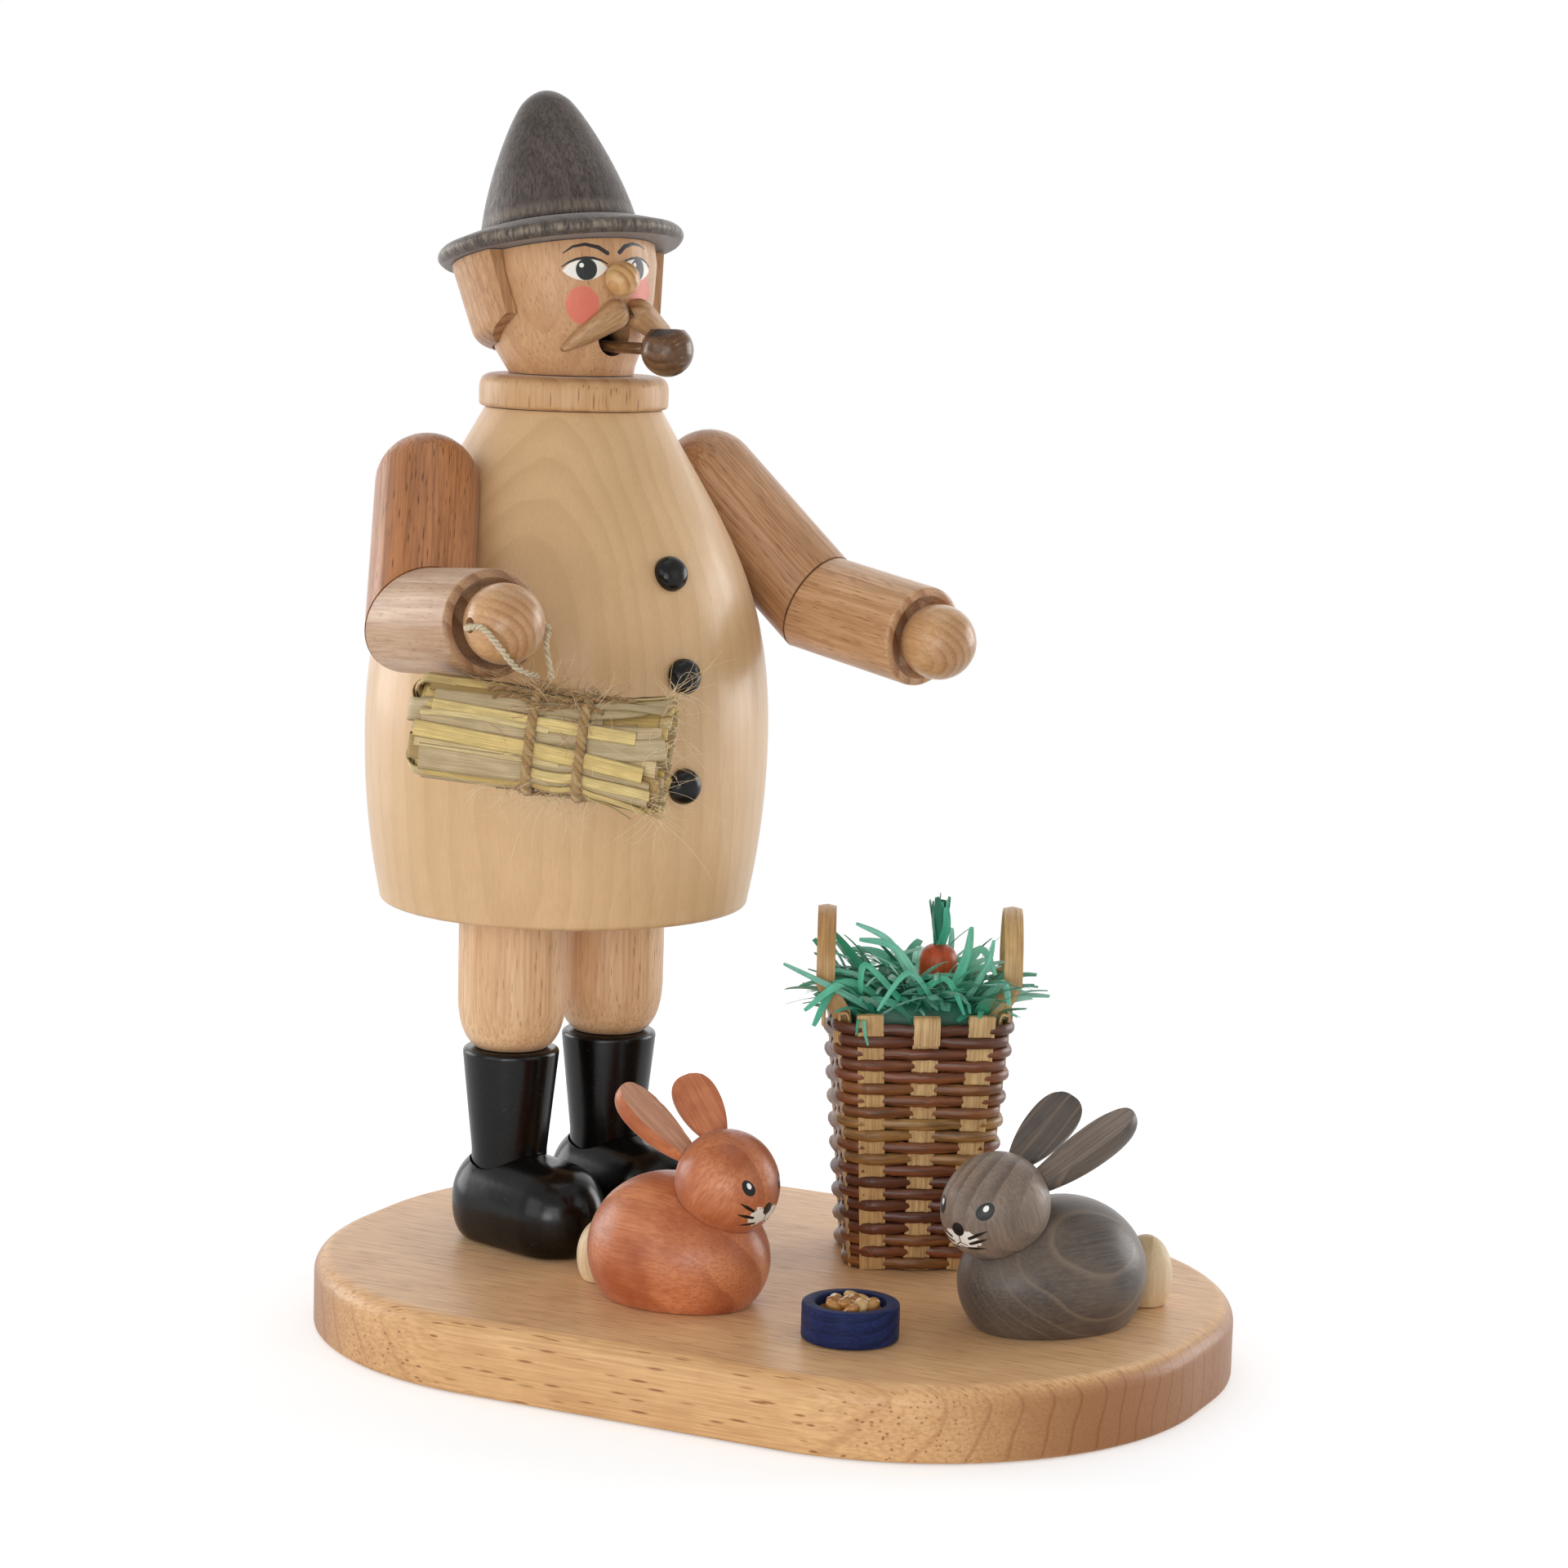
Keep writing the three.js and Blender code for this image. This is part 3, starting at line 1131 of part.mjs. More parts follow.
const RABBITS = [['brown', BROWN_RABBIT, RABBIT_BROWN], ['gray', GRAY_RABBIT, RABBIT_GRAY]];
for (const [name, rabbit, fur] of RABBITS) {
  const group = standing(smoker, ...rabbit.place, PLATE_TOP + GLUE_LINE, rabbit.facing);
  piece(group, `rabbit_${name}_body`, rabbitBody(rabbit), fur);
  piece(group, `rabbit_${name}_head`, rabbitHead(rabbit, 0), fur);
  piece(group, `rabbit_${name}_ear_left`, rabbitEar(rabbit, rabbit.earLeft), fur);
  piece(group, `rabbit_${name}_ear_right`, rabbitEar(rabbit, rabbit.earRight), fur);
  piece(group, `rabbit_${name}_tail`, rabbitTail(rabbit), PALE_WOOD);
}

// Feed bowl
function feedBowl() {
  return turned([
    [0, 0],
    [BOWL_RADIUS - BOWL_CHAMFER, 0],
    [BOWL_RADIUS, BOWL_CHAMFER],
    [BOWL_RADIUS, BOWL_HEIGHT - BOWL_CHAMFER],
    [BOWL_RADIUS - BOWL_CHAMFER, BOWL_HEIGHT],
    [BOWL_BORE_RADIUS, BOWL_HEIGHT],
    [BOWL_BORE_RADIUS, BOWL_FLOOR],
    [0, BOWL_FLOOR],
  ], ROUND_MEDIUM);
}

// Grains glued into a heap that fills the bowl
function feedGrains() {
  const floor = BOWL_FLOOR + GLUE_LINE;
  const level = BOWL_HEIGHT - GRAIN_HEIGHT / 2;
  const bedRadius = BOWL_BORE_RADIUS - FIT_GAP;
  let heap = solidOf(turned([[0, floor], [bedRadius, floor], [bedRadius, level], [0, level]], ROUND_SMALL));
  for (let i = 0; i < GRAIN_COUNT; i += 1) {
    const share = Math.sqrt((i + GRAIN_FIRST_REACH) / GRAIN_COUNT);
    const reach = (bedRadius - GRAIN_LENGTH / 2) * share;
    const angle = i * rad(GRAIN_TURN);
    const grain = ball(GRAIN_LENGTH / 2, GRAIN_WIDTH / 2, GRAIN_HEIGHT / 2, GRAIN_SIDES).rotateZ(angle);
    const height = level + (1 - share) * GRAIN_HEIGHT / 2;
    heap = heap.add(solidOf(grain.translate(reach * Math.cos(angle), reach * Math.sin(angle), height)));
  }
  return geometryOf(heap);
}

const feeder = standing(smoker, BOWL_X, BOWL_Y, PLATE_TOP + GLUE_LINE, 0);
piece(feeder, 'feed_bowl', feedBowl(), BOWL_BLUE);
piece(feeder, 'feed_grains', feedGrains(), GRAIN);

// Basket frame: its front faces -Y, its handles stand on the left and right walls
const basketGroup = standing(smoker, BASKET_X, BASKET_Y, PLATE_TOP + GLUE_LINE, BASKET_FACING);
const BASKET_INNER_RIM = BASKET_RIM_WIDTH / 2 - BASKET_WALL;
const HANDLE_PLANE = BASKET_RIM_WIDTH / 2 + HANDLE_OUT;

// Half width of the basket's outside at a height
function basketHalfAt(height) {
  return THREE.MathUtils.mapLinear(height, 0, BASKET_HEIGHT, BASKET_FOOT_WIDTH / 2, BASKET_RIM_WIDTH / 2);
}

// Square ring of the basket at a height, moved in from the outside
function basketRing(inset, height) {
  const half = basketHalfAt(height) - inset;
  return roundedRing(half, half, BASKET_CORNER - inset, height);
}

// Stake: a flat cane up the wall, folded over the rim
function stake(offset) {
  const slope = Math.atan2(BASKET_RIM_WIDTH - BASKET_FOOT_WIDTH, 2 * BASKET_HEIGHT);
  const depth = BASKET_WALL / 2 + STAKE_PROUD;
  const strip = new THREE.BoxGeometry(STAKE_WIDTH, depth, BASKET_HEIGHT / Math.cos(slope) - FIT_GAP);
  strip.rotateX(slope);
  strip.translate(offset, -basketHalfAt(BASKET_HEIGHT / 2) - STAKE_PROUD + depth / 2, BASKET_HEIGHT / 2);
  const foldDepth = BASKET_WALL + STAKE_PROUD;
  const fold = new THREE.BoxGeometry(STAKE_WIDTH, foldDepth, 2 * STAKE_FOLD);
  fold.translate(offset, -BASKET_RIM_WIDTH / 2 - STAKE_PROUD + foldDepth / 2, BASKET_HEIGHT);
  return [strip, fold];
}

// Basket wall and floor with the stakes on all four sides and notches for the handles
function basket() {
  let wall = solidOf(loft([
    basketRing(0, 0),
    basketRing(0, BASKET_HEIGHT),
    basketRing(BASKET_WALL, BASKET_HEIGHT),
    basketRing(BASKET_WALL, BASKET_FLOOR),
  ]));
  for (let quarter = 0; quarter < 4; quarter += 1) {
    for (const offset of [-STAKE_SPACING, 0, STAKE_SPACING]) {
      for (const strip of stake(offset)) wall = wall.add(solidOf(strip.rotateZ(quarter * Math.PI / 2)));
    }
  }
  const below = halfSpace(v3(), v3(0, 0, -1));
  const notchWidth = HANDLE_THICKNESS + 2 * FIT_GAP;
  const notchDepth = HANDLE_SET_DEPTH + FIT_GAP;
  for (const side of [1, -1]) {
    for (const end of [1, -1]) {
      const notch = new THREE.BoxGeometry(HANDLE_WIDTH + 2 * FIT_GAP, notchWidth, 2 * notchDepth);
      notch.translate(0, end * HANDLE_SPAN / 2, BASKET_HEIGHT);
      notch.rotateZ(rad(HANDLE_TURN)).translate(side * HANDLE_PLANE, 0, 0);
      wall = wall.subtract(solidOf(notch));
    }
  }
  return geometryOf(wall.subtract(below));
}

// Handle: a flat cane bent into an arch over one wall
function basketHandle(side) {
  const half = HANDLE_SPAN / 2;
  const shoulder = BASKET_HEIGHT + HANDLE_RISE - half;
  const outer = half + HANDLE_THICKNESS / 2;
  const inner = half - HANDLE_THICKNESS / 2;
  const low = BASKET_HEIGHT - HANDLE_SET_DEPTH;
  const arch = new THREE.Shape();
  arch.moveTo(outer, low);
  arch.lineTo(outer, shoulder);
  arch.absarc(0, shoulder, outer, 0, Math.PI, false);
  arch.lineTo(-outer, low);
  arch.lineTo(-inner, low);
  arch.lineTo(-inner, shoulder);
  arch.absarc(0, shoulder, inner, Math.PI, 0, true);
  arch.lineTo(inner, low);
  const settings = { depth: HANDLE_WIDTH, bevelEnabled: false, curveSegments: HANDLE_STEPS };
  const strap = new THREE.ExtrudeGeometry(arch, settings);
  strap.translate(0, 0, -HANDLE_WIDTH / 2);
  strap.rotateX(Math.PI / 2);
  strap.rotateZ(Math.PI / 2 + rad(HANDLE_TURN));
  return weld(strap.translate(side * HANDLE_PLANE, 0, 0));
}

// Carrot in the grass, broad end up
const CARROT_TOP = BASKET_HEIGHT + CARROT_ABOVE_RIM;
function carrotForm(grow) {
  const radius = CARROT_RADIUS + grow;
  const top = CARROT_TOP + grow;
  const shoulder = top - radius;
  const foot = CARROT_TOP - CARROT_LENGTH - grow;
  const dome = rounded([radius, shoulder], [radius, top], [0, top]);
  const root = rounded([CARROT_TIP_RADIUS, foot], [radius, (foot + shoulder) / 2], [radius, shoulder]);
  return turned([[0, foot], ...root, ...dome.slice(1)], ROUND_SMALL).translate(CARROT_SIDE, 0, 0);
}

// Grass: fills the basket and rises in a mound, hollowed round the carrot
function grass() {
  const inset = BASKET_WALL + GRASS_GAP;
  const top = BASKET_HEIGHT + STAKE_FOLD + FIT_GAP;
  const half = BASKET_INNER_RIM - GRASS_GAP;
  const mound = evenly(CREST_STEPS).map((share) => {
    const angle = GRASS_CREST * share * Math.PI / 2;
    const reach = half * Math.cos(angle) ** GRASS_FULLNESS;
    const corner = reach * THREE.MathUtils.lerp(GRASS_FOOT_ROUND, GRASS_CREST_ROUND, share);
    return roundedRing(reach, reach, corner, top + GRASS_MOUND * Math.sin(angle));
  });
  const filling = [basketRing(inset, BASKET_FLOOR + FIT_GAP), basketRing(inset, BASKET_HEIGHT)];
  const heap = solidOf(loft([...filling, ...mound]));
  return geometryOf(heap.subtract(solidOf(carrotForm(FIT_GAP))));
}

// Carrot leaves: a tuft of slim blades
function carrotLeaves() {
  const blade = new THREE.ConeGeometry(LEAF_RADIUS, LEAF_HEIGHT, LEAF_SIDES);
  blade.rotateX(Math.PI / 2).translate(0, 0, LEAF_HEIGHT / 2);
  let tuft = solidOf(blade.clone());
  for (let i = 0; i < LEAF_COUNT; i += 1) {
    const lean = blade.clone().rotateX(rad(LEAF_SPREAD)).rotateZ(2 * Math.PI * i / LEAF_COUNT);
    tuft = tuft.add(solidOf(lean));
  }
  const base = halfSpace(v3(0, 0, LEAF_RADIUS * Math.sin(rad(LEAF_SPREAD))), v3(0, 0, -1));
  return geometryOf(tuft.subtract(base)).translate(CARROT_SIDE, 0, CARROT_TOP + FIT_GAP / 2);
}

piece(basketGroup, 'basket', basket(), WICKER);
piece(basketGroup, 'basket_handle_left', basketHandle(-1), CANE);
piece(basketGroup, 'basket_handle_right', basketHandle(1), CANE);
piece(basketGroup, 'basket_grass', grass(), GRASS);
piece(basketGroup, 'carrot', carrotForm(0), CARROT_ORANGE);
piece(basketGroup, 'carrot_leaves', carrotLeaves(), GRASS);

export default smoker;
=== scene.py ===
"""Rabbit keeper smoker: finer turned pieces, woven and tied work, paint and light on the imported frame."""

import json
import logging
import random
from collections.abc import Callable, Iterator, Sequence
from contextlib import contextmanager
from dataclasses import dataclass, field
from enum import Enum
from math import acos, atan2, copysign, cos, exp, pi, radians, sin, sqrt

import bmesh
import bpy
from mathutils import Matrix, Vector


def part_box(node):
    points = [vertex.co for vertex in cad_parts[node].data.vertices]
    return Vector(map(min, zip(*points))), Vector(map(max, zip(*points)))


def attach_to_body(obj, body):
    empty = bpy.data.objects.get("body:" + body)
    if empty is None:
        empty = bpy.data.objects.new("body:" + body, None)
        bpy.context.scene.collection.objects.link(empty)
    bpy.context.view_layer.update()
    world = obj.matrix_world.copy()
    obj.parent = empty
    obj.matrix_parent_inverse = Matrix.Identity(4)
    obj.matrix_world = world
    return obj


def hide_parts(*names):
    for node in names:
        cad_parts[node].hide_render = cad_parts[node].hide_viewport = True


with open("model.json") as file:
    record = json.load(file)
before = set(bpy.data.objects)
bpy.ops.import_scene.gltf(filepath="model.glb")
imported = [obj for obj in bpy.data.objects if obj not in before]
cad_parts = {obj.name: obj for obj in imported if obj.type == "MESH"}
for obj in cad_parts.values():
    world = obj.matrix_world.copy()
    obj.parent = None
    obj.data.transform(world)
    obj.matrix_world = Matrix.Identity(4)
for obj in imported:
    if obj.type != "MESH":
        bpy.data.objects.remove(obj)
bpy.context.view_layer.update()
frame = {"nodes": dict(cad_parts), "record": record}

LOG = logging.getLogger("smoker")
MM = 0.001
GAP = 0.3
GLUE = 0.15
UP = Vector((0.0, 0.0, 1.0))
FADE = (1.0, 0.0)
WHITE = (1.0, 1.0, 1.0, 1.0)
ROUGH_RISE = 0.1
GOLDEN_TURN = radians(137.5)

Profile = Sequence[tuple[float, float]]
Ring = list[Vector]
Socket = bpy.types.NodeSocket
Object = bpy.types.Object
Pair = tuple[float, float]
Triple = tuple[float, float, float]
Colour = tuple[float, float, float, float]
Material = bpy.types.Material
NodeTree = bpy.types.NodeTree

BODY_OF = {
    node: body
    for body, nodes in frame["record"]["behaviour"]["bodies"].items()
    for node in nodes
}


class Side(Enum):
    """The keeper's own left and right."""

    LEFT = 1
    RIGHT = -1

    @property
    def word(self) -> str:
        """Side as it stands in node names."""
        return self.name.lower()


# Modelling


def mm(x: float, y: float, z: float) -> Vector:
    """Point given in millimetres, in metres."""
    return Vector((x, y, z)) * MM


def deselect_all() -> None:
    """Leaves edit mode and deselects every object."""
    active = bpy.context.view_layer.objects.active
    if active is not None and active.mode != "OBJECT":
        bpy.ops.object.mode_set(mode="OBJECT")
    bpy.ops.object.select_all(action="DESELECT")


def activate(piece: Object) -> None:
    """Makes a piece the only selected and the active object.

    Args:
        piece: Object to work on.
    """
    deselect_all()
    piece.select_set(True)
    bpy.context.view_layer.objects.active = piece


@contextmanager
def editing(piece: Object) -> Iterator[None]:
    """Edit mode on a piece with all of it selected."""
    activate(piece)
    bpy.ops.object.mode_set(mode="EDIT")
    bpy.ops.mesh.select_mode(type="VERT")
    bpy.ops.mesh.select_all(action="SELECT")
    yield
    bpy.ops.object.mode_set(mode="OBJECT")


def select_faces(piece: Object, test: Callable[[bmesh.types.BMFace], bool]) -> None:
    """Selects, in edit mode, only the faces that pass a test.

    Args:
        piece: Object in edit mode.
        test: Says whether a face is wanted.
    """
    bpy.ops.mesh.select_mode(type="FACE")
    bpy.ops.mesh.select_all(action="DESELECT")
    mesh = bmesh.from_edit_mesh(piece.data)
    for face in mesh.faces:
        face.select_set(test(face))
    bmesh.update_edit_mesh(piece.data)


def new_plane(name: str) -> Object:
    """Adds a small plane at the origin to model a piece from.

    Args:
        name: Name of the piece.

    Returns:
        The plane.
    """
    deselect_all()
    bpy.ops.mesh.primitive_plane_add(size=MM)
    piece = bpy.context.object
    piece.name = name
    piece.data.name = name
    return piece


def close_up(piece: Object) -> None:
    """Merges doubled corners and turns the faces outwards.

    Args:
        piece: Piece to mend.
    """
    with editing(piece):
        bpy.ops.mesh.remove_doubles(threshold=MM / 500)
        bpy.ops.mesh.normals_make_consistent(inside=False)


def smooth(piece: Object, angle: float = 32.0) -> Object:
    """Shades a piece smooth, with edges over an angle in degrees left sharp.

    Args:
        piece: Piece to shade.
        angle: Greatest angle of a soft edge.

    Returns:
        The piece.
    """
    activate(piece)
    bpy.ops.object.shade_smooth_by_angle(angle=radians(angle))
    return piece


def place(piece: Object, where: Matrix) -> Object:
    """Moves a piece to a frame and puts its place into its mesh.

    Args:
        piece: Piece to move.
        where: Frame that it goes to.

    Returns:
        The piece.
    """
    activate(piece)
    piece.matrix_world = where
    bpy.ops.object.transform_apply(location=True, rotation=True, scale=True)
    return piece


def arc(start: tuple, corner: tuple, end: tuple, steps: int = 10) -> list[tuple]:
    """Soft corner of a profile from one point to another.

    Args:
        start: First point.
        corner: Point that both ends run towards.
        end: Last point.
        steps: Straight steps along it.

    Returns:
        Points from start to end.
    """
    points = []
    for i in range(steps + 1):
        t = i / steps
        weights = ((1 - t) ** 2, 2 * t * (1 - t), t * t)
        axes = zip(start, corner, end)
        points.append(tuple(sum(w * c for w, c in zip(weights, axis)) for axis in axes))
    return points


def swell(start: tuple, pull_a: tuple, pull_b: tuple, end: tuple, steps: int = 28) -> list[tuple]:
    """Long bellied line of a profile, pulled towards two points.

    Args:
        start: First point.
        pull_a: Point that the line leaves towards.
        pull_b: Point that the line arrives from.
        end: Last point.
        steps: Straight steps along it.

    Returns:
        Points from start to end.
    """
    points = []
    for i in range(steps + 1):
        t = i / steps
        weights = ((1 - t) ** 3, 3 * t * (1 - t) ** 2, 3 * t * t * (1 - t), t**3)
        axes = zip(start, pull_a, pull_b, end)
        points.append(tuple(sum(w * c for w, c in zip(weights, axis)) for axis in axes))
    return points


def half_round(radius: float, front: float, back: float, steps: int = 26) -> list[tuple]:
    """Profile of an egg about Z, from its back pole to its front pole.

    Args:
        radius: Greatest radius.
        front: Reach of the front pole.
        back: Reach of the back pole.
        steps: Straight steps.

    Returns:
        Radius and height pairs.
    """
    points = []
    for i in range(steps + 1):
        angle = pi * (1 - i / steps)
        reach = front if cos(angle) > 0 else back
        points.append((radius * sin(angle), reach * cos(angle)))
    return points


def radius_on(line: Profile, height: float, beyond: float) -> float:
    """Radius of a turned outline at a height.

    Args:
        line: Radius and height pairs, from below to above.
        height: Height in millimetres.
        beyond: Radius where the line doesn't reach.

    Returns:
        Radius in millimetres.
    """
    for (r0, z0), (r1, z1) in zip(line, line[1:]):
        if z0 < height <= z1:
            return r0 + (r1 - r0) * (height - z0) / (z1 - z0)
    return beyond


def turned(name: str, profile: Profile, sides: int = 96) -> Object:
    """Turns a piece about Z, as on a lathe.

    Args:
        name: Name of the piece.
        profile: Radius and height pairs in millimetres, drawn by extruding one corner.
        sides: Steps of the spin.

    Returns:
        Closed piece, shaded smooth.
    """
    piece = new_plane(name)
    with editing(piece):
        bpy.ops.mesh.merge(type="CENTER")
        here = Vector((0.0, 0.0, 0.0))
        for i, (radius, height) in enumerate(profile):
            there = mm(radius, 0.0, height)
            if i == 0:
                bpy.ops.transform.translate(value=there - here)
            else:
                bpy.ops.mesh.extrude_vertices_move(TRANSFORM_OT_translate={"value": there - here})
            here = there
        bpy.ops.mesh.select_all(action="SELECT")
        bpy.ops.mesh.spin(steps=sides, angle=2 * pi, center=(0, 0, 0), axis=(0, 0, 1))
    close_up(piece)
    return smooth(piece)


def carve(piece: Object, tool: Object) -> Object:
    """Cuts a tool's shape out of a piece and removes the tool.

    Args:
        piece: Piece to cut.
        tool: Shape to take away.

    Returns:
        The piece.
    """
    modifier = piece.modifiers.new("carve", "BOOLEAN")
    modifier.operation = "DIFFERENCE"
    modifier.solver = "EXACT"
    modifier.object = tool
    activate(piece)
    bpy.ops.object.modifier_apply(modifier=modifier.name)
    bpy.data.objects.remove(tool)
    return smooth(piece)


def slice_off(piece: Object, point: Vector, outward: Vector) -> Object:
    """Saws off what lies beyond a plane and fills the cut.

    Args:
        piece: Piece to saw.
        point: Point on the plane.
        outward: Way to what goes.

    Returns:
        The piece.
    """
    with editing(piece):
        bpy.ops.mesh.bisect(plane_co=point, plane_no=outward, use_fill=True, clear_outer=True)
    return smooth(piece)


def lofted(name: str, rings: list[Ring]) -> Object:
    """Skins a row of rings into a closed piece.

    Args:
        name: Name of the piece.
        rings: Rings with equal counts, in metres.

    Returns:
        Closed piece, shaded smooth.
    """
    strands = Strands()
    strands.skin(rings, 0.5)
    piece = strands.build(name)
    close_up(piece)
    return smooth(piece)


def shifted(x: float, y: float, z: float) -> Matrix:
    """Frame at a place in millimetres."""
    return Matrix.Translation(mm(x, y, z))


def spun(angle: float, axis: str) -> Matrix:
    """Frame turned by an angle in degrees about an axis."""
    return Matrix.Rotation(radians(angle), 4, axis)


def standing(x: float, y: float, z: float, facing: float, tilt: float = 0.0) -> Matrix:
    """Frame at a place in millimetres, turned about Z and leaned back about its own X."""
    return shifted(x, y, z) @ spun(facing, "Z") @ spun(-tilt, "X")


def aimed(direction: Vector, point: Vector) -> Matrix:
    """Frame at a point with its Z along a direction."""
    return Matrix.Translation(point) @ UP.rotation_difference(direction).to_matrix().to_4x4()


def rounded_ring(half_x: float, half_y: float, radius: float, z: float, steps: int = 8) -> Ring:
    """Ring round a rectangle with round corners, in metres from millimetres.

    Args:
        half_x: Half width.
        half_y: Half depth.
        radius: Radius of the corners.
        z: Height.
        steps: Steps of each corner.

    Returns:
        The ring.
    """
    ring = []
    for quarter, (sx, sy) in enumerate(((1, 1), (-1, 1), (-1, -1), (1, -1))):
        for i in range(steps + 1):
            angle = (quarter + i / steps) * pi / 2
            x = sx * (half_x - radius) + radius * cos(angle)
            y = sy * (half_y - radius) + radius * sin(angle)
            ring.append(mm(x, y, z))
    return ring


def smooth_line(points: Sequence[Vector], steps: int, closed: bool = False) -> list[Vector]:
    """Smooth line through points.

    Args:
        points: Points it passes.
        steps: Steps between neighbours.
        closed: Whether it comes back to its first point.

    Returns:
        Points along the line.
    """
    count = len(points)
    line = []
    for i in range(count if closed else count - 1):
        near = [i - 1, i, i + 1, i + 2]
        picked = [j % count if closed else min(max(j, 0), count - 1) for j in near]
        a, b, c, d = (points[j] for j in picked)
        for k in range(steps):
            t = k / steps
            line.append(0.5 * (2 * b + (c - a) * t + (2 * a - 5 * b + 4 * c - d) * t * t
                               + (3 * b - a - 3 * c + d) * t**3))
    if not closed:
        line.append(points[-1].copy())
    return line


def round_outline(radius: float, sides: int = 6) -> Profile:
    """Section of a round strand."""
    return [(radius * cos(2 * pi * i / sides), radius * sin(2 * pi * i / sides))
            for i in range(sides)]


def flat_outline(width: float, thickness: float) -> Profile:
    """Section of a flat blade, a little thicker in its middle.

    Args:
        width: Width of the blade.
        thickness: Thickness in its middle.

    Returns:
        Points of the section.
    """
    half, thick = width / 2, thickness / 2
    thin = thick / 2
    return [(-half, -thin), (0, -thick), (half, -thin), (half, thin), (0, thick), (-half, thin)]


class Strands:
    """Many swept strands in one mesh, with their tint and their own length and width as attributes."""

    def __init__(self) -> None:
        """Starts with no strand."""
        self.corners: list[Vector] = []
        self.faces: list[list[int]] = []
        self.tint: list[float] = []
        self.along: list[float] = []
        self.across: list[float] = []

    def skin(self, rings: list[Ring], tint: float, closed: bool = False,
             across: Sequence[float] = ()) -> None:
        """Adds one strand from its rings.

        Args:
            rings: Rings with equal counts, in metres.
            tint: Shade of this strand, 0 to 1.
            closed: Whether the last ring meets the first.
            across: Place of each ring corner across the strand, -1 to 1.
        """
        first = len(self.corners)
        count = len(rings[0])
        length = 0.0
        before = None
        for ring in rings:
            middle = sum(ring, Vector()) / count
            length += (middle - before).length / MM if before is not None else 0.0
            before = middle
            self.corners.extend(ring)
            self.tint.extend([tint] * count)
            self.along.extend([length] * count)
            self.across.extend(across or [0.0] * count)
        for i in range(len(rings) if closed else len(rings) - 1):
            low = first + i * count
            high = first + (i + 1) % len(rings) * count
            for j in range(count):
                k = (j + 1) % count
                self.faces.append([low + j, low + k, high + k, high + j])
        if not closed:
            self.faces.append([first + j for j in reversed(range(count))])
            self.faces.append([first + (len(rings) - 1) * count + j for j in range(count)])

    def sweep(self, line: Sequence[Vector], outline: Profile, up: Vector | Sequence[Vector], tint: float,
              closed: bool = False, taper: Callable[[float], float] | None = None) -> None:
        """Adds a strand by carrying an outline along a line.

        Args:
            line: Points of its middle, in metres.
            outline: Section in millimetres, across and through.
            up: Way its flat side faces, one for all or one for each point.
            tint: Shade of this strand, 0 to 1.
            closed: Whether the line comes back to its start.
            taper: Size of the section at a share of the length.
        """
        last = len(line) - 1
        widest = max(abs(a) for a, _ in outline)
        rings = []
        for i, point in enumerate(line):
            ahead = line[(i + 1) % len(line)] if closed else line[min(i + 1, last)]
            behind = line[i - 1] if closed else line[max(i - 1, 0)]
            way = (ahead - behind).normalized()
            side = way.cross(up if isinstance(up, Vector) else up[i]).normalized()
            normal = side.cross(way)
            size = MM * (taper(i / last) if taper else 1.0)
            rings.append([point + side * a * size + normal * b * size for a, b in outline])
        self.skin(rings, tint, closed, [a / widest for a, _ in outline])

    def build(self, name: str) -> Object:
        """Makes the mesh object with its attributes.

        Args:
            name: Name of the piece.

        Returns:
            The piece, shaded smooth.
        """
        mesh = bpy.data.meshes.new(name)
        mesh.from_pydata(self.corners, [], self.faces)
        for label, values in (("tint", self.tint), ("along", self.along), ("across", self.across)):
            mesh.attributes.new(label, "FLOAT", "POINT").data.foreach_set("value", values)
        mesh.update()
        piece = bpy.data.objects.new(name, mesh)
        bpy.context.scene.collection.objects.link(piece)
        with editing(piece):
            bpy.ops.mesh.normals_make_consistent(inside=False)
        return smooth(piece, 50.0)


def dress(piece: Object, material: Material, *nodes: str) -> Object:
    """Gives a piece its finish and lets it stand for CAD nodes.

    Args:
        piece: Finished piece in place.
        material: Its finish.
        nodes: CAD nodes that it stands for; it rides on the first one's body.

    Returns:
        The piece.
    """
    piece.data.materials.clear()
    piece.data.materials.append(material)
    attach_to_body(piece, BODY_OF[nodes[0]])
    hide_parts(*nodes)
    LOG.info("%s stands for %s with %d faces", piece.name, ", ".join(nodes), len(piece.data.polygons))
    return piece


def attach(piece: Object, material: Material, node: str) -> Object:
    """Gives a small extra piece its finish and lets it ride with a CAD node's body.

    Args:
        piece: Finished piece in place.
        material: Its finish.
        node: CAD node that it goes with.

    Returns:
        The piece.
    """
    piece.data.materials.clear()
    piece.data.materials.append(material)
    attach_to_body(piece, BODY_OF[node])
    LOG.info("%s rides with %s with %d faces", piece.name, node, len(piece.data.polygons))
    return piece


# Finishes


def linear(code: str) -> Colour:
    """Linear colour from a hex code as seen on a screen.

    Args:
        code: Six digits after a hash sign.

    Returns:
        Colour with full cover.
    """
    shown = [int(code[i:i + 2], 16) / 255 for i in (1, 3, 5)]
    red, green, blue = (c / 12.92 if c <= 0.04045 else ((c + 0.055) / 1.055) ** 2.4 for c in shown)
    return red, green, blue, 1.0


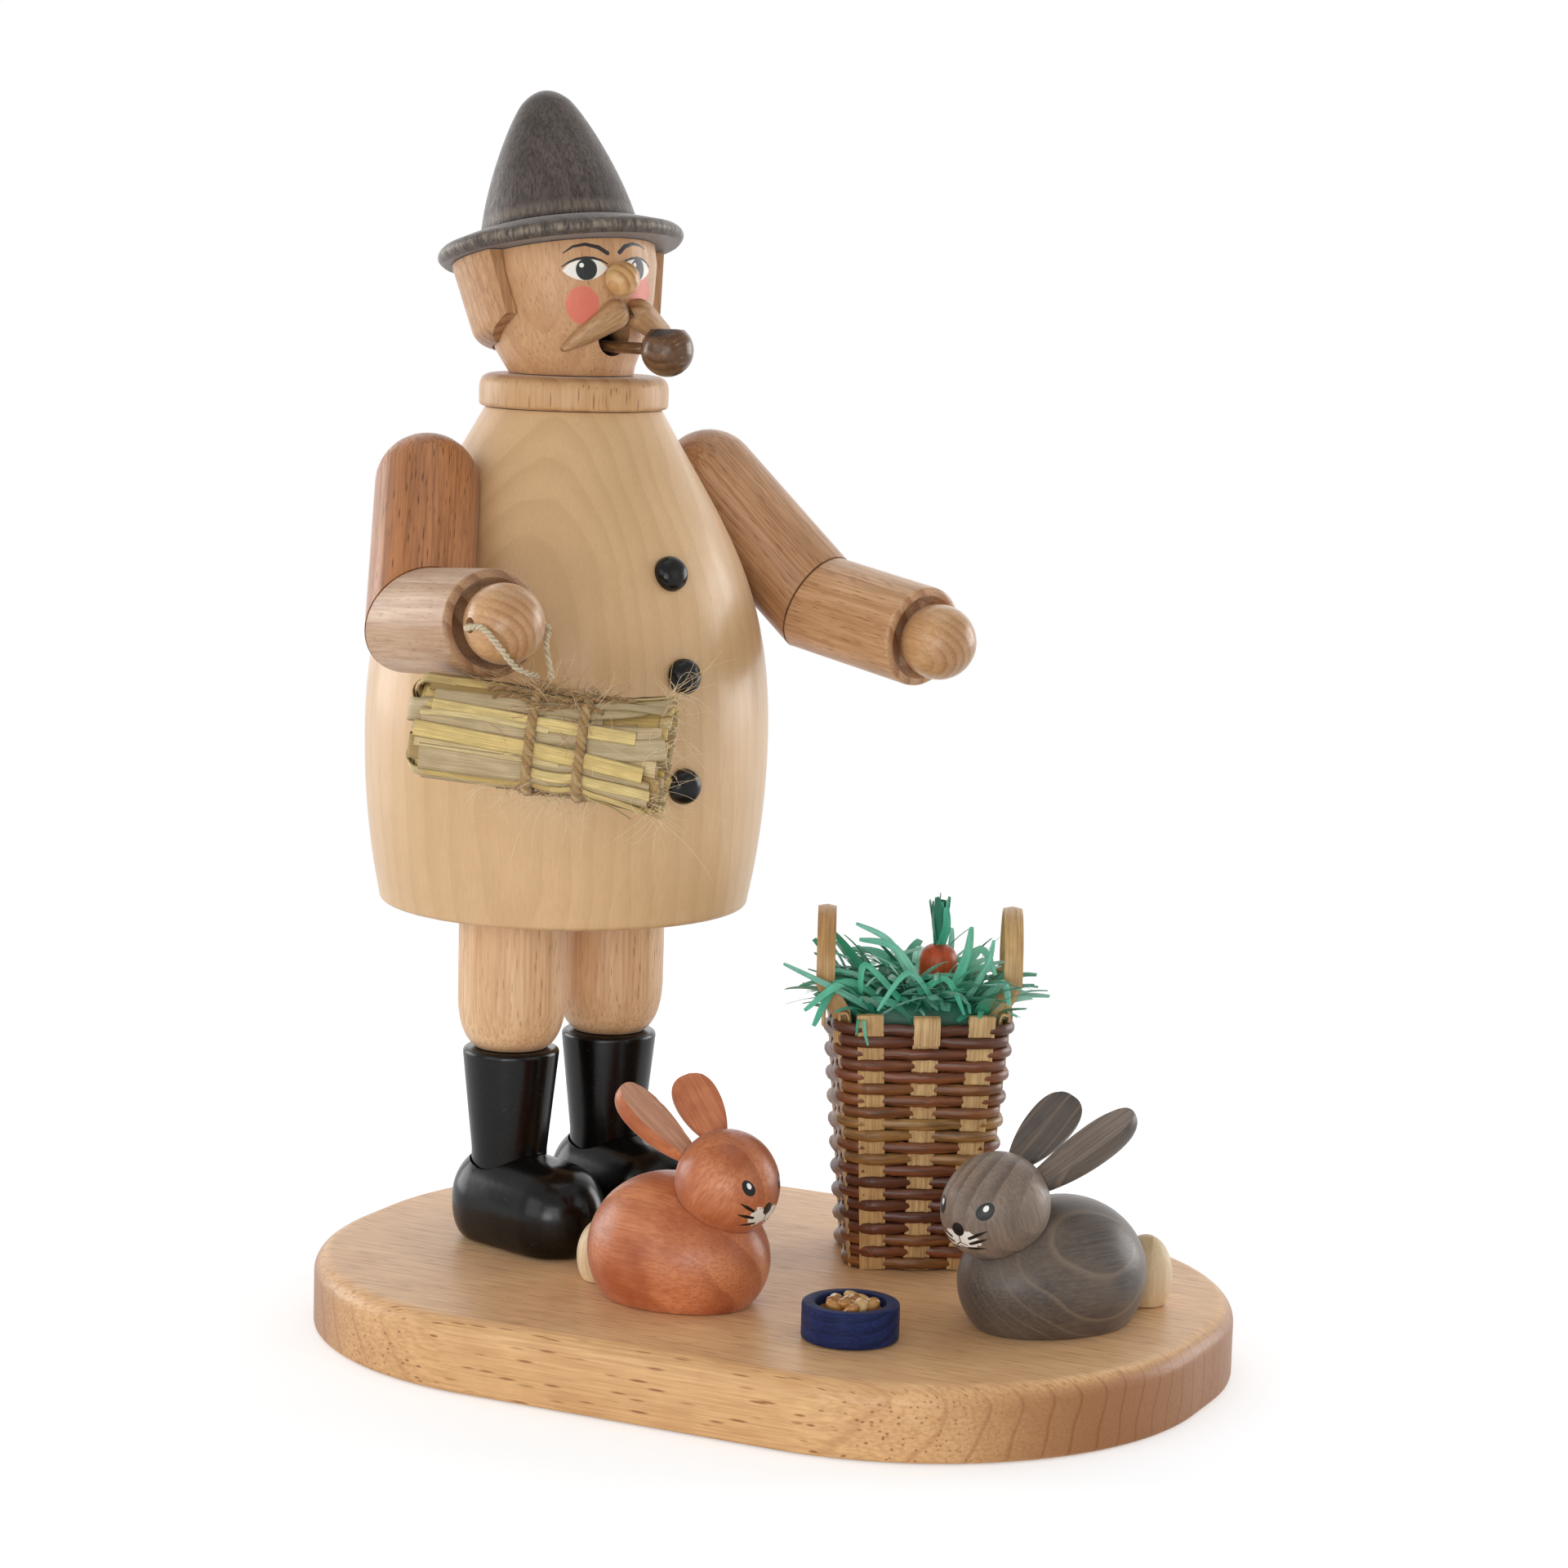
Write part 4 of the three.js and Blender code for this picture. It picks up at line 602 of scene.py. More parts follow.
class Tree:
    """Adds and joins nodes in one node tree."""

    def __init__(self, tree: NodeTree) -> None:
        """Works on a tree."""
        self.tree = tree

    def add(self, kind: str, inputs: dict | None = None, **settings: object) -> bpy.types.Node:
        """Adds a node.

        Args:
            kind: Node type without the ShaderNode prefix.
            inputs: Values or sockets by input name or index.
            settings: Node properties.

        Returns:
            The node.
        """
        node = self.tree.nodes.new("ShaderNode" + kind)
        for key, value in settings.items():
            setattr(node, key, value)
        for key, value in (inputs or {}).items():
            self.feed(node.inputs[key], value)
        return node

    def feed(self, socket: Socket, value: object) -> None:
        """Joins a socket to an input or sets the input's value.

        Args:
            socket: Input to feed.
            value: Socket or plain value.
        """
        if isinstance(value, bpy.types.NodeSocket):
            self.tree.links.new(value, socket)
        else:
            socket.default_value = value

    def math(self, operation: str, a: object, b: object = 0.0, clamp: bool = False) -> Socket:
        """Result of one sum."""
        return self.add("Math", {0: a, 1: b}, operation=operation, use_clamp=clamp).outputs[0]

    def times(self, a: object, b: object) -> Socket:
        """Product of two values."""
        return self.math("MULTIPLY", a, b)

    def vector(self, operation: str, a: object, b: object = (0.0, 0.0, 0.0)) -> Socket:
        """Result of one vector sum."""
        node = self.add("VectorMath", {0: a, 1: b}, operation=operation)
        return node.outputs["Value" if operation in {"LENGTH", "DOT_PRODUCT"} else "Vector"]

    def split(self, vector: Socket) -> tuple[Socket, Socket, Socket]:
        """The three parts of a vector."""
        node = self.add("SeparateXYZ", {0: vector})
        return node.outputs[0], node.outputs[1], node.outputs[2]

    def join(self, x: object, y: object, z: object = 0.0) -> Socket:
        """Vector from three parts."""
        return self.add("CombineXYZ", {0: x, 1: y, 2: z}).outputs[0]

    def step(self, value: Socket, low: object, high: object, to: Pair = (0.0, 1.0)) -> Socket:
        """Soft step of a value between two limits."""
        inputs = {"Value": value, "From Min": low, "From Max": high, "To Min": to[0], "To Max": to[1]}
        return self.add("MapRange", inputs, interpolation_type="SMOOTHSTEP").outputs[0]

    def noise(self, vector: Socket, scale: float, detail: float = 2.0, roughness: float = 0.5) -> Socket:
        """Cloudy value at a scale."""
        inputs = {"Vector": vector, "Scale": scale, "Detail": detail, "Roughness": roughness}
        return self.add("TexNoise", inputs).outputs[0]

    def ramp(self, factor: Socket, stops: Sequence[tuple[float, Colour]]) -> Socket:
        """Colour from a row of stops.

        Args:
            factor: Place in the row.
            stops: Places and colours.

        Returns:
            Colour socket.
        """
        node = self.add("ValToRGB", {0: factor})
        elements = node.color_ramp.elements
        for i, (where, colour) in enumerate(stops):
            element = elements[i] if i < 2 else elements.new(where)
            element.position = where
            element.color = colour
        return node.outputs[0]

    def mix(self, factor: object, a: object, b: object, mode: str = "MIX") -> Socket:
        """Blend of two colours."""
        node = self.add("Mix", {0: factor, 6: a, 7: b}, data_type="RGBA", blend_type=mode)
        return node.outputs[2]

    def attribute(self, name: str) -> Socket:
        """Value of a mesh attribute."""
        return self.add("Attribute", attribute_name=name).outputs["Fac"]

    def group(self, tree: NodeTree, inputs: dict) -> bpy.types.Node:
        """Places a shared group with its own values.

        Args:
            tree: Group to place.
            inputs: Values or sockets by input name.

        Returns:
            The node.
        """
        node = self.add("Group", node_tree=tree)
        for key, value in inputs.items():
            self.feed(node.inputs[key], value)
        return node


class Group(Tree):
    """Shared node group with named inputs and outputs."""

    KINDS = {float: "NodeSocketFloat", tuple: "NodeSocketVector"}

    def __init__(self, name: str, inputs: dict[str, object], outputs: Sequence[str]) -> None:
        """Makes the group.

        Args:
            name: Name of the group.
            inputs: Starting value for each input, a number or a vector.
            outputs: Names of the values that it puts out.
        """
        super().__init__(bpy.data.node_groups.new(name, "ShaderNodeTree"))
        for label, value in inputs.items():
            kind = self.KINDS[type(value)]
            socket = self.tree.interface.new_socket(label, in_out="INPUT", socket_type=kind)
            socket.default_value = value
        for label in outputs:
            self.tree.interface.new_socket(label, in_out="OUTPUT", socket_type="NodeSocketFloat")
        self.given = self.tree.nodes.new("NodeGroupInput").outputs
        self.made = self.tree.nodes.new("NodeGroupOutput").inputs


def wood_figure() -> NodeTree:
    """Growth rings, fibre and ray flecks of wood with its grain along Z, in millimetres.

    Returns:
        The group.
    """
    inputs = {"Vector": (0.0, 0.0, 0.0), "Ring Pitch": 4.0, "Ring Warp": 1.0, "Ring Edge": 0.25,
              "Fleck Size": 0.7}
    group = Group("wood_figure", inputs, ("Rings", "Fibre", "Fleck"))
    vector = group.given["Vector"]
    x, y, _ = group.split(vector)
    slow, fine, dashes = (0.05, 0.05, 0.016), (2.4, 2.4, 0.075), (1.0, 2.0, 0.13)
    ring_end = 0.93
    wander = group.noise(group.vector("MULTIPLY", vector, slow), 1.0, 2.0)
    shift = group.times(group.math("SUBTRACT", wander, 0.5), group.given["Ring Warp"])
    radius = group.math("ADD", group.vector("LENGTH", group.join(x, y)), shift)
    share = group.math("FRACT", group.math("DIVIDE", radius, group.given["Ring Pitch"]))
    late = group.step(share, group.given["Ring Edge"], ring_end)
    early = group.step(share, ring_end, 1.0, FADE)
    group.feed(group.made["Rings"], group.times(late, early))
    fibre = group.noise(group.vector("MULTIPLY", vector, fine), 1.0, 4.0, 0.62)
    group.feed(group.made["Fibre"], group.step(fibre, 0.36, 0.68))
    scale = group.math("DIVIDE", 1.0, group.given["Fleck Size"])
    cells = group.add("TexVoronoi", {"Vector": group.vector("MULTIPLY", vector, dashes), "Scale": scale})
    dash = group.step(cells.outputs["Distance"], 0.12, 0.34, FADE)
    kept = group.step(group.add("SeparateColor", {0: cells.outputs["Color"]}).outputs[0], 0.3, 0.55)
    group.feed(group.made["Fleck"], group.times(dash, kept))
    return group.tree


def stroke_mask() -> NodeTree:
    """Mask of a brush stroke between two points, with its own width at each end.

    Returns:
        The group.
    """
    start = (0.0, 0.0, 0.0)
    inputs = {"Point": start, "From": start, "To": start, "From Width": 0.1, "To Width": 0.1, "Edge": 0.03}
    group = Group("stroke_mask", inputs, ("Mask",))
    given = group.given
    reach = group.vector("SUBTRACT", given["Point"], given["From"])
    length = group.vector("SUBTRACT", given["To"], given["From"])
    square = group.vector("DOT_PRODUCT", length, length)
    share = group.math("DIVIDE", group.vector("DOT_PRODUCT", reach, length), square, clamp=True)
    nearest = group.add("VectorMath", {0: length, "Scale": share}, operation="SCALE").outputs["Vector"]
    distance = group.vector("LENGTH", group.vector("SUBTRACT", reach, nearest))
    widths = {"Value": share, "To Min": given["From Width"], "To Max": given["To Width"]}
    width = group.add("MapRange", widths).outputs[0]
    low = group.math("SUBTRACT", width, given["Edge"])
    high = group.math("ADD", width, given["Edge"])
    group.feed(group.made["Mask"], group.step(distance, low, high, FADE))
    return group.tree


def spot_mask() -> NodeTree:
    """Mask of an oval dab of paint.

    Returns:
        The group.
    """
    start = (0.0, 0.0, 0.0)
    inputs = {"Point": start, "Centre": start, "Radii": (1.0, 1.0, 1.0), "Edge": 0.05}
    group = Group("spot_mask", inputs, ("Mask",))
    given = group.given
    offset = group.vector("SUBTRACT", given["Point"], given["Centre"])
    distance = group.vector("LENGTH", group.vector("DIVIDE", offset, given["Radii"]))
    low = group.math("SUBTRACT", 1.0, given["Edge"])
    high = group.math("ADD", 1.0, given["Edge"])
    group.feed(group.made["Mask"], group.step(distance, low, high, FADE))
    return group.tree


def surface_wear() -> NodeTree:
    """Cloudy tone and fine dust specks over a surface, in millimetres.

    Returns:
        The group.
    """
    group = Group("surface_wear", {"Vector": (0.0, 0.0, 0.0)}, ("Tone", "Speck", "Ripple"))
    vector = group.given["Vector"]
    group.feed(group.made["Tone"], group.step(group.noise(vector, 0.09, 3.0, 0.55), 0.3, 0.7))
    group.feed(group.made["Speck"], group.step(group.noise(vector, 2.2, 3.0, 0.7), 0.62, 0.74))
    group.feed(group.made["Ripple"], group.noise(vector, 0.5, 3.0))
    return group.tree


def strand_fibre() -> NodeTree:
    """Fine lines along a strand, from its own length and width.

    Returns:
        The group.
    """
    inputs = {"Along": 0.0, "Across": 0.0, "Tint": 0.0, "Lines": 6.0}
    group = Group("strand_fibre", inputs, ("Line", "Patch"))
    given = group.given
    seed = group.times(given["Tint"], 91.0)
    side = group.times(given["Across"], given["Lines"])
    slow = group.times(given["Along"], 0.12)
    line = group.noise(group.join(side, slow, seed), 1.0, 3.0, 0.6)
    group.feed(group.made["Line"], group.step(line, 0.32, 0.7))
    patch = group.noise(group.join(given["Across"], group.times(given["Along"], 0.3), seed), 1.0, 2.0)
    group.feed(group.made["Patch"], group.step(patch, 0.35, 0.68))
    return group.tree


class Palette:
    """Shared node groups, built once."""

    wood = wood_figure()
    stroke = stroke_mask()
    spot = spot_mask()
    wear = surface_wear()
    fibre = strand_fibre()


class Finish(Tree):
    """One material with its surface shader."""

    def __init__(self, name: str) -> None:
        """Makes an empty finish.

        Args:
            name: Name of the material.
        """
        self.material = bpy.data.materials.new(name)
        self.material.use_nodes = True
        super().__init__(self.material.node_tree)
        self.shader = self.tree.nodes["Principled BSDF"]

    def local(self, where: Matrix) -> Socket:
        """Place on the piece in millimetres, seen from a frame.

        Args:
            where: Frame to see it from.

        Returns:
            Vector socket.
        """
        coordinates = self.add("TexCoord").outputs["Object"]
        inputs = {"Vector": coordinates, "Scale": (MM, MM, MM)}
        inputs |= {"Location": where.to_translation(), "Rotation": where.to_euler("XYZ")}
        return self.add("Mapping", inputs, vector_type="TEXTURE").outputs[0]

    def set(self, **values: object) -> None:
        """Sets or feeds shader inputs, with spaces written as underscores."""
        for key, value in values.items():
            self.feed(self.shader.inputs[key.replace("_", " ")], value)

    def tinted(self, colour: Socket, code: str, mask: Socket, depth: float) -> Socket:
        """Colour with another one laid over it by a mask.

        Args:
            colour: Colour below.
            code: Colour above.
            mask: Where it goes.
            depth: How well it covers, 0 to 1.

        Returns:
            Colour socket.
        """
        return self.mix(self.times(mask, depth), colour, linear(code))

    def roughened(self, value: Socket, plain: float) -> Socket:
        """Roughness that rises a little with a value."""
        return self.add("Math", {0: value, 1: ROUGH_RISE, 2: plain}, operation="MULTIPLY_ADD").outputs[0]

    def relief(self, height: Socket, strength: float, depth: float) -> None:
        """Raises the surface by a height in millimetres."""
        bump = self.add("Bump", {"Height": height, "Strength": strength, "Distance": depth * MM})
        self.set(Normal=bump.outputs[0])


class Painter:
    """Lays paint over a finish, on a flat map of the surface in millimetres."""

    def __init__(self, finish: Finish, point: Socket, colour: Socket) -> None:
        """Starts from the bare colour.

        Args:
            finish: Material to paint.
            point: Flat map of the surface.
            colour: Bare colour.
        """
        self.finish = finish
        self.point = point
        self.colour = colour

    def ragged(self, size: float, scale: float) -> Socket:
        """The map with its points moved about, for a brushed edge.

        Args:
            size: How far points move.
            scale: How close the moves lie.

        Returns:
            Vector socket.
        """
        inputs = {"Vector": self.point, "Scale": scale, "Detail": 2.0}
        cloud = self.finish.add("TexNoise", inputs).outputs["Color"]
        moved = self.finish.vector("SUBTRACT", cloud, (0.5, 0.5, 0.5))
        shift = self.finish.vector("MULTIPLY", moved, (size, size, 0.0))
        return self.finish.vector("ADD", self.point, shift)

    def spot(self, centre: tuple, radii: tuple, edge: float = 0.06, point: Socket | None = None) -> Socket:
        """Mask of an oval dab."""
        inputs = {"Point": point or self.point, "Edge": edge}
        inputs |= {"Centre": (*centre, 0.0), "Radii": (*radii, 1.0)}
        return self.finish.group(Palette.spot, inputs).outputs[0]

    def stroke(self, points: Sequence[Triple]) -> Socket:
        """Mask of a stroke through points, each with its half width.

        Args:
            points: Place across, height and half width of each.

        Returns:
            Mask socket.
        """
        mask = None
        for (ax, ay, aw), (bx, by, bw) in zip(points, points[1:]):
            inputs = {"Point": self.point, "From": (ax, ay, 0.0), "To": (bx, by, 0.0)}
            inputs |= {"From Width": aw, "To Width": bw}
            part = self.finish.group(Palette.stroke, inputs).outputs[0]
            mask = part if mask is None else self.finish.math("MAXIMUM", mask, part)
        return mask

    def cover(self, mask: Socket, code: str, strength: float = 1.0) -> None:
        """Lays a colour where the mask is.

        Args:
            mask: Where the paint goes.
            code: Colour of the paint.
            strength: How well it covers, 0 to 1.
        """
        self.colour = self.finish.tinted(self.colour, code, mask, strength)


@dataclass(frozen=True)
class Wood:
    """Lacquered or stained wood with growth rings, fibre and ray flecks."""

    name: str
    light: str
    dark: str
    fleck: str
    ring_pitch: float = 3.0
    ring_warp: float = 4.0
    ring_depth: float = 0.3
    fibre_depth: float = 0.7
    fleck_depth: float = 0.6
    tone_depth: float = 0.3
    roughness: float = 0.4
    coat: float = 0.12
    relief: float = 0.12
    pith: Pair = (30.0, 12.0)
    fleck_size: float = 0.5
    end_depth: float = 0.3
    specular: float = 0.4
    sheen: float = 0.16
    pore_depth: float = 0.3
    ring_edge: float = 0.25

    END_FACING = (0.35, 0.9)
    FIBRE_RELIEF = 0.4
    RELIEF_DEPTH = 0.2
    COAT_ROUGHNESS = 0.18
    SHEEN_ROUGHNESS = 0.35

    def material(self, label: str, grain: Matrix,
                 paint: Callable[[Finish, Socket, Socket], Painter] | None = None) -> Material:
        """Makes the finish for one piece.

        Args:
            label: Name of the piece.
            grain: Frame with Z along the grain.
            paint: Lays paint over the bare wood, from the frame's own place and the wood's colour.

        Returns:
            The material.
        """
        finish = Finish(f"{self.name}_{label}")
        local = finish.local(grain)
        moved = finish.vector("ADD", local, (*self.pith, 0.0))
        inputs = {"Vector": moved, "Ring Pitch": self.ring_pitch, "Ring Warp": self.ring_warp,
                  "Ring Edge": self.ring_edge, "Fleck Size": self.fleck_size}
        figure = finish.group(Palette.wood, inputs).outputs
        wear = finish.group(Palette.wear, {"Vector": local}).outputs
        rings = finish.times(figure["Rings"], self.ring_depth)
        colour = finish.mix(rings, linear(self.light), linear(self.dark))
        colour = finish.tinted(colour, self.dark, figure["Fibre"], self.fibre_depth)
        colour = finish.tinted(colour, self.dark, wear["Tone"], self.tone_depth)
        normal = finish.add("TexCoord").outputs["Normal"]
        facing = finish.vector("DOT_PRODUCT", normal, tuple(grain.to_3x3().col[2]))
        end = finish.step(finish.math("ABSOLUTE", facing), *self.END_FACING)
        fleck = finish.times(figure["Fleck"], finish.math("SUBTRACT", 1.0, end))
        colour = finish.tinted(colour, self.fleck, fleck, self.fleck_depth)
        colour = finish.tinted(colour, self.fleck, end, self.end_depth)
        colour = finish.mix(finish.times(end, rings), colour, linear(self.dark), "MULTIPLY")
        colour = finish.tinted(colour, self.dark, wear["Speck"], self.pore_depth)
        if paint is not None:
            colour = paint(finish, local, colour).colour
        height = finish.math("SUBTRACT", finish.times(figure["Fibre"], self.FIBRE_RELIEF), fleck)
        finish.relief(height, self.relief, self.RELIEF_DEPTH)
        rough = finish.roughened(figure["Fibre"], self.roughness)
        finish.set(Base_Color=colour, Roughness=rough, Specular_IOR_Level=self.specular)
        finish.set(Coat_Weight=self.coat, Coat_Roughness=self.COAT_ROUGHNESS)
        finish.set(Sheen_Weight=self.sheen, Sheen_Roughness=self.SHEEN_ROUGHNESS)
        return finish.material


@dataclass(frozen=True)
class Lacquer:
    """Solid lacquer with a faint ripple and a little dust."""

    name: str
    colour: str
    dust: str
    roughness: float = 0.18
    specular: float = 0.34
    dust_depth: float = 0.3
    ripple: float = 0.08
    ripple_depth: float = 0.25

    def material(self, label: str) -> Material:
        """Makes the finish for one piece.

        Args:
            label: Name of the piece.

        Returns:
            The material.
        """
        finish = Finish(f"{self.name}_{label}")
        local = finish.local(Matrix())
        wear = finish.group(Palette.wear, {"Vector": local}).outputs
        dusty = finish.times(wear["Speck"], self.dust_depth)
        colour = finish.mix(dusty, linear(self.colour), linear(self.dust))
        finish.relief(wear["Ripple"], self.ripple, self.ripple_depth)
        rough = finish.roughened(wear["Tone"], self.roughness)
        finish.set(Base_Color=colour, Roughness=rough, Specular_IOR_Level=self.specular)
        return finish.material


@dataclass(frozen=True)
class Fibre:
    """Straw, raffia, willow, cane or yarn: fine lines along each strand, with a shade for each, and painted
    shade along its edges where set.
    """

    name: str
    shades: tuple[str, ...]
    line: str
    lines: float = 3.0
    line_depth: float = 0.5
    roughness: float = 0.8
    sheen: float = 0.0
    see_through: float = 0.0
    # Painted shade at the strand's edges.
    edge_depth: float = 0.0

    EDGE_FROM = 0.7
    RELIEF = 0.4
    RELIEF_DEPTH = 0.08

    def material(self) -> Material:
        """Makes the finish for a mesh of strands.

        Returns:
            The material.
        """
        finish = Finish(self.name)
        tint = finish.attribute("tint")
        across = finish.attribute("across")
        inputs = {"Along": finish.attribute("along"), "Across": across, "Tint": tint, "Lines": self.lines}
        fibre = finish.group(Palette.fibre, inputs).outputs
        last = len(self.shades) - 1
        base = finish.ramp(tint, [(i / last, linear(code)) for i, code in enumerate(self.shades)])
        colour = finish.tinted(base, self.line, fibre["Line"], self.line_depth)
        colour = finish.tinted(colour, self.line, fibre["Patch"], self.line_depth / 2)
        # Painted shade along each strand's edges, for the shadow between neighbouring blades.
        edge = finish.step(finish.math("ABSOLUTE", across), self.EDGE_FROM, 1.0, (0.0, self.edge_depth))
        colour = finish.mix(edge, colour, linear(self.line))
        finish.relief(fibre["Line"], self.RELIEF, self.RELIEF_DEPTH)
        finish.set(Base_Color=colour, Roughness=self.roughness, Sheen_Weight=self.sheen)
        finish.set(Subsurface_Weight=self.see_through)
        if self.see_through:
            finish.set(Subsurface_Scale=MM)
        return finish.material


@dataclass(frozen=True)
class Steel:
    """Pressed sheet steel with turning marks."""

    name: str = "pressed_steel"
    colour: str = "#b4b2ae"
    tarnish: str = "#6d655c"
    tarnish_depth: float = 0.6
    mark_scale: float = 6.0
    relief: float = 0.15
    relief_depth: float = 0.05
    roughness: Pair = (0.28, 0.45)

    def material(self, label: str, axis: Matrix) -> Material:
        """Makes the finish for one piece turned about an axis.

        Args:
            label: Name of the piece.
            axis: Frame with Z along the axis.

        Returns:
            The material.
        """
        finish = Finish(f"{self.name}_{label}")
        local = finish.local(axis)
        wear = finish.group(Palette.wear, {"Vector": local}).outputs
        x, y, _ = finish.split(local)
        rings = finish.noise(finish.join(finish.vector("LENGTH", finish.join(x, y)), 0.0), self.mark_scale)
        tarnished = finish.times(wear["Tone"], self.tarnish_depth)
        colour = finish.mix(tarnished, linear(self.colour), linear(self.tarnish))
        finish.relief(rings, self.relief, self.relief_depth)
        finish.set(Base_Color=colour, Metallic=1.0, Roughness=finish.step(rings, 0.2, 0.8, self.roughness))
        return finish.material


class Timber:
    """The woods of this smoker."""

    plate = Wood(
        "plate_beech", light="#efc188", dark="#bb8050", fleck="#945a2c", ring_pitch=3.7, ring_warp=7.0,
        ring_depth=0.36, fibre_depth=0.5, fleck_depth=0.85, roughness=0.42, relief=0.22,
        pith=(22.0, 130.0), fleck_size=0.8, end_depth=0.85, sheen=0.12, ring_edge=0.8,
    )
    leg = Wood(
        "leg_beech", light="#eec99c", dark="#c38f60", fleck="#93603a", ring_pitch=3.5, ring_warp=3.0,
        ring_depth=0.2, fibre_depth=0.55, tone_depth=0.15, coat=0.15,
    )
    seat = Wood(
        "seat_beech", light="#dcb68b", dark="#c3946a", fleck="#9a6a45", ring_pitch=4.0, fibre_depth=0.4,
        fleck_depth=0.5, tone_depth=0.2, roughness=0.6, coat=0.0, pith=(34.0, 12.0), fleck_size=0.7,
    )
    coat = Wood(
        "coat_linden", light="#dfb888", dark="#bc9160", fleck="#b48756", ring_pitch=3.6, ring_warp=10.0,
        ring_depth=0.19, fibre_depth=0.14, fleck_depth=0.15, tone_depth=0.2, coat=0.25, relief=0.03,
        pith=(38.0, 30.0), fleck_size=0.6, end_depth=0.1, specular=0.5,
    )
    collar = Wood(
        "collar_beech", light="#d0a676", dark="#b9864f", fleck="#8f5c34", ring_pitch=4.0, fibre_depth=0.35,
        fleck_depth=0.8, tone_depth=0.25, roughness=0.42, relief=0.15, fleck_size=0.7,
    )
    head = Wood(
        "head_beech", light="#d8aa7c", dark="#b47f50", fleck="#8a5936", ring_pitch=4.0, ring_warp=6.0,
        fibre_depth=0.4, tone_depth=0.35, coat=0.15, relief=0.15, pith=(24.0, 16.0),
    )
    hair = Wood(
        "hair_beech", light="#d0a172", dark="#a37146", fleck="#6f4526", ring_pitch=2.4, ring_warp=3.0,
        ring_depth=0.4, roughness=0.45, coat=0.1, relief=0.2, pith=(20.0, 9.0),
    )
    nose = Wood(
        "nose_wood", light="#e4b880", dark="#c08c50", fleck="#a87636", ring_pitch=1.3, ring_warp=1.0,
        ring_depth=0.55, fibre_depth=0.3, fleck_depth=0.2, tone_depth=0.2, roughness=0.28, coat=0.25,
        pith=(34.0, 12.0), fleck_size=0.7,
    )
    moustache = Wood(
        "moustache_wood", light="#cda274", dark="#9c7047", fleck="#7a5230", ring_pitch=1.6, ring_warp=2.0,
        ring_depth=0.5, fleck_depth=0.4, relief=0.2, pith=(9.0, 3.0), fleck_size=0.4,
    )
    pipe = Wood(
        "pipe_wood", light="#855d38", dark="#452a19", fleck="#b08658", ring_pitch=1.6, ring_warp=5.0,
        ring_depth=0.35, fibre_depth=0.5, tone_depth=0.6, roughness=0.22, coat=0.3, relief=0.1,
        pith=(9.0, 5.0), fleck_size=0.55, end_depth=0.1, specular=0.3, sheen=0.04,
    )
    # Lit and shaded copies of one beech for the upper arms: the right one painted darker, the left one
    # lighter, for how light falls on each.
    arm_right = Wood(
        "arm_beech", light="#c6834f", dark="#8a542d", fleck="#5c2f18", fibre_depth=0.75, fleck_depth=0.95,
        coat=0.15, relief=0.14, fleck_size=0.55,
    )
    arm_left = Wood(
        "pale_arm_beech", light="#d2a47b", dark="#98693f", fleck="#774526", fleck_depth=0.8, coat=0.15,
        relief=0.14, fleck_size=0.55,
    )
    # Lit and shaded copies of one beech for the forearms: the left one painted lighter, the right one darker.
    forearm = Wood(
        "forearm_beech", light="#e7bd93", dark="#b27f51", fleck="#8a5733", ring_warp=5.0, ring_depth=0.4,
        fibre_depth=0.65, fleck_depth=0.75, coat=0.15, relief=0.14, pith=(24.0, 12.0), fleck_size=0.55,
    )
    forearm_right = Wood(
        "pale_forearm_beech", light="#c8a27c", dark="#9d7049", fleck="#7f5031", ring_warp=5.0,
        ring_depth=0.4, fibre_depth=0.6, fleck_depth=0.7, coat=0.15, relief=0.2, pith=(24.0, 12.0),
        fleck_size=0.45,
    )
    hand = Wood(
        "hand_wood", light="#ddaf7f", dark="#b07d4b", fleck="#80532c", ring_pitch=1.5, ring_warp=2.0,
        ring_depth=0.28, fibre_depth=0.45, fleck_depth=0.35, roughness=0.28, coat=0.25, pith=(8.0, 5.0),
        fleck_size=0.4,
    )
    tail = Wood(
        "tail_wood", light="#e6cfaa", dark="#cbac80", fleck="#b08f60", ring_pitch=2.4, ring_warp=1.0,
        ring_depth=0.35, fibre_depth=0.4, fleck_depth=0.2, tone_depth=0.2, roughness=0.5,
        pith=(34.0, 12.0), fleck_size=0.7,
    )
    carrot = Wood(
        "carrot_stain", light="#cf5520", dark="#9c3a14", fleck="#7a2f10", ring_pitch=2.0, ring_warp=1.0,
        ring_depth=0.4, fibre_depth=0.5, fleck_depth=0.3, tone_depth=0.35, pith=(34.0, 12.0),
        fleck_size=0.7,
    )


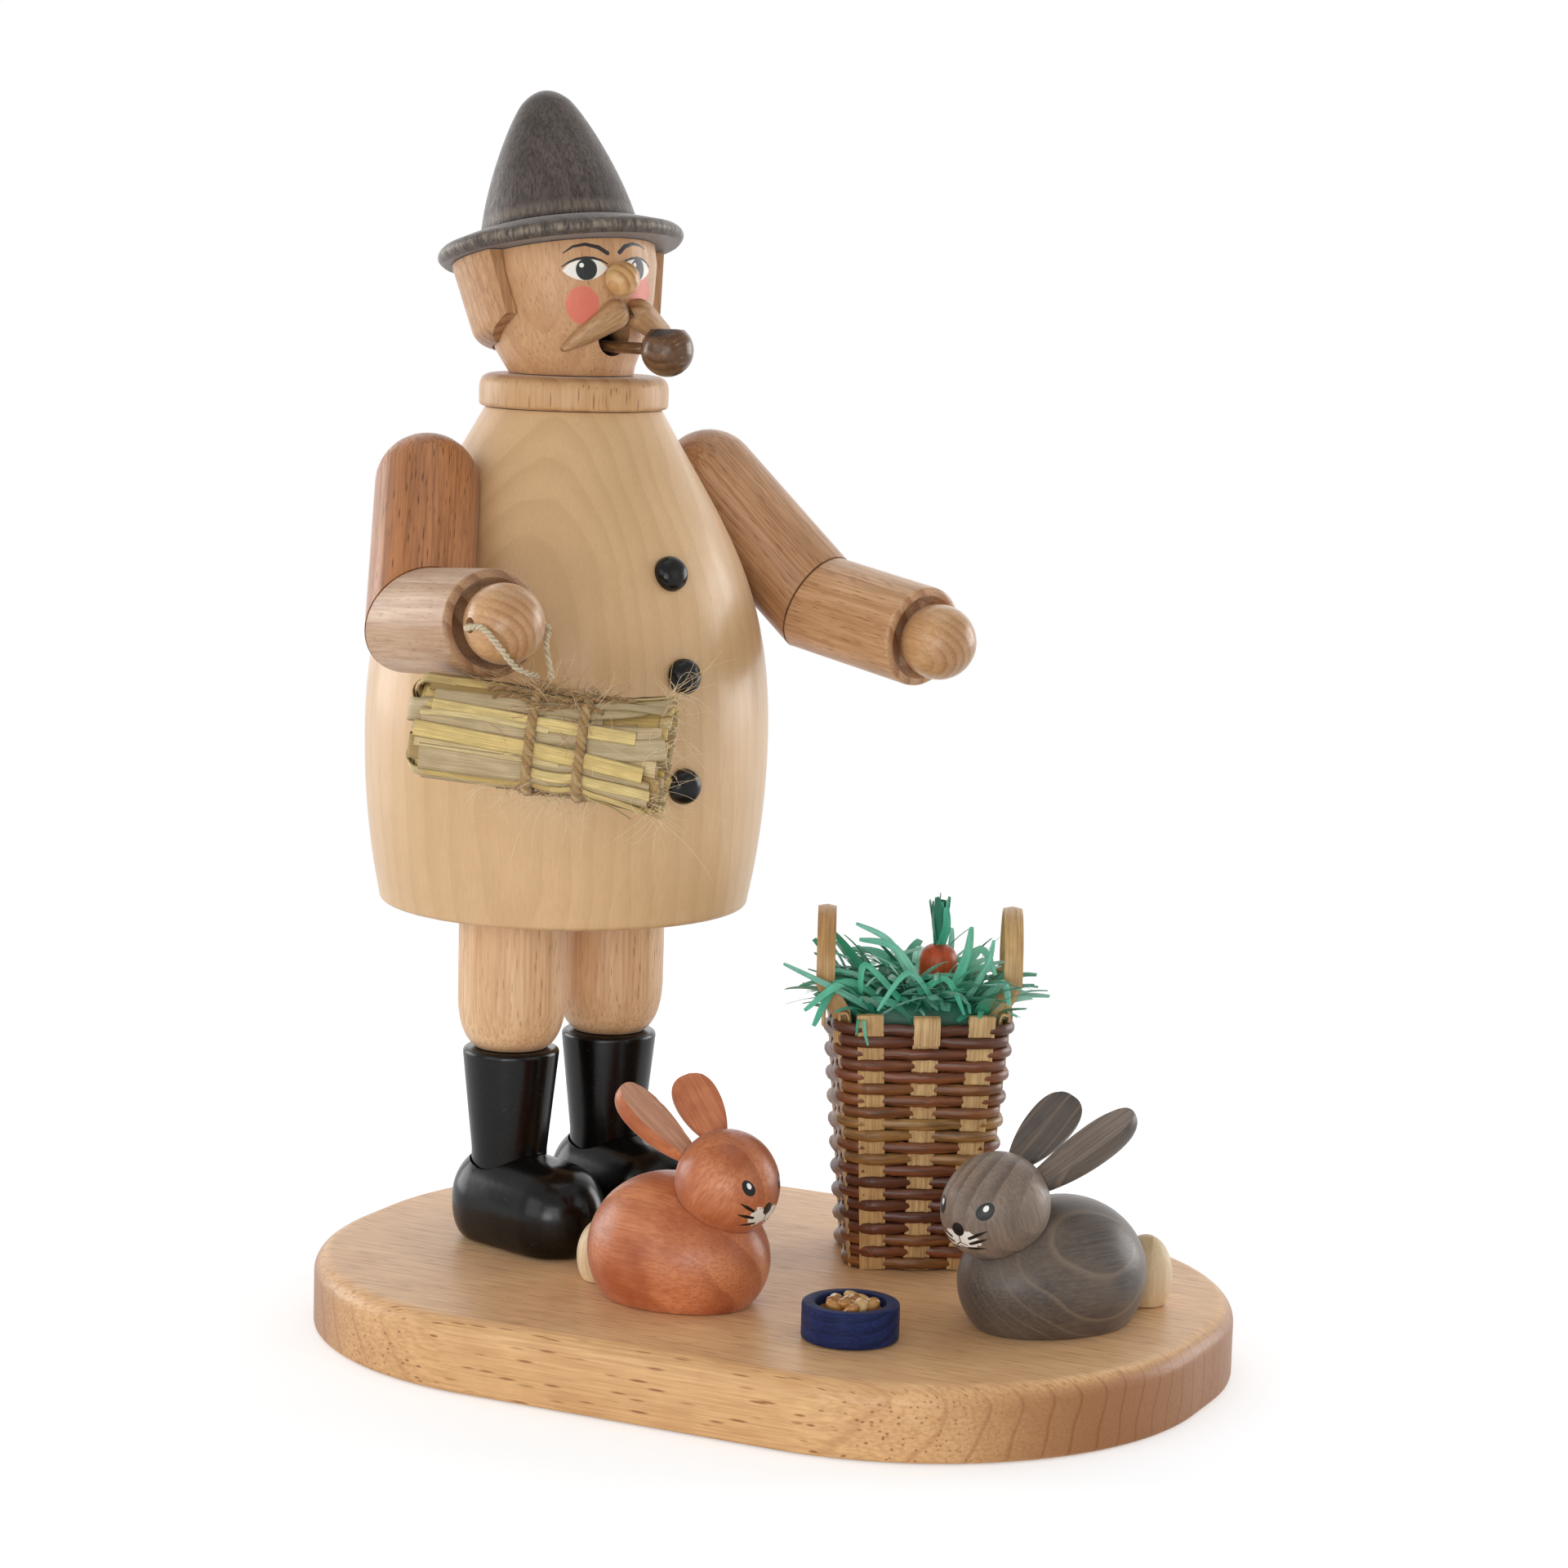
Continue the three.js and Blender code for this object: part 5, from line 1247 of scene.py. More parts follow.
class Stain:
    """Stained woods whose grain still shows."""

    hat = Wood(
        "hat_stain", light="#685c55", dark="#2b2522", fleck="#85776c", ring_warp=3.0, fibre_depth=0.75,
        fleck_depth=0.4, tone_depth=0.35, coat=0.05, relief=0.35, pith=(24.0, 12.0), fleck_size=0.35,
        end_depth=0.15, specular=0.3, sheen=0.25,
    )
    brown = Wood(
        "russet_stain", light="#dd9163", dark="#a24f2a", fleck="#7d3a1c", ring_pitch=5.0, ring_warp=8.0,
        ring_depth=0.25, fibre_depth=0.5, fleck_depth=0.3, tone_depth=0.85, roughness=0.34, coat=0.16,
        relief=0.1, fleck_size=0.45, end_depth=0.2, specular=0.3, sheen=0.15,
    )
    # Lighter copy for one ear's flat face: partly paler bare wood, partly a painted highlight of glare.
    brown_flat = Wood(
        "russet_flat", light="#d9a686", dark="#b4724c", fleck="#8a4a2a", ring_pitch=2.0, ring_warp=2.0,
        ring_depth=0.4, fleck_depth=0.4, roughness=0.42, relief=0.15, pith=(8.0, 3.0), fleck_size=0.4,
    )
    gray = Wood(
        "gray_stain", light="#4a4340", dark="#96826d", fleck="#8a7158", ring_pitch=2.1, ring_warp=8.0,
        ring_depth=0.38, fibre_depth=0.2, fleck_depth=0.2, tone_depth=0.24, roughness=0.36, coat=0.1,
        relief=0.15, pith=(16.0, 6.0), end_depth=0.0, specular=0.3, sheen=0.05, ring_edge=0.75,
    )
    gray_head = Wood(
        "gray_head_stain", light="#978373", dark="#544a43", fleck="#a98f72", ring_pitch=2.4,
        fibre_depth=0.42, fleck_depth=0.2, tone_depth=0.35, roughness=0.36, coat=0.1, relief=0.15,
        pith=(16.0, 6.0), end_depth=0.0, specular=0.3, sheen=0.05,
    )
    # Lighter copy for one ear's flat face: partly paler bare wood, partly a painted highlight of glare.
    gray_flat = Wood(
        "gray_flat", light="#8d7d6f", dark="#5d524b", fleck="#a08c72", ring_pitch=2.0, ring_warp=2.0,
        ring_depth=0.5, fleck_depth=0.4, tone_depth=0.4, roughness=0.45, coat=0.1, relief=0.15,
        pith=(8.0, 3.0), fleck_size=0.4, specular=0.3, sheen=0.1,
    )
    blue = Wood(
        "blue_stain", light="#1d2d63", dark="#0d1436", fleck="#2f4680", ring_pitch=2.0, ring_warp=2.0,
        ring_depth=0.4, fleck_depth=0.3, tone_depth=0.4, roughness=0.55, coat=0.0, relief=0.3,
        pith=(20.0, 9.0), fleck_size=0.4, end_depth=0.1, specular=0.2, sheen=0.05,
    )


class Strand:
    """Fibres of this smoker."""

    straw = Fibre(
        "straw", shades=("#8e6c44", "#ebcb7b", "#f6df9e", "#d8c092", "#d0ba93", "#beac88"), line="#8a7242",
        lines=10.0, roughness=0.55, edge_depth=0.75,
    )
    jute = Fibre(
        "jute", shades=("#94703f", "#bb955e", "#d8ba83"), line="#7d5c33", line_depth=0.45, roughness=0.85,
        sheen=0.3,
    )
    fuzz = Fibre(
        "jute_fuzz", shades=("#a37c4c", "#e6c594", "#fbe9c4"), line="#d0aa78", lines=2.0, line_depth=0.2,
        sheen=0.3,
    )
    twine = Fibre("twine", shades=("#d6c29c", "#e8dabc"), line="#a88f66", line_depth=0.35, sheen=0.3)
    willow = Fibre(
        "willow", shades=("#40231a", "#6b3b24", "#8a4f2e", "#a06c35", "#b0854a"), line="#331a10",
        lines=2.4, line_depth=0.6, roughness=0.36,
    )
    cane = Fibre(
        "cane", shades=("#c2945a", "#dab277", "#e6c48c"), line="#8a5f31", lines=9.0, line_depth=0.6,
        roughness=0.42,
    )
    raffia = Fibre(
        "raffia", shades=("#0c503c", "#27a681", "#55cfa8", "#aeeed9"), line="#127058", lines=7.0,
        roughness=0.42, sheen=0.1, see_through=0.08, edge_depth=0.2,
    )
    seed = Fibre(
        "seed", shades=("#a3682c", "#c9934e", "#d9ab66", "#e6c68c"), line="#8f5a26", lines=1.6,
        line_depth=0.3, roughness=0.14,
    )


class Coating:
    """Lacquers of this smoker."""

    black = Lacquer("black_lacquer", "#0a0807", "#6d655e")


class Paint:
    """Paints of the faces, the tones that rubbing leaves, a dark tone inside the mouth, and a painted
    highlight on the hat.
    """

    cheek = "#e4705f"
    line = "#1c1512"
    eye_white = "#fbf6ec"
    iris = "#181d1c"
    glint = "#fbf8f2"
    # Dark tone painted inside the mouth hole.
    smoke = "#2a1a10"
    char = "#2b2420"
    rubbed_rim = "#b3a38c"
    # Painted highlight for the streaked band round the hat's crown foot.
    rubbed_band = "#9a8c7d"
    bare_underside = "#6a5747"
    muzzle = "#efe9df"
    whisker = "#16110f"
    rabbit_nose = "#14100f"
    rabbit_eye = "#0b0c0d"
    rabbit_glint = "#f6f5f1"


# Pieces


@dataclass
class Plate:
    """Oval beech plate that everything stands on."""

    length: float = 150.0
    width: float = 105.0
    thickness: float = 11.6
    roundness: float = 0.92
    top_round: float = 3.0
    foot_round: float = 0.7

    def build(self) -> None:
        """Models the board and dresses it."""
        board = new_plane("plate_board")
        with editing(board):
            bpy.ops.transform.resize(value=(self.length, self.width, 1.0))
            radius = self.roundness * self.width / 2
            bpy.ops.mesh.bevel(offset=radius * MM, segments=44, affect="VERTICES")
            bpy.ops.mesh.extrude_region_move(TRANSFORM_OT_translate={"value": (0, 0, self.thickness * MM)})
            bpy.ops.mesh.select_all(action="SELECT")
            bpy.ops.mesh.normals_make_consistent(inside=False)
            select_faces(board, lambda face: face.normal.z > 0.9)
            bpy.ops.mesh.bevel(offset=self.top_round * MM, segments=10, affect="EDGES")
            select_faces(board, lambda face: face.normal.z < -0.9)
            bpy.ops.mesh.bevel(offset=self.foot_round * MM, segments=3, affect="EDGES")
        smooth(board)
        grain = spun(90, "Y")
        dress(board, Timber.plate.material("board", grain), "base_plate")


@dataclass
class Feet:
    """Shoes, boot shafts and legs, and the seat under the coat."""

    x: float = -42.0
    y: float = 5.0
    facing: float = 72.0
    spread: float = 11.1
    plate_top: float = 11.6
    shoe_width: float = 17.0
    heel: float = 9.7
    toe: float = 19.6
    shoe_height: float = 15.2
    crown: float = 8.5
    ridge: float = 2.4
    toe_drop: float = 1.2
    foot_round: float = 2.6
    foot_height: float = 6.0
    seat_depth: float = 4.0
    shaft_top: float = 7.9
    shaft_foot: float = 6.2
    shaft_length: float = 21.0
    shaft_round: float = 0.9
    leg_radius: float = 8.9
    leg_end: float = 5.9
    leg_length: float = 24.6
    leg_taper: float = 9.0
    peg_radius: float = 3.2
    peg_length: float = 6.0
    peg_room: float = 0.5
    seat_radius: float = 25.0
    flange: float = 6.0
    spigot_radius: float = 21.6
    spigot_height: float = 5.0
    nail_bore: float = 1.0

    @property
    def shaft_z(self) -> float:
        """Foot of the boot shafts."""
        return self.plate_top + self.shoe_height - self.seat_depth

    @property
    def leg_z(self) -> float:
        """Foot of the legs."""
        return self.shaft_z + self.shaft_length

    @property
    def seat_z(self) -> float:
        """Underside of the seat."""
        return self.leg_z + self.leg_length

    def shoe_ring(self, inset: float, height: float) -> Ring:
        """Ring round the shoe at a height, lower towards the toe.

        Args:
            inset: How far inside the widest outline.
            height: Height above the plate.

        Returns:
            The ring.
        """
        half = self.shoe_width / 2
        middle = (self.heel - self.toe) / 2
        ring = rounded_ring(half - inset, (self.heel + self.toe) / 2 - inset, half - inset, 0.0, 12)
        moved = []
        for p in ring:
            y = p.y / MM + middle
            toward = min(max(-y / self.toe, 0.0), 1.0)
            moved.append(mm(p.x / MM, y, height - self.toe_drop * toward * height / self.shoe_height))
        return moved

    def shoe(self, name: str) -> Object:
        """Domed shoe with a rounded sole edge and a bored seat.

        Args:
            name: Name of the piece.

        Returns:
            The shoe, not yet placed.
        """
        half = self.shoe_width / 2 - self.ridge / 2
        side = self.shoe_height - self.crown
        rings = []
        for i in range(7):
            angle = i / 7 * pi / 2
            inset, height = self.foot_round * (1 - sin(angle)), self.foot_height * (1 - cos(angle))
            rings.append(self.shoe_ring(inset, height))
        for i in range(15):
            angle = i / 14 * pi / 2
            rings.append(self.shoe_ring(half * (1 - cos(angle)), side + self.crown * sin(angle)))
        block = lofted(name, rings)
        bore = self.shaft_foot + GAP
        low, high = self.shoe_height - self.seat_depth, 2 * self.shoe_height
        return carve(block, turned("seat_bore", [(0, low), (bore, low), (bore, high), (0, high)]))

    def shaft(self, name: str) -> Object:
        """Boot shaft, wider and softly rounded at its rim.

        Args:
            name: Name of the piece.

        Returns:
            The shaft, not yet placed.
        """
        top = self.shaft_length
        socket = self.peg_radius + GAP
        soft = self.shaft_round
        rim = arc((self.shaft_top, top - soft), (self.shaft_top, top), (self.shaft_top - soft, top), 5)
        floor = top - self.peg_length - self.peg_room
        foot = [(0, GLUE), (self.shaft_foot, GLUE), (self.shaft_foot, self.seat_depth)]
        return turned(name, [*foot, *rim, (socket, top), (socket, floor), (0, floor)])

    def leg(self, name: str) -> Object:
        """Turned leg with a rounded lower end and a peg at each end.

        Args:
            name: Name of the piece.

        Returns:
            The leg, not yet placed.
        """
        end = arc((self.leg_end, GLUE), (self.leg_radius, GLUE + 2), (self.leg_radius, self.leg_taper), 12)
        peg, low = self.peg_radius, -self.peg_length
        high = self.leg_length + self.flange - self.peg_room
        top = self.leg_length - GLUE
        foot = [(0, low), (peg, low), (peg, GLUE)]
        return turned(name, [*foot, *end, (self.leg_radius, top), (peg, top), (peg, high), (0, high)])

    def build(self) -> None:
        """Models and dresses both feet; the seat, metal plate and nail keep their nodes."""
        for side in Side:
            x = side.value * self.spread
            base = standing(self.x, self.y, 0.0, self.facing)
            shoe = place(self.shoe(f"shoe_{side.word}_domed"), base @ shifted(x, 0, self.plate_top + GLUE))
            dress(shoe, Coating.black.material(f"shoe_{side.word}"), f"shoe_{side.word}")
            shaft = place(self.shaft(f"boot_{side.word}_turned"), base @ shifted(x, 0, self.shaft_z + GLUE))
            dress(shaft, Coating.black.material(f"shaft_{side.word}"), f"boot_shaft_{side.word}")
            grain = base @ shifted(x, 0, self.leg_z + GLUE)
            leg = place(self.leg(f"leg_{side.word}_turned"), grain)
            dress(leg, Timber.leg.material(side.word, grain), f"leg_{side.word}")
        self.dress_seat()

    def dress_seat(self) -> None:
        """Gives the seat, the metal plate, the nail and the dowels their finishes."""
        axis = standing(self.x, self.y, 0.0, self.facing)
        flat = axis @ spun(90, "X")
        steel = Steel()
        outer, inner, nail = self.seat_radius, self.spigot_radius, self.nail_bore
        edge, top = self.flange, self.flange + self.spigot_height
        rim = [(outer, 0), (outer, edge), (inner, edge), (inner, top)]
        seat = turned("seat_turned", [(0, 0), *rim, (nail, top), (nail, edge), (0, edge)])
        place(seat, axis @ shifted(0, 0, self.seat_z + GLUE))
        dress(seat, Timber.seat.material("disc", flat), "seat_disc")
        for node in ("cone_plate", "plate_nail"):
            self.finish_node(node, steel.material(node, axis))
        for side in Side:
            node = f"shoulder_dowel_{side.word}"
            self.finish_node(node, Timber.seat.material(node, flat))

    @staticmethod
    def finish_node(node: str, material: Material) -> None:
        """Gives a CAD node that stays in view a better finish.

        Args:
            node: Name of the node.
            material: Its finish.
        """
        mesh = frame["nodes"][node].data
        mesh.materials.clear()
        mesh.materials.append(material)
        LOG.info("%s keeps its node", node)


@dataclass
class Coat:
    """Hollow turned coat with its buttons and collar."""

    x: float = -42.0
    y: float = 5.0
    z: float = 67.3
    facing: float = 62.5
    height: float = 81.0
    hem: float = 30.4
    hem_round: float = 1.2
    belly: float = 33.1
    belly_height: float = 28.0
    belly_pull: float = 26.0
    neck: float = 14.4
    neck_out: float = 9.9
    neck_down: float = 18.0
    recess: float = 25.3
    recess_top: float = 7.7
    chamber: float = 22.0
    chamber_straight: float = 42.0
    chamber_cone: float = 20.0
    bore: float = 4.5
    button_heights: tuple[float, ...] = (56.3, 40.6, 23.3)
    button_radius: float = 2.85
    button_bulge: float = 2.3
    collar_radius: float = 15.4
    collar_height: float = 5.3
    collar_round: float = 2.4

    @property
    def axis(self) -> Matrix:
        """Frame at the hem's middle, facing as the body does."""
        return standing(self.x, self.y, self.z, self.facing)

    @property
    def collar_z(self) -> float:
        """Underside of the collar above the plate's underside."""
        return self.z + self.height + GLUE

    def outline(self, grow: float = 0.0) -> list[tuple]:
        """Outer line from the hem to the neck.

        Args:
            grow: How far outside the true line.

        Returns:
            Radius and height pairs.
        """
        hem, belly, neck = self.hem + grow, self.belly + grow, self.neck + grow
        low = arc((hem - self.hem_round, 0.0), (hem, 0.0), (hem, self.hem_round), 5)
        skirt = arc((hem, self.hem_round), (belly, self.belly_height / 2), (belly, self.belly_height), 14)
        above = (belly, self.belly_height + self.belly_pull)
        below = (neck + self.neck_out, self.height - self.neck_down)
        chest = swell((belly, self.belly_height), above, below, (neck, self.height), 36)
        return [*low, *skirt[1:], *chest[1:]]

    def radius_at(self, height: float) -> float:
        """Radius at a height above the hem."""
        return radius_on(self.outline(), height, self.neck)

    def form(self, grow: float) -> Object:
        """Plain solid of the outside, for cutting what lies against it."""
        tool = turned("coat_form", [(0, 0), *self.outline(grow), (0, self.height)])
        return place(tool, self.axis)

    def build(self) -> None:
        """Models and dresses the coat, buttons and collar."""
        top = self.recess_top + self.chamber_straight
        channel = [(self.bore, self.height), (self.bore, top + self.chamber_cone), (self.chamber, top)]
        seat = [(self.chamber, self.recess_top), (self.recess, self.recess_top), (self.recess, 0)]
        shell = turned("coat_turned", [(self.recess, 0), *self.outline(), *channel, *seat], 144)
        place(shell, self.axis)
        dress(shell, Timber.coat.material("shell", self.axis), "coat_body")
        for name, height in zip(("top", "middle", "bottom"), self.button_heights):
            self.button(name, height)
        self.collar()

    def button(self, name: str, height: float) -> None:
        """Domed black button on the front.

        Args:
            name: Which button.
            height: Height above the hem.
        """
        lean = atan2(self.radius_at(height - 1) - self.radius_at(height + 1), 2.0)
        outward = Vector((0.0, -cos(lean), sin(lean)))
        seat = mm(0, -self.radius_at(height), height) + outward * GAP * MM
        shoulder = (self.button_radius * 1.02, self.button_bulge * 1.02)
        dome = arc((self.button_radius, 0.0), shoulder, (0.0, self.button_bulge), 14)
        bead = turned(f"button_{name}_domed", [(0, 0), *dome], 48)
        place(bead, self.axis @ aimed(outward, seat))
        dress(bead, Coating.black.material(f"button_{name}"), f"button_{name}")

    def collar(self) -> None:
        """Collar ring with a rounded upper edge."""
        radius, height, soft = self.collar_radius, self.collar_height, self.collar_round
        edge = arc((radius, height - soft), (radius, height), (radius - soft, height), 10)
        foot = arc((radius - soft / 3, 0), (radius, 0), (radius, soft / 3), 4)
        ring = turned("collar_turned", [(self.bore, 0), *foot, *edge, (self.bore, height), (self.bore, 0)])
        where = standing(self.x, self.y, self.collar_z, self.facing)
        place(ring, where)
        dress(ring, Timber.collar.material("ring", where), "collar")


@dataclass(frozen=True)
class Eye:
    """Painted eye: two round lids that cross in an almond, an iris, a glint and the upper lid's line."""

    upper_drop: float = 3.0
    upper_radius: float = 4.7
    lower_rise: float = 2.87
    lower_radius: float = 4.62
    lid_edge: float = 0.02
    white_cover: float = 0.97
    iris_shift: Pair = (0.15, -0.08)
    iris_radii: Pair = (1.7, 1.72)
    glint_shift: Pair = (-0.6, 0.62)
    glint_radius: float = 0.36
    line_radius: float = 4.75
    line_stretch: float = 1.2
    line_from: float = 130.0
    line_sweep: float = 80.0
    line_width: float = 0.1
    line_swell: float = 0.13
    line_steps: int = 6

    def paint(self, painter: Painter, centre: Pair) -> None:
        """White almond, dark iris with a glint, and the upper lid line.

        Args:
            painter: Paint of the face.
            centre: Middle of the eye on the face's map.
        """
        u, v = centre
        upper = painter.spot((u, v - self.upper_drop), (self.upper_radius,) * 2, self.lid_edge)
        lower = painter.spot((u, v + self.lower_rise), (self.lower_radius,) * 2, self.lid_edge)
        almond = painter.finish.math("MINIMUM", upper, lower)
        painter.cover(almond, Paint.eye_white, self.white_cover)
        iris = painter.spot((u + self.iris_shift[0], v + self.iris_shift[1]), self.iris_radii, 0.05)
        painter.cover(painter.finish.times(iris, almond), Paint.iris)
        glint = (u + self.glint_shift[0], v + self.glint_shift[1])
        painter.cover(painter.spot(glint, (self.glint_radius, self.glint_radius), 0.15), Paint.glint)
        painter.cover(painter.stroke(self.lid(u, v)), Paint.line)

    def lid(self, u: float, v: float) -> list[Triple]:
        """Points of the upper lid's line, each with its half width.

        Args:
            u: Place of the eye across the face.
            v: Height of the eye.

        Returns:
            Place across, height and half width of each point.
        """
        points = []
        for i in range(self.line_steps + 1):
            share = i / self.line_steps
            angle = radians(self.line_from - self.line_sweep * share)
            width = self.line_width + self.line_swell * sin(pi * share)
            across = self.line_radius * cos(angle) * self.line_stretch
            points.append((u + across, v - self.upper_drop + self.line_radius * sin(angle), width))
        return points


@dataclass
class Head:
    """Head with its painted face, hair, nose, moustache, pipe and hat on one leaning axis."""

    coat: Coat
    facing: float = 64.0
    tilt: float = 12.5
    height: float = 19.2
    chin: float = 9.9
    jaw: float = 13.4
    jaw_height: float = 8.0
    brow: float = 15.2
    brow_straight: float = 3.0
    chin_drop: float = 3.0
    bore: float = 4.0
    bore_top: float = 8.5
    peg: float = 5.0
    peg_length: float = 4.0
    mouth: float = 3.1
    mouth_height: float = 4.1
    mouth_side: float = 0.4
    hair_top: float = 17.9
    hair_low: float = 15.9
    hair_low_height: float = 9.0
    hair_hem: float = 5.2
    hair_front: float = 4.6
    hair_nape: float = -3.5
    nose: float = 2.8
    nose_height: float = 12.5
    nose_stand: float = 1.3
    moustache_length: float = 12.8
    moustache_radius: float = 2.5
    moustache_waist: Pair = (0.72, 0.62)
    moustache_height: float = 8.4
    moustache_side: float = 1.7
    moustache_apart: float = 0.8
    moustache_stand: float = 0.7
    moustache_droop: dict[Side, float] = field(default_factory=lambda: {Side.LEFT: 31.0, Side.RIGHT: 29.0})
    moustache_sweep: dict[Side, float] = field(default_factory=lambda: {Side.LEFT: 12.0, Side.RIGHT: 30.0})
    pipe_ball: float = 4.2
    pipe_rim: float = 3.3
    pipe_bore: float = 2.0
    pipe_bore_depth: float = 4.2
    pipe_reach: float = 12.6
    pipe_drop: float = 4.6
    stem: float = 0.95
    stem_inside: float = 5.0
    pipe_side: float = 0.5
    brim: float = 20.5
    brim_thickness: float = 2.6
    brim_rise: float = 1.6
    groove_width: float = 1.6
    crown: float = 12.7
    crown_height: float = 22.8
    wall_pull: float = 8.0
    wall_lean: float = 1.5
    tip_pull: float = 5.0
    tip: float = 4.0
    face_radius: float = 14.4
    cheeks: tuple[Pair, ...] = ((-6.35, 8.9), (5.9, 10.4))
    cheek_radii: Pair = (2.9, 2.95)
    cheek_cover: float = 0.84
    cheek_brush: Pair = (0.5, 1.6)
    # How far in from the chin the inside of the mouth is painted darker: fully, and where the fade ends.
    smoke_full: float = 3.2
    smoke_edge: float = 0.8
    eye: Eye = Eye()
    eyes: tuple[Pair, ...] = ((-5.5, 14.4), (4.2, 14.4))
    brows: tuple[tuple[Triple, ...], ...] = (
        ((-8.75, 17.15, 0.1), (-7.2, 18.05, 0.2), (-5.3, 18.3, 0.26), (-3.2, 17.7, 0.34),
         (-1.8, 16.75, 0.36)),
        ((0.4, 16.9, 0.36), (1.6, 17.9, 0.34), (3.3, 18.4, 0.26), (5.0, 18.25, 0.18), (6.3, 17.8, 0.1)),
    )
    # Streaks shared by the worn brim edge and the painted highlight round the crown's foot.
    rub_lines: float = 26.0
    rim_rub: Pair = (0.9, 0.2)
    rim_lines: Pair = (0.38, 0.7)
    rim_cover: float = 0.85
    # Painted highlight round the crown's foot: heights above the brim top, streak limits and cover.
    band_rub: tuple[float, ...] = (0.6, 1.4, 1.8, 3.2)
    band_lines: Pair = (0.25, 0.75)
    band_cover: float = 0.6
    underside_cover: float = 0.55

    @property
    def axis(self) -> Matrix:
        """Frame on the collar, leaning back."""
        z = self.coat.collar_z + self.coat.collar_height + GLUE
        return standing(self.coat.x, self.coat.y, z, self.facing, self.tilt)

    def outline(self, grow: float = 0.0) -> list[tuple]:
        """Outer line from under the chin to the top.

        Args:
            grow: How far outside the true line.

        Returns:
            Radius and height pairs.
        """
        jaw = mm(self.jaw + grow, self.jaw_height, 0)
        temple = mm(self.brow + grow, self.height - self.brow_straight, 0)
        line = [(p.x / MM, p.y / MM) for p in smooth_line([mm(self.chin + grow, 0, 0), jaw, temple], 9)]
        return [(self.chin - 1 + grow, -self.chin_drop), *line, (self.brow + grow, self.height)]

    def radius_at(self, height: float) -> float:
        """Radius at a height on the head's own axis."""
        return radius_on(self.outline(), height, self.brow)

    def form(self, grow: float) -> Object:
        """Plain solid of the outside, for cutting what sits on it."""
        line = self.outline(grow)
        return turned("head_form", [(0, line[0][1]), *line, (0, line[-1][1])])

    def build(self) -> None:
        """Models and dresses the whole head."""
        self.build_head()
        self.build_hair()
        self.build_nose()
        for side in Side:
            self.build_moustache(side)
        self.build_pipe()
        self.build_hat()

    def build_head(self) -> None:
        """Turned head with the mouth drilled and the chin sawn to the collar."""
        low = -self.chin_drop
        high = self.height + self.peg_length
        peg = [(self.peg, self.height), (self.peg, high), (0, high)]
        channel = [(0, self.bore_top), (self.bore, self.bore_top - self.bore / 2), (self.bore, low)]
        block = turned("head_turned", [(self.bore, low), *self.outline(), *peg, *channel])
        deep = self.brow + GAP
        drill = turned("mouth_drill", [(0, 0), (self.mouth, 0), (self.mouth, deep), (0, deep)], 48)
        place(drill, aimed(Vector((0.0, -1.0, 0.0)), mm(self.mouth_side, 0, self.mouth_height)))
        carve(block, drill)
        tilt = radians(self.tilt)
        slice_off(block, Vector(), Vector((0.0, sin(tilt), -cos(tilt))))
        place(block, self.axis)
        dress(block, Timber.head.material("face", self.axis, self.paint_face), "head")

    def paint_face(self, finish: Finish, local: Socket, bare: Socket) -> Painter:
        """Eyes, brows and cheeks on the face, and darker wood inside the mouth.

        Args:
            finish: Material of the head.
            local: Place in the head's frame.
            bare: Colour of the wood.

        Returns:
            Painter with the painted colour.
        """
        x, y, z = finish.split(local)
        turn = finish.math("ARCTAN2", x, finish.times(y, -1.0))
        point = finish.join(finish.times(turn, self.face_radius), z)
        painter = Painter(finish, point, bare)
        brushed = painter.ragged(*self.cheek_brush)
        for centre in self.cheeks:
            dab = painter.spot(centre, self.cheek_radii, 0.1, brushed)
            painter.cover(dab, Paint.cheek, self.cheek_cover)
        for centre in self.eyes:
            self.eye.paint(painter, centre)
        for brow in self.brows:
            painter.cover(painter.stroke(brow), Paint.line)
        # Darker paint inside the mouth hole and its bore.
        depth = finish.vector("LENGTH", finish.join(x, y))
        inside = finish.step(depth, self.chin - self.smoke_full, self.chin - self.smoke_edge, FADE)
        painter.cover(inside, Paint.smoke)
        return painter

    def build_hair(self) -> None:
        """Turned hair cup, open at the face and cut up towards the front."""
        low = (self.hair_low, self.hair_low_height)
        hem = arc((self.chin, self.hair_hem), (self.hair_low - 0.4, self.hair_hem), low)
        cup = turned("hair_cup", [(0, self.hair_hem), *hem, (self.hair_top, self.height), (0, self.height)])
        carve(cup, self.form(GAP))
        slice_off(cup, mm(0, -self.hair_front, 0), Vector((0.0, -1.0, 0.0)))
        rise = self.hair_low_height - self.hair_hem
        run = self.hair_front - self.hair_nape
        corner = mm(0, -self.hair_front, self.hair_low_height)
        slice_off(cup, corner, Vector((0.0, -rise, -run)).normalized())
        place(cup, self.axis)
        dress(cup, Timber.hair.material("cup", self.axis), "hair_band")

    def build_nose(self) -> None:
        """Nose ball seated on the face."""
        ball = turned("nose_ball", half_round(self.nose, self.nose, self.nose), 56)
        place(ball, shifted(0, -self.radius_at(self.nose_height) - self.nose_stand, self.nose_height))
        carve(ball, self.form(GAP))
        place(ball, self.axis)
        grain = self.axis @ spun(80, "X")
        dress(ball, Timber.nose.material("ball", grain), "nose")

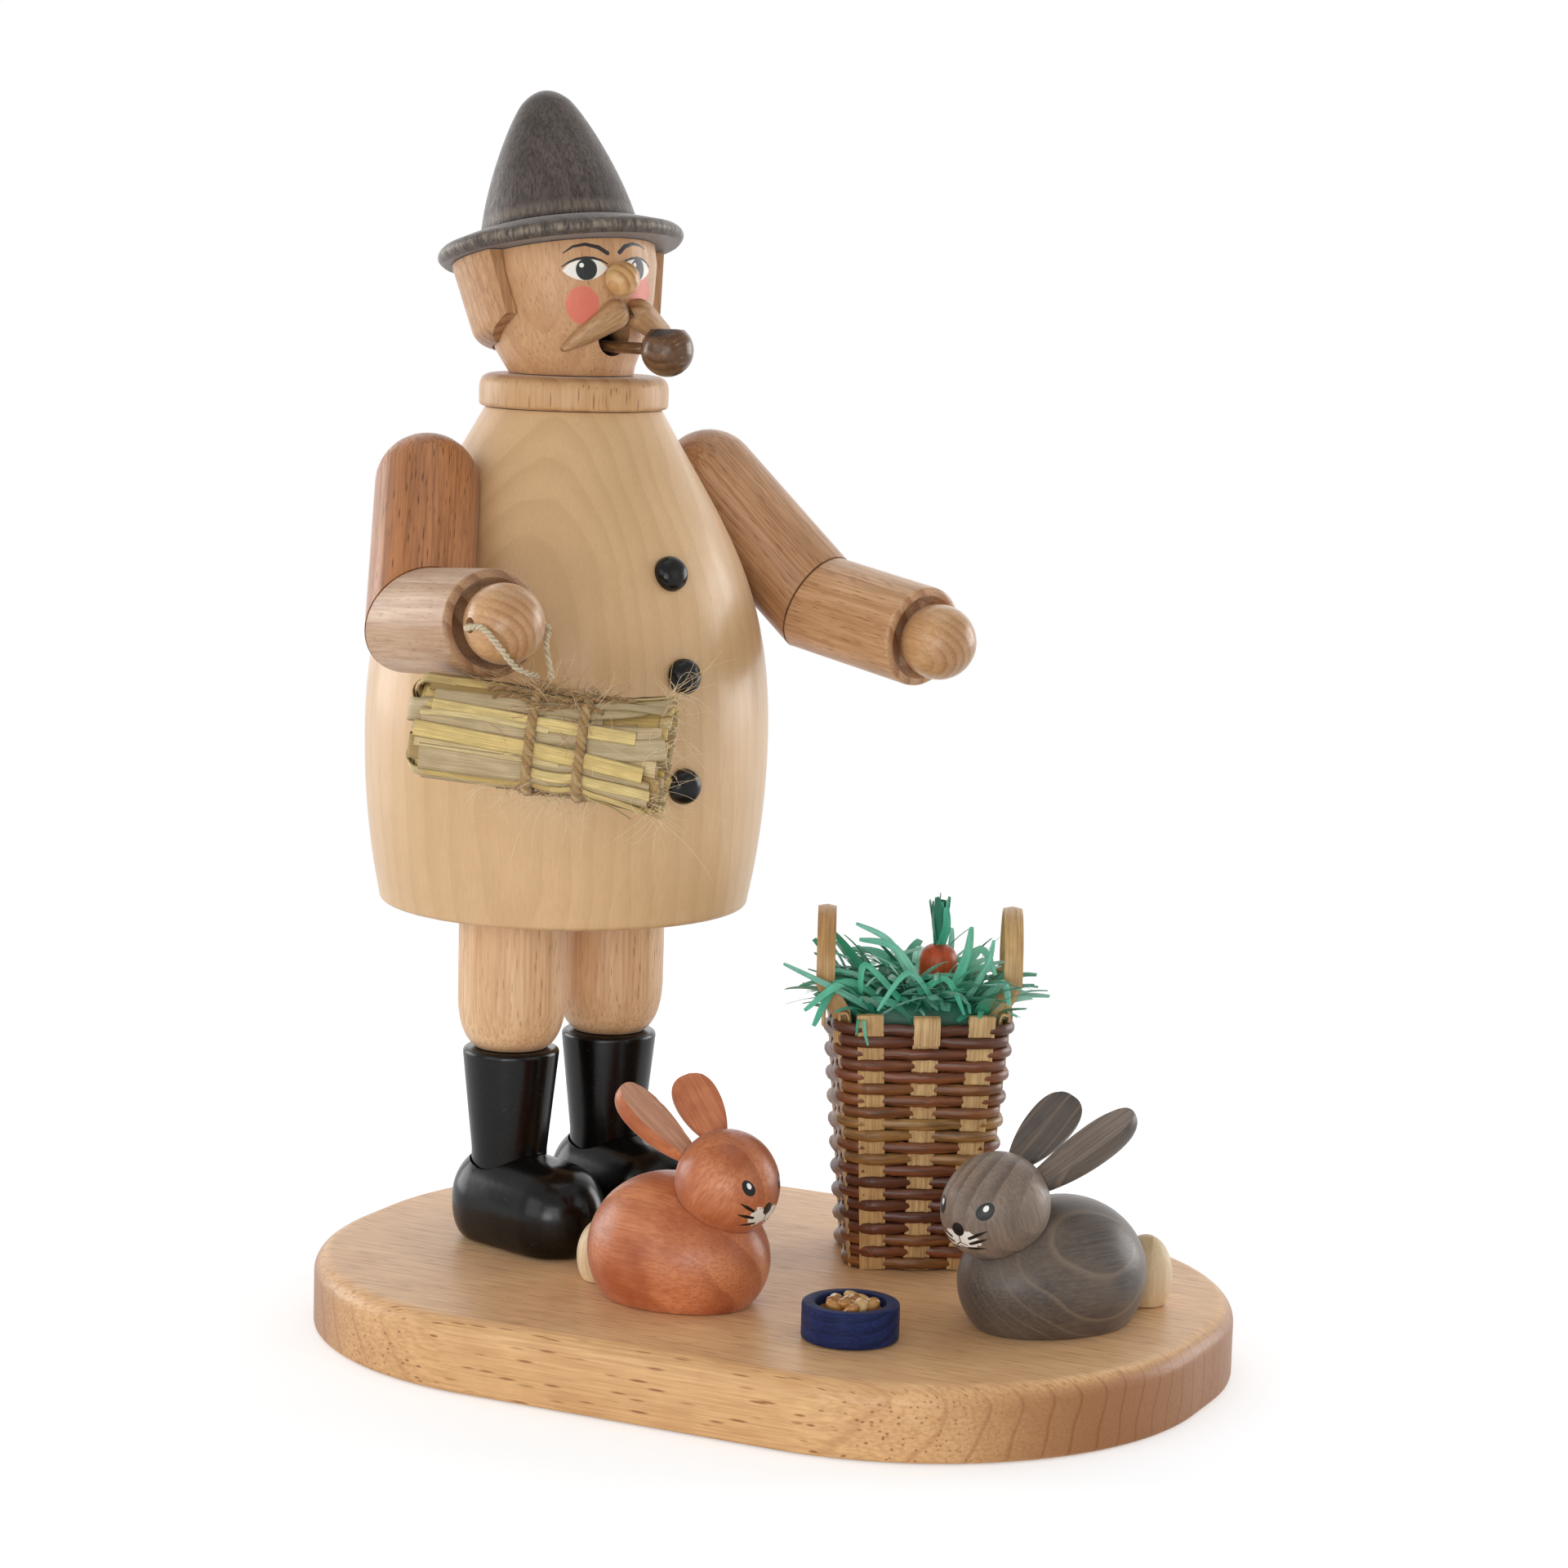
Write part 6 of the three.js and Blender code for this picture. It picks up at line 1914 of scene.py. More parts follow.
    def build_moustache(self, side: Side) -> None:
        """One tapered half of the moustache, cut to the face.

        Args:
            side: Which half.
        """
        radius, length = self.moustache_radius, self.moustache_length
        butt = arc((0, 0), (radius, 0), (radius, radius), 9)
        waist, waist_at = self.moustache_waist
        taper = [(radius * waist, length * waist_at), (0.55, length - 0.4), (0, length)]
        sliver = turned(f"moustache_{side.word}_sliver", [*butt, *taper], 48)
        droop = radians(self.moustache_droop[side])
        sweep = radians(self.moustache_sweep[side])
        level = cos(droop)
        way = Vector((side.value * cos(sweep) * level, sin(sweep) * level, -sin(droop)))
        front = -self.radius_at(self.moustache_height) - self.moustache_stand
        across = self.moustache_side + side.value * self.moustache_apart / 2
        start = mm(across, front, self.moustache_height)
        place(sliver, aimed(way, start))
        carve(sliver, self.form(GAP))
        middle = mm(self.moustache_side + side.value * GAP / 2, 0, 0)
        slice_off(sliver, middle, Vector((-side.value, 0.0, 0.0)))
        place(sliver, self.axis)
        wood = Timber.moustache.material(side.word, self.axis @ aimed(way, start))
        dress(sliver, wood, f"moustache_{side.word}")

    def build_pipe(self) -> None:
        """Bored ball on its stem in the mouth."""
        front = self.radius_at(self.mouth_height)
        height = self.mouth_height - self.pipe_drop
        seat = mm(self.mouth_side + self.pipe_side, -front - self.pipe_reach, height)
        mouth = mm(self.mouth_side, -front, self.mouth_height - self.mouth + self.stem + GAP)
        begin = acos(self.pipe_rim / self.pipe_ball)
        skin = []
        for i in range(25):
            angle = pi - (pi - begin) * i / 24
            skin.append((self.pipe_ball * sin(angle), self.pipe_ball * cos(angle)))
        floor = self.pipe_rim - self.pipe_bore_depth
        bored = [(self.pipe_bore, self.pipe_rim), (self.pipe_bore, floor), (0, floor)]
        ball = turned("pipe_ball", [*skin, *bored], 64)
        upright = self.axis @ Matrix.Translation(seat) @ spun(self.tilt, "X")
        place(ball, upright)
        dress(ball, Timber.pipe.material("ball", upright @ spun(70, "Y"), self.char_rim), "pipe_bowl")
        way = (seat - mouth).normalized()
        reach = (seat - mouth).length / MM - self.pipe_ball - GAP + self.stem_inside
        foot = [(0, 0), (self.stem * 0.85, 0), (self.stem, 0.4)]
        rod = turned("pipe_rod", [*foot, (self.stem, reach), (0, reach)], 32)
        where = self.axis @ aimed(way, mouth - way * self.stem_inside * MM)
        place(rod, where)
        dress(rod, Timber.pipe.material("stem", where), "pipe_stem")

    def char_rim(self, finish: Finish, local: Socket, bare: Socket) -> Painter:
        """Darkens the pipe's flat top and its bore.

        Args:
            finish: Material of the pipe.
            local: Place in the pipe's frame.
            bare: Colour of the wood.

        Returns:
            Painter with the painted colour.
        """
        x, _, _ = finish.split(local)
        painter = Painter(finish, local, bare)
        top = finish.step(finish.math("ABSOLUTE", x), self.pipe_rim - 0.35, self.pipe_rim)
        painter.cover(top, Paint.char, 0.8)
        return painter

    def build_hat(self) -> None:
        """Hat with a thin brim, a groove at the crown's foot and a bored underside."""
        top, edge = self.brim_thickness, self.brim_thickness / 2
        foot = top + self.brim_rise
        peak = foot + self.crown_height
        wall = (self.crown - self.wall_lean, foot + self.wall_pull)
        slope = (self.tip + self.tip_pull / 2, peak - self.tip_pull)
        end = (self.tip, peak - self.tip / 2)
        crown = swell((self.crown, foot + 0.5), wall, slope, end, 24)
        point = arc(end, (self.tip / 2, peak), (0, peak), 8)
        bore, depth = self.peg + GAP, self.peg_length + 0.5
        lip = arc((self.brim - edge, 0), (self.brim + edge / 3, edge), (self.brim - edge, top), 8)
        socket = [(0, depth), (bore, depth), (bore, 0)]
        groove = [(self.crown + self.groove_width, foot), (self.crown - GAP, foot)]
        cone = turned("hat_turned", [*socket, *lip, *groove, *crown, *point[1:]], 128)
        where = self.axis @ shifted(0, 0, self.height + GLUE)
        place(cone, where)
        dress(cone, Stain.hat.material("cone", where, self.rub_hat), "hat")

    def rub_hat(self, finish: Finish, local: Socket, bare: Socket) -> Painter:
        """Stain thinned by rubbing on the brim's edge, and a painted highlight round the crown's foot.

        Args:
            finish: Material of the hat.
            local: Place in the hat's frame.
            bare: Colour of the stain.

        Returns:
            Painter with the painted colour.
        """
        x, y, z = finish.split(local)
        radius = finish.vector("LENGTH", finish.join(x, y))
        painter = Painter(finish, local, bare)
        turn = finish.math("ARCTAN2", x, y)
        around = finish.times(turn, self.rub_lines)
        lines = finish.noise(finish.join(around, finish.times(z, 0.3)), 1.0, 3.0)
        edge = finish.step(radius, self.brim - self.rim_rub[0], self.brim - self.rim_rub[1])
        rim = finish.times(edge, finish.step(lines, *self.rim_lines))
        painter.cover(rim, Paint.rubbed_rim, self.rim_cover)
        # Painted highlight: a lighter, streaked band round the crown's foot.
        low_a, low_b, high_a, high_b = (self.brim_thickness + self.brim_rise + rise for rise in self.band_rub)
        band = finish.times(finish.step(z, low_a, low_b), finish.step(z, high_a, high_b, FADE))
        rubbed = finish.times(band, finish.step(lines, *self.band_lines))
        painter.cover(rubbed, Paint.rubbed_band, self.band_cover)
        painter.cover(finish.step(z, 0.02, 0.12, FADE), Paint.bare_underside, self.underside_cover)
        return painter


@dataclass
class Arms:
    """Two-part arms with mitred elbows, and the hand balls."""

    coat: Coat
    shoulder_height: float = 69.0
    shoulder_out: float = 6.2
    upper: float = 8.3
    upper_out: float = 11.2
    upper_forward: float = 16.3
    upper_drop: float = 19.6
    fore: float = 8.2
    fore_out: float = 2.5
    fore_forward: float = 25.1
    fore_rise: dict[Side, float] = field(default_factory=lambda: {Side.LEFT: -3.3, Side.RIGHT: 2.2})
    cuff_chamfer: float = 0.8
    dish: float = 6.9
    dish_floor: float = 5.5
    dish_depth: float = 3.0
    hand: float = 6.1
    hand_reach: float = 3.5
    hand_bore: float = 1.2

    def joints(self, side: Side) -> tuple[Vector, Vector, Vector]:
        """Shoulder, elbow and wrist in the coat's frame.

        Args:
            side: Which arm.

        Returns:
            The three points.
        """
        out = side.value
        radius = self.coat.radius_at(self.shoulder_height)
        shoulder = mm(out * (radius + self.shoulder_out), 0, self.shoulder_height)
        elbow = shoulder + mm(out * self.upper_out, -self.upper_forward, -self.upper_drop)
        wrist = elbow + mm(out * self.fore_out, -self.fore_forward, self.fore_rise[side])
        return shoulder, elbow, wrist

    def hand_centre(self, side: Side) -> Vector:
        """Middle of the hand ball in the coat's frame."""
        _, elbow, wrist = self.joints(side)
        return wrist + (wrist - elbow).normalized() * self.hand_reach * MM

    def build(self) -> None:
        """Models and dresses both arms."""
        for side in Side:
            self.build_upper(side)
            self.build_fore(side)
            self.build_hand(side)

    def mitre(self, side: Side) -> Vector:
        """Way across the elbow's cut, in the coat's frame."""
        shoulder, elbow, wrist = self.joints(side)
        return ((elbow - shoulder).normalized() + (wrist - elbow).normalized()).normalized()

    def build_upper(self, side: Side) -> None:
        """Upper arm, domed above, hollowed to the coat and mitred below.

        Args:
            side: Which arm.
        """
        shoulder, elbow, _ = self.joints(side)
        radius, length = self.upper, (elbow - shoulder).length / MM
        dome = half_round(radius, radius, radius, 20)[:11]
        low = length + radius
        rod = turned(f"upper_arm_{side.word}_turned", [*dome, (radius, low), (0, low)], 72)
        grain = self.coat.axis @ aimed((elbow - shoulder).normalized(), shoulder)
        place(rod, grain)
        turn = self.coat.axis.to_3x3()
        mitre = self.mitre(side)
        slice_off(rod, self.coat.axis @ (elbow - mitre * GAP / 2 * MM), turn @ mitre)
        carve(rod, self.coat.form(GAP))
        # Painted light and shade: a lighter copy of the beech for the left arm, a darker one for the right.
        wood = Timber.arm_left if side is Side.LEFT else Timber.arm_right
        dress(rod, wood.material(f"upper_{side.word}", grain), f"upper_arm_{side.word}")

    def build_fore(self, side: Side) -> None:
        """Forearm with a dished cuff.

        Args:
            side: Which arm.
        """
        _, elbow, wrist = self.joints(side)
        radius, length = self.fore, (wrist - elbow).length / MM
        soft, deep = self.cuff_chamfer, length - self.dish_depth
        cuff = arc((radius, length - soft), (radius, length), (radius - soft, length), 4)
        dish = [(self.dish, length), (self.dish_floor, deep), (0, deep)]
        rod = turned(f"forearm_{side.word}_turned", [(0, -radius), (radius, -radius), *cuff, *dish], 72)
        grain = self.coat.axis @ aimed((wrist - elbow).normalized(), elbow)
        place(rod, grain)
        mitre = self.mitre(side)
        slice_off(rod, self.coat.axis @ (elbow + mitre * GAP / 2 * MM), self.coat.axis.to_3x3() @ -mitre)
        # Painted light and shade: a lighter copy of the beech for the left forearm, a darker one for the
        # right.
        wood = Timber.forearm if side is Side.LEFT else Timber.forearm_right
        dress(rod, wood.material(f"fore_{side.word}", grain), f"forearm_{side.word}")

    def build_hand(self, side: Side) -> None:
        """Hand ball, the right one bored for the twine.

        Args:
            side: Which arm.
        """
        _, elbow, wrist = self.joints(side)
        way = (wrist - elbow).normalized()
        centre = self.hand_centre(side)
        ball = turned(f"hand_{side.word}_ball", half_round(self.hand, self.hand, self.hand), 64)
        place(ball, aimed(way, centre))
        slice_off(ball, wrist + way * (GAP - self.dish_depth) * MM, -way)
        if side is Side.RIGHT:
            long, bore = 2 * self.hand, self.hand_bore
            drill = turned("twine_drill", [(0, -long), (bore, -long), (bore, long), (0, long)], 24)
            carve(ball, place(drill, aimed(Vector((1.0, 0.0, 0.0)), centre)))
        place(ball, self.coat.axis)
        grain = self.coat.axis @ aimed(way, centre)
        dress(ball, Timber.hand.material(side.word, grain), f"hand_{side.word}")


@dataclass(frozen=True)
class FrontBlade:
    """Broad blade on the bundle's front: places along it with their heights, width, lift and shade."""

    points: tuple[Pair, Pair, Pair]
    width: float
    lift: float
    tint: float


@dataclass(frozen=True)
class HairKind:
    """Loose jute hairs of one kind: where they grow, how they lean, their thickness and shades."""

    span: Pair | None = None
    side: float = 0.0
    scatter: float = 0.0
    lean: float = 0.0
    stretch: float = 1.0
    radius: float = 0.04
    tints: Pair = (0.4, 1.0)


class Hair(Enum):
    """Where a loose jute hair grows: cut end, underside, brown mat under the hand, or a tie."""

    END = HairKind(lean=0.7)
    UNDER = HairKind((-9.0, 8.0), 0.75, 0.07)
    MAT = HairKind((-11.0, 7.0), 0.25, 0.08, stretch=2.5, radius=0.06, tints=(0.0, 0.25))
    TIE = HairKind()


FRONT_BLADES = (
    FrontBlade(((-18.5, 6.2), (0.0, 6.6), (13.0, 7.4)), 1.4, 0.1, 0.06),
    FrontBlade(((-17.5, 5.0), (6.7, 5.7), (19.4, 7.0)), 2.3, 0.2, 0.86),
    FrontBlade(((-19.0, 1.9), (-4.0, 1.7), (18.6, 3.4)), 3.2, 0.1, 0.72),
    FrontBlade(((-18.8, -3.9), (0.0, -4.0), (17.5, -4.4)), 4.4, 0.1, 0.8),
    FrontBlade(((-17.6, 3.7), (-2.0, 3.2), (14.2, 2.9)), 2.1, 0.5, 0.28),
    FrontBlade(((-19.9, 0.2), (-2.0, -0.7), (16.2, -2.1)), 2.5, 0.6, 0.24),
    FrontBlade(((6.0, 0.6), (13.0, 1.2), (19.6, 2.3)), 3.3, 0.3, 0.93),
    FrontBlade(((-2.0, -4.2), (8.0, -4.3), (17.8, -4.3)), 1.9, 0.5, 0.34),
    FrontBlade(((1.0, -6.0), (9.0, -6.1), (17.0, -6.6)), 1.5, 0.5, 0.3),
    FrontBlade(((4.0, -6.9), (9.0, -7.3), (14.6, -8.6)), 1.2, 0.4, 0.4),
    FrontBlade(((-19.6, -1.8), (-10.0, -2.0), (2.0, -2.3)), 1.4, 0.4, 0.52),
    FrontBlade(((-18.0, -6.4), (-4.0, -6.3), (6.0, -6.6)), 1.6, 0.2, 0.2),
    FrontBlade(((5.0, 6.3), (12.0, 6.5), (18.8, 6.0)), 1.5, 0.5, 0.9),
    FrontBlade(((-19.2, 2.6), (-12.0, 2.9), (0.0, 2.4)), 0.9, 0.6, 0.46),
)


@dataclass
class StrawBundle:
    """Straw and grass blades tied twice with jute, on a twine through the right hand."""

    arms: Arms
    length: float = 39.5
    thickness: float = 14.0
    height: float = 15.0
    corner: float = 5.4
    waist: float = 0.7
    turn: float = -40.5
    dip: float = 6.0
    open_end: float = 17.8
    tie_places: Pair = (-2.7, 4.9)
    tie_radius: float = 0.65
    tie_reach: float = 1.6
    cord_radius: float = 0.85
    twine_radius: float = 0.5
    twine_stand: float = 0.8
    knot_width: float = 1.4
    blades: int = 68
    layers: tuple[float, ...] = (1.15, 0.8, 0.5, 0.2)
    blade_widths: tuple[float, ...] = (1.6, 2.0, 2.4, 3.0, 3.6, 4.4)
    blade_tints: tuple[float, ...] = (0.1, 0.22, 0.3, 0.36, 0.5, 0.7, 0.82, 0.95)
    blade_thickness: float = 0.26
    front_thickness: float = 0.3
    width_spread: Pair = (0.85, 1.1)
    tint_spread: float = 0.05
    short_spread: float = 4.0
    short_depth: float = 1.3
    drift_spread: float = 0.045
    lifts: Pair = (-0.1, 0.35)
    ripples: float = 5.0
    layer_shift: float = 0.27
    place_spread: float = 0.4
    fold_room: Pair = (0.2, 2.0)
    folded: float = 0.65
    fold_radii: Pair = (0.8, 2.3)
    front_cut: float = 2.0
    front_cut_from: float = 5.0
    front_cut_run: float = 14.0
    cut_blades: int = 90
    cut_reach: float = 0.86
    cut_depth: float = 5.0
    cut_bend: float = 2.0
    cut_uneven: float = 2.6
    cut_spread: float = 0.2
    cut_widths: Pair = (1.2, 2.6)
    cut_tints: tuple[float, ...] = (0.2, 0.3, 0.45, 0.7, 0.9)
    core_rings: int = 25
    core_inset: float = 1.5
    core_short: Pair = (1.4, 3.0)
    yarns: tuple[Triple, ...] = (
        (-10.0, 9.0, 0.3), (-9.0, 7.5, 0.33), (-4.0, 10.5, 0.27), (-7.5, 7.5, 0.69),
    )
    yarn_wave: float = 0.012
    yarn_climb: float = 1.3
    yarn_sink: float = 0.6
    yarn_stand: float = 0.4
    yarn_over: float = 0.9
    yarn_radii: Pair = (0.35, 0.5)
    hairs: int = 700
    hair_stand: float = 0.4
    hair_rise: Pair = (0.1, 0.9)
    hair_curl: float = 1.3
    long_hairs: Pair = (6.0, 13.0)
    short_hairs: Pair = (2.0, 8.0)
    hair_order: tuple[Hair, ...] = (Hair.END, Hair.UNDER, Hair.UNDER, Hair.MAT, Hair.TIE)
    flare: float = 1.8
    seed: int = 7

    @property
    def axis(self) -> Matrix:
        """Frame in the bundle's middle with X along it."""
        low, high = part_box("straw_bundle")
        middle = Matrix.Translation((low + high) / 2)
        turn = spun(self.arms.coat.facing + self.turn, "Z")
        return middle @ turn @ spun(self.dip, "Y")

    def rim(self, share: float, inset: float) -> tuple[Vector, Vector]:
        """Point round the section at a share of its way, and the way out from it.

        Args:
            share: Place round the section, 0 to 1.
            inset: How far inside the outside, in millimetres.

        Returns:
            Point and outward direction, across the bundle.
        """
        corner = max(self.corner - inset, 1.0)
        ring = rounded_ring(self.thickness / 2 - inset, self.height / 2 - inset, corner, 0.0, 12)
        steps = [(b - a).length for a, b in zip(ring, [*ring[1:], ring[0]])]
        goal = share % 1.0 * sum(steps)
        for i, step in enumerate(steps):
            if goal <= step:
                a, b = ring[i], ring[(i + 1) % len(ring)]
                p = a.lerp(b, goal / step if step else 0.0)
                edge = (b - a).normalized()
                return Vector((0.0, p.x, p.y)), Vector((0.0, edge.y, -edge.x))
            goal -= step
        return Vector((0.0, ring[0].x, ring[0].y)), Vector((0.0, 1.0, 0.0))

    def draw_in(self, x: float) -> float:
        """How far the ties draw the bundle in at a place along it.

        Args:
            x: Place along the bundle.

        Returns:
            Millimetres, negative where it flares.
        """
        drawn = self.waist * sum(exp(-((x - tie) / self.tie_reach) ** 2) for tie in self.tie_places)
        open_end = max(0.0, (x - self.tie_places[1]) / (self.open_end - self.tie_places[1]))
        return drawn - self.flare * open_end**2

    def front(self, x: float, z: float, lift: float) -> tuple[Vector, Vector]:
        """Point on the bundle's front at a place along and a height, and the way out from it.

        Args:
            x: Place along the bundle.
            z: Height on its front.
            lift: How far it stands off.

        Returns:
            Point and outward direction.
        """
        flat = self.height / 2 - self.corner
        reach = min(max((abs(z) - flat) / self.corner, 0.0), 0.98)
        out = Vector((0.0, -sqrt(1 - reach**2), copysign(reach, z)))
        lift -= self.draw_in(x)
        spare = max(0.0, abs(z) - self.height / 2)
        level = copysign(min(abs(z), flat), z) + copysign(spare, z)
        point = mm(x, -self.thickness / 2 + self.corner, level)
        return point + out * (self.corner + lift) * MM, out

    def front_blades(self, strands: Strands) -> None:
        """The broad blades that lie on top at the front.

        Args:
            strands: Mesh of the bundle.
        """
        for blade in FRONT_BLADES:
            line, ups = [], []
            route = []
            for x, z in blade.points:
                shorter = self.front_cut * (x - self.front_cut_from) / self.front_cut_run
                route.append(mm(min(x, x - shorter), 0, z))
            for place_on in smooth_line(route, 9):
                point, out = self.front(place_on.x / MM, place_on.z / MM, blade.lift)
                line.append(point)
                ups.append(out)
            strands.sweep(line, flat_outline(blade.width, self.front_thickness), ups, blade.tint)

    def blade(self, strands: Strands, chance: random.Random, share: float, inset: float) -> None:
        """One flat blade along the bundle, some folded back at the left end.

        Args:
            strands: Mesh of the bundle.
            chance: Unevenness.
            share: Place round the section, 0 to 1.
            inset: How far inside the outside.
        """
        half = self.length / 2
        width = chance.choice(self.blade_widths) * chance.uniform(*self.width_spread)
        start = self.open_end - abs(chance.gauss(0.0, self.short_spread)) * (self.short_depth - inset)
        end = -half + chance.uniform(*self.fold_room)
        drift = chance.gauss(0.0, self.drift_spread)
        lift = chance.uniform(*self.lifts)
        flutter = chance.uniform(0.0, 6.0)
        line, ups = [], []
        steps = 22
        for i in range(steps + 1):
            t = i / steps
            x = start + (end - start) * t
            wave = lift * sin(self.ripples * t + flutter)
            point, out = self.rim(share + drift * (t - 0.5), inset + self.draw_in(x) - wave)
            line.append(Vector((x * MM, point.y, point.z)))
            ups.append(out)
        if chance.random() < self.folded:
            radius = chance.uniform(*self.fold_radii) * MM
            last, out = line[-1], ups[-1]
            for i in range(1, 9):
                angle = pi * i / 8
                away = Vector((-sin(angle) * radius, 0, 0))
                line.append(last + away - out * radius * (1 - cos(angle)))
                ups.append((out * cos(angle) + Vector((-sin(angle), 0, 0))).normalized())
        tint = chance.choice(self.blade_tints) + chance.uniform(-self.tint_spread, self.tint_spread)
        strands.sweep(line, flat_outline(width, self.blade_thickness), ups, tint)

    def cut_ends(self, strands: Strands, chance: random.Random) -> None:
        """Short cut blades that fill the open right end.

        Args:
            strands: Mesh of the bundle.
            chance: Unevenness.
        """
        end = self.open_end
        for i in range(self.cut_blades):
            reach = sqrt((i + 0.5) / self.cut_blades) * self.cut_reach
            angle = GOLDEN_TURN * i
            y, z = reach * cos(angle) * self.thickness / 2, reach * sin(angle) * self.height / 2
            spread = 1.0 + self.cut_spread * chance.random()
            tip = mm(end - chance.uniform(0.0, self.cut_uneven), y * spread, z * spread)
            line = [mm(end - self.cut_depth, y, z), mm(end - self.cut_bend, y, z), tip]
            flat = Vector((0.0, chance.gauss(0, 1), chance.gauss(0, 1))).normalized()
            outline = flat_outline(chance.uniform(*self.cut_widths), self.blade_thickness)
            strands.sweep(line, outline, flat, chance.choice(self.cut_tints))

    def core(self, strands: Strands) -> None:
        """Dark filling under the blades, tinted darkest as painted shade in the gaps between them.

        Args:
            strands: Mesh of the bundle.
        """
        start, spare = -self.length / 2 + self.core_short[0], sum(self.core_short)
        run = self.length / 2 + self.open_end - spare
        rings = []
        for i in range(self.core_rings):
            x = start + run * i / (self.core_rings - 1)
            inset = self.core_inset + self.draw_in(x)
            half_x, half_y = self.thickness / 2 - inset, self.height / 2 - inset
            ring = rounded_ring(half_x, half_y, self.corner - self.core_inset, 0.0, 6)
            rings.append([Vector((x * MM, p.x, p.y)) for p in ring])
        # Darkest tint: painted shade between the blades.
        strands.skin(rings, 0.05, False, [sin(0.9 * i) for i in range(len(rings[0]))])

    def build(self) -> None:
        """Models and dresses the blades, ties, fuzz and twine."""
        chance = random.Random(self.seed)
        strands = Strands()
        self.core(strands)
        each = self.blades // len(self.layers)
        for layer, inset in enumerate(self.layers):
            for i in range(each):
                shift = self.layer_shift * layer + chance.uniform(-self.place_spread, self.place_spread)
                share = (i + shift) / each
                self.blade(strands, chance, share, inset)
        self.front_blades(strands)
        self.cut_ends(strands, chance)
        bundle = place(strands.build("straw_blades"), self.axis)
        dress(bundle, Strand.straw.material(), "straw_bundle")
        jute = Strand.jute.material()
        for name, x in zip(("left", "right"), self.tie_places):
            self.build_tie(name, x, jute)
        self.build_yarn(jute)
        self.build_fuzz()
        self.build_twine()

    def build_yarn(self, jute: Material) -> None:
        """Loose jute yarn that lies along the top and the underside between the ties.

        Args:
            jute: Its finish.
        """
        chance = random.Random(self.seed + 3)
        strands = Strands()
        for first, last, share in self.yarns:
            line, ups = [], []
            for i in range(41):
                x = first + (last - first) * i / 40
                wave = self.yarn_wave * sin(0.25 * i + 9 * share)
                over = sum(exp(-((x - tie) / self.yarn_climb) ** 2) for tie in self.tie_places)
                point, out = self.rim(share + wave, self.draw_in(x) * self.yarn_sink)
                stand = self.yarn_stand + self.yarn_over * over
                line.append(Vector((x * MM, point.y, point.z)) + out * stand * MM)
                ups.append(out)
            twist(strands, line, ups, chance.uniform(*self.yarn_radii), 9, False, (0.0, 0.25, 0.45))
        yarn = place(strands.build("jute_yarn"), self.axis)
        attach(yarn, jute, "bundle_tie_left")

    def build_tie(self, name: str, x: float, jute: Material) -> None:
        """Two-ply jute cord round the bundle.

        Args:
            name: Which tie.
            x: Place along the bundle.
            jute: Its finish.
        """
        line, ups = [], []
        for i in range(96):
            point, out = self.rim(i / 96, self.waist)
            line.append(Vector((x * MM, point.y, point.z)) + out * (GAP + self.tie_radius) * MM)
            ups.append(out)
        strands = Strands()
        twist(strands, line, ups, self.cord_radius, 14, True, (0.3, 0.55, 0.8))
        tie = place(strands.build(f"jute_tie_{name}"), self.axis)
        dress(tie, jute, f"bundle_tie_{name}")

    def build_fuzz(self) -> None:
        """Loose jute hairs along the ties and at the cut end, and a brown mat on top under the hand."""
        chance = random.Random(self.seed + 1)
        strands = Strands()
        for i in range(self.hairs):
            hair = self.hair_order[i % len(self.hair_order)]
            kind = hair.value
            x = chance.choice(self.tie_places) + chance.gauss(0, self.tie_reach)
            share = chance.random()
            if hair is Hair.END:
                x = self.open_end - chance.uniform(0, self.cut_bend)
            elif kind.span:
                x = chance.uniform(*kind.span)
                share = kind.side + chance.gauss(0, kind.scatter)
            point, out = self.rim(share, self.draw_in(x))
            start = Vector((x * MM, point.y, point.z)) + out * self.hair_stand * MM
            along = chance.gauss(kind.lean, 1.0) * kind.stretch
            rising = out * chance.uniform(*self.hair_rise)
            way = (rising + Vector((along, chance.gauss(0, 0.6), chance.gauss(0, 0.5)))).normalized()
            curl = Vector((chance.gauss(0, 1), chance.gauss(0, 1), chance.gauss(-0.2, 1)))
            long = chance.uniform(*(self.long_hairs if i % 7 == 0 else self.short_hairs)) * MM
            line = [start]
            steps = 8
            for k in range(steps):
                bent = way + curl * (k / steps) ** 1.5 * self.hair_curl
                line.append(line[-1] + bent.normalized() * long / steps)
            tint = chance.uniform(*kind.tints)
            outline = round_outline(kind.radius, 3)
            strands.sweep(line, outline, Vector((0.31, 0.22, 0.92)), tint, False, lambda t: 1.0 - 0.5 * t)
        fuzz = place(strands.build("jute_hairs"), self.axis)
        attach(fuzz, Strand.fuzz.material(), "bundle_tie_left")

    def build_twine(self) -> None:
        """Pale two-ply twine from the left tie through the hand and back."""
        hand = self.arms.hand_centre(Side.RIGHT)
        body = self.arms.coat.axis
        tie_top = self.height / 2 - self.waist + 2 * self.tie_radius + 2 * GAP + self.twine_radius
        round_hand = (self.arms.hand + self.twine_radius + self.twine_stand) * MM

        def on_tie(along: float) -> Vector:
            """Point on top of the left tie."""
            return self.axis @ mm(self.tie_places[0] + along, 0, tie_top)

        def beside(x: float, y: float, z: float) -> Vector:
            """Point just off the hand in a direction."""
            return body @ (hand + Vector((x, y, z)).normalized() * round_hand)

        def in_bore(share: float) -> Vector:
            """Point in the hand's bore."""
            return body @ (hand + mm(share * self.arms.hand, 0, 0))

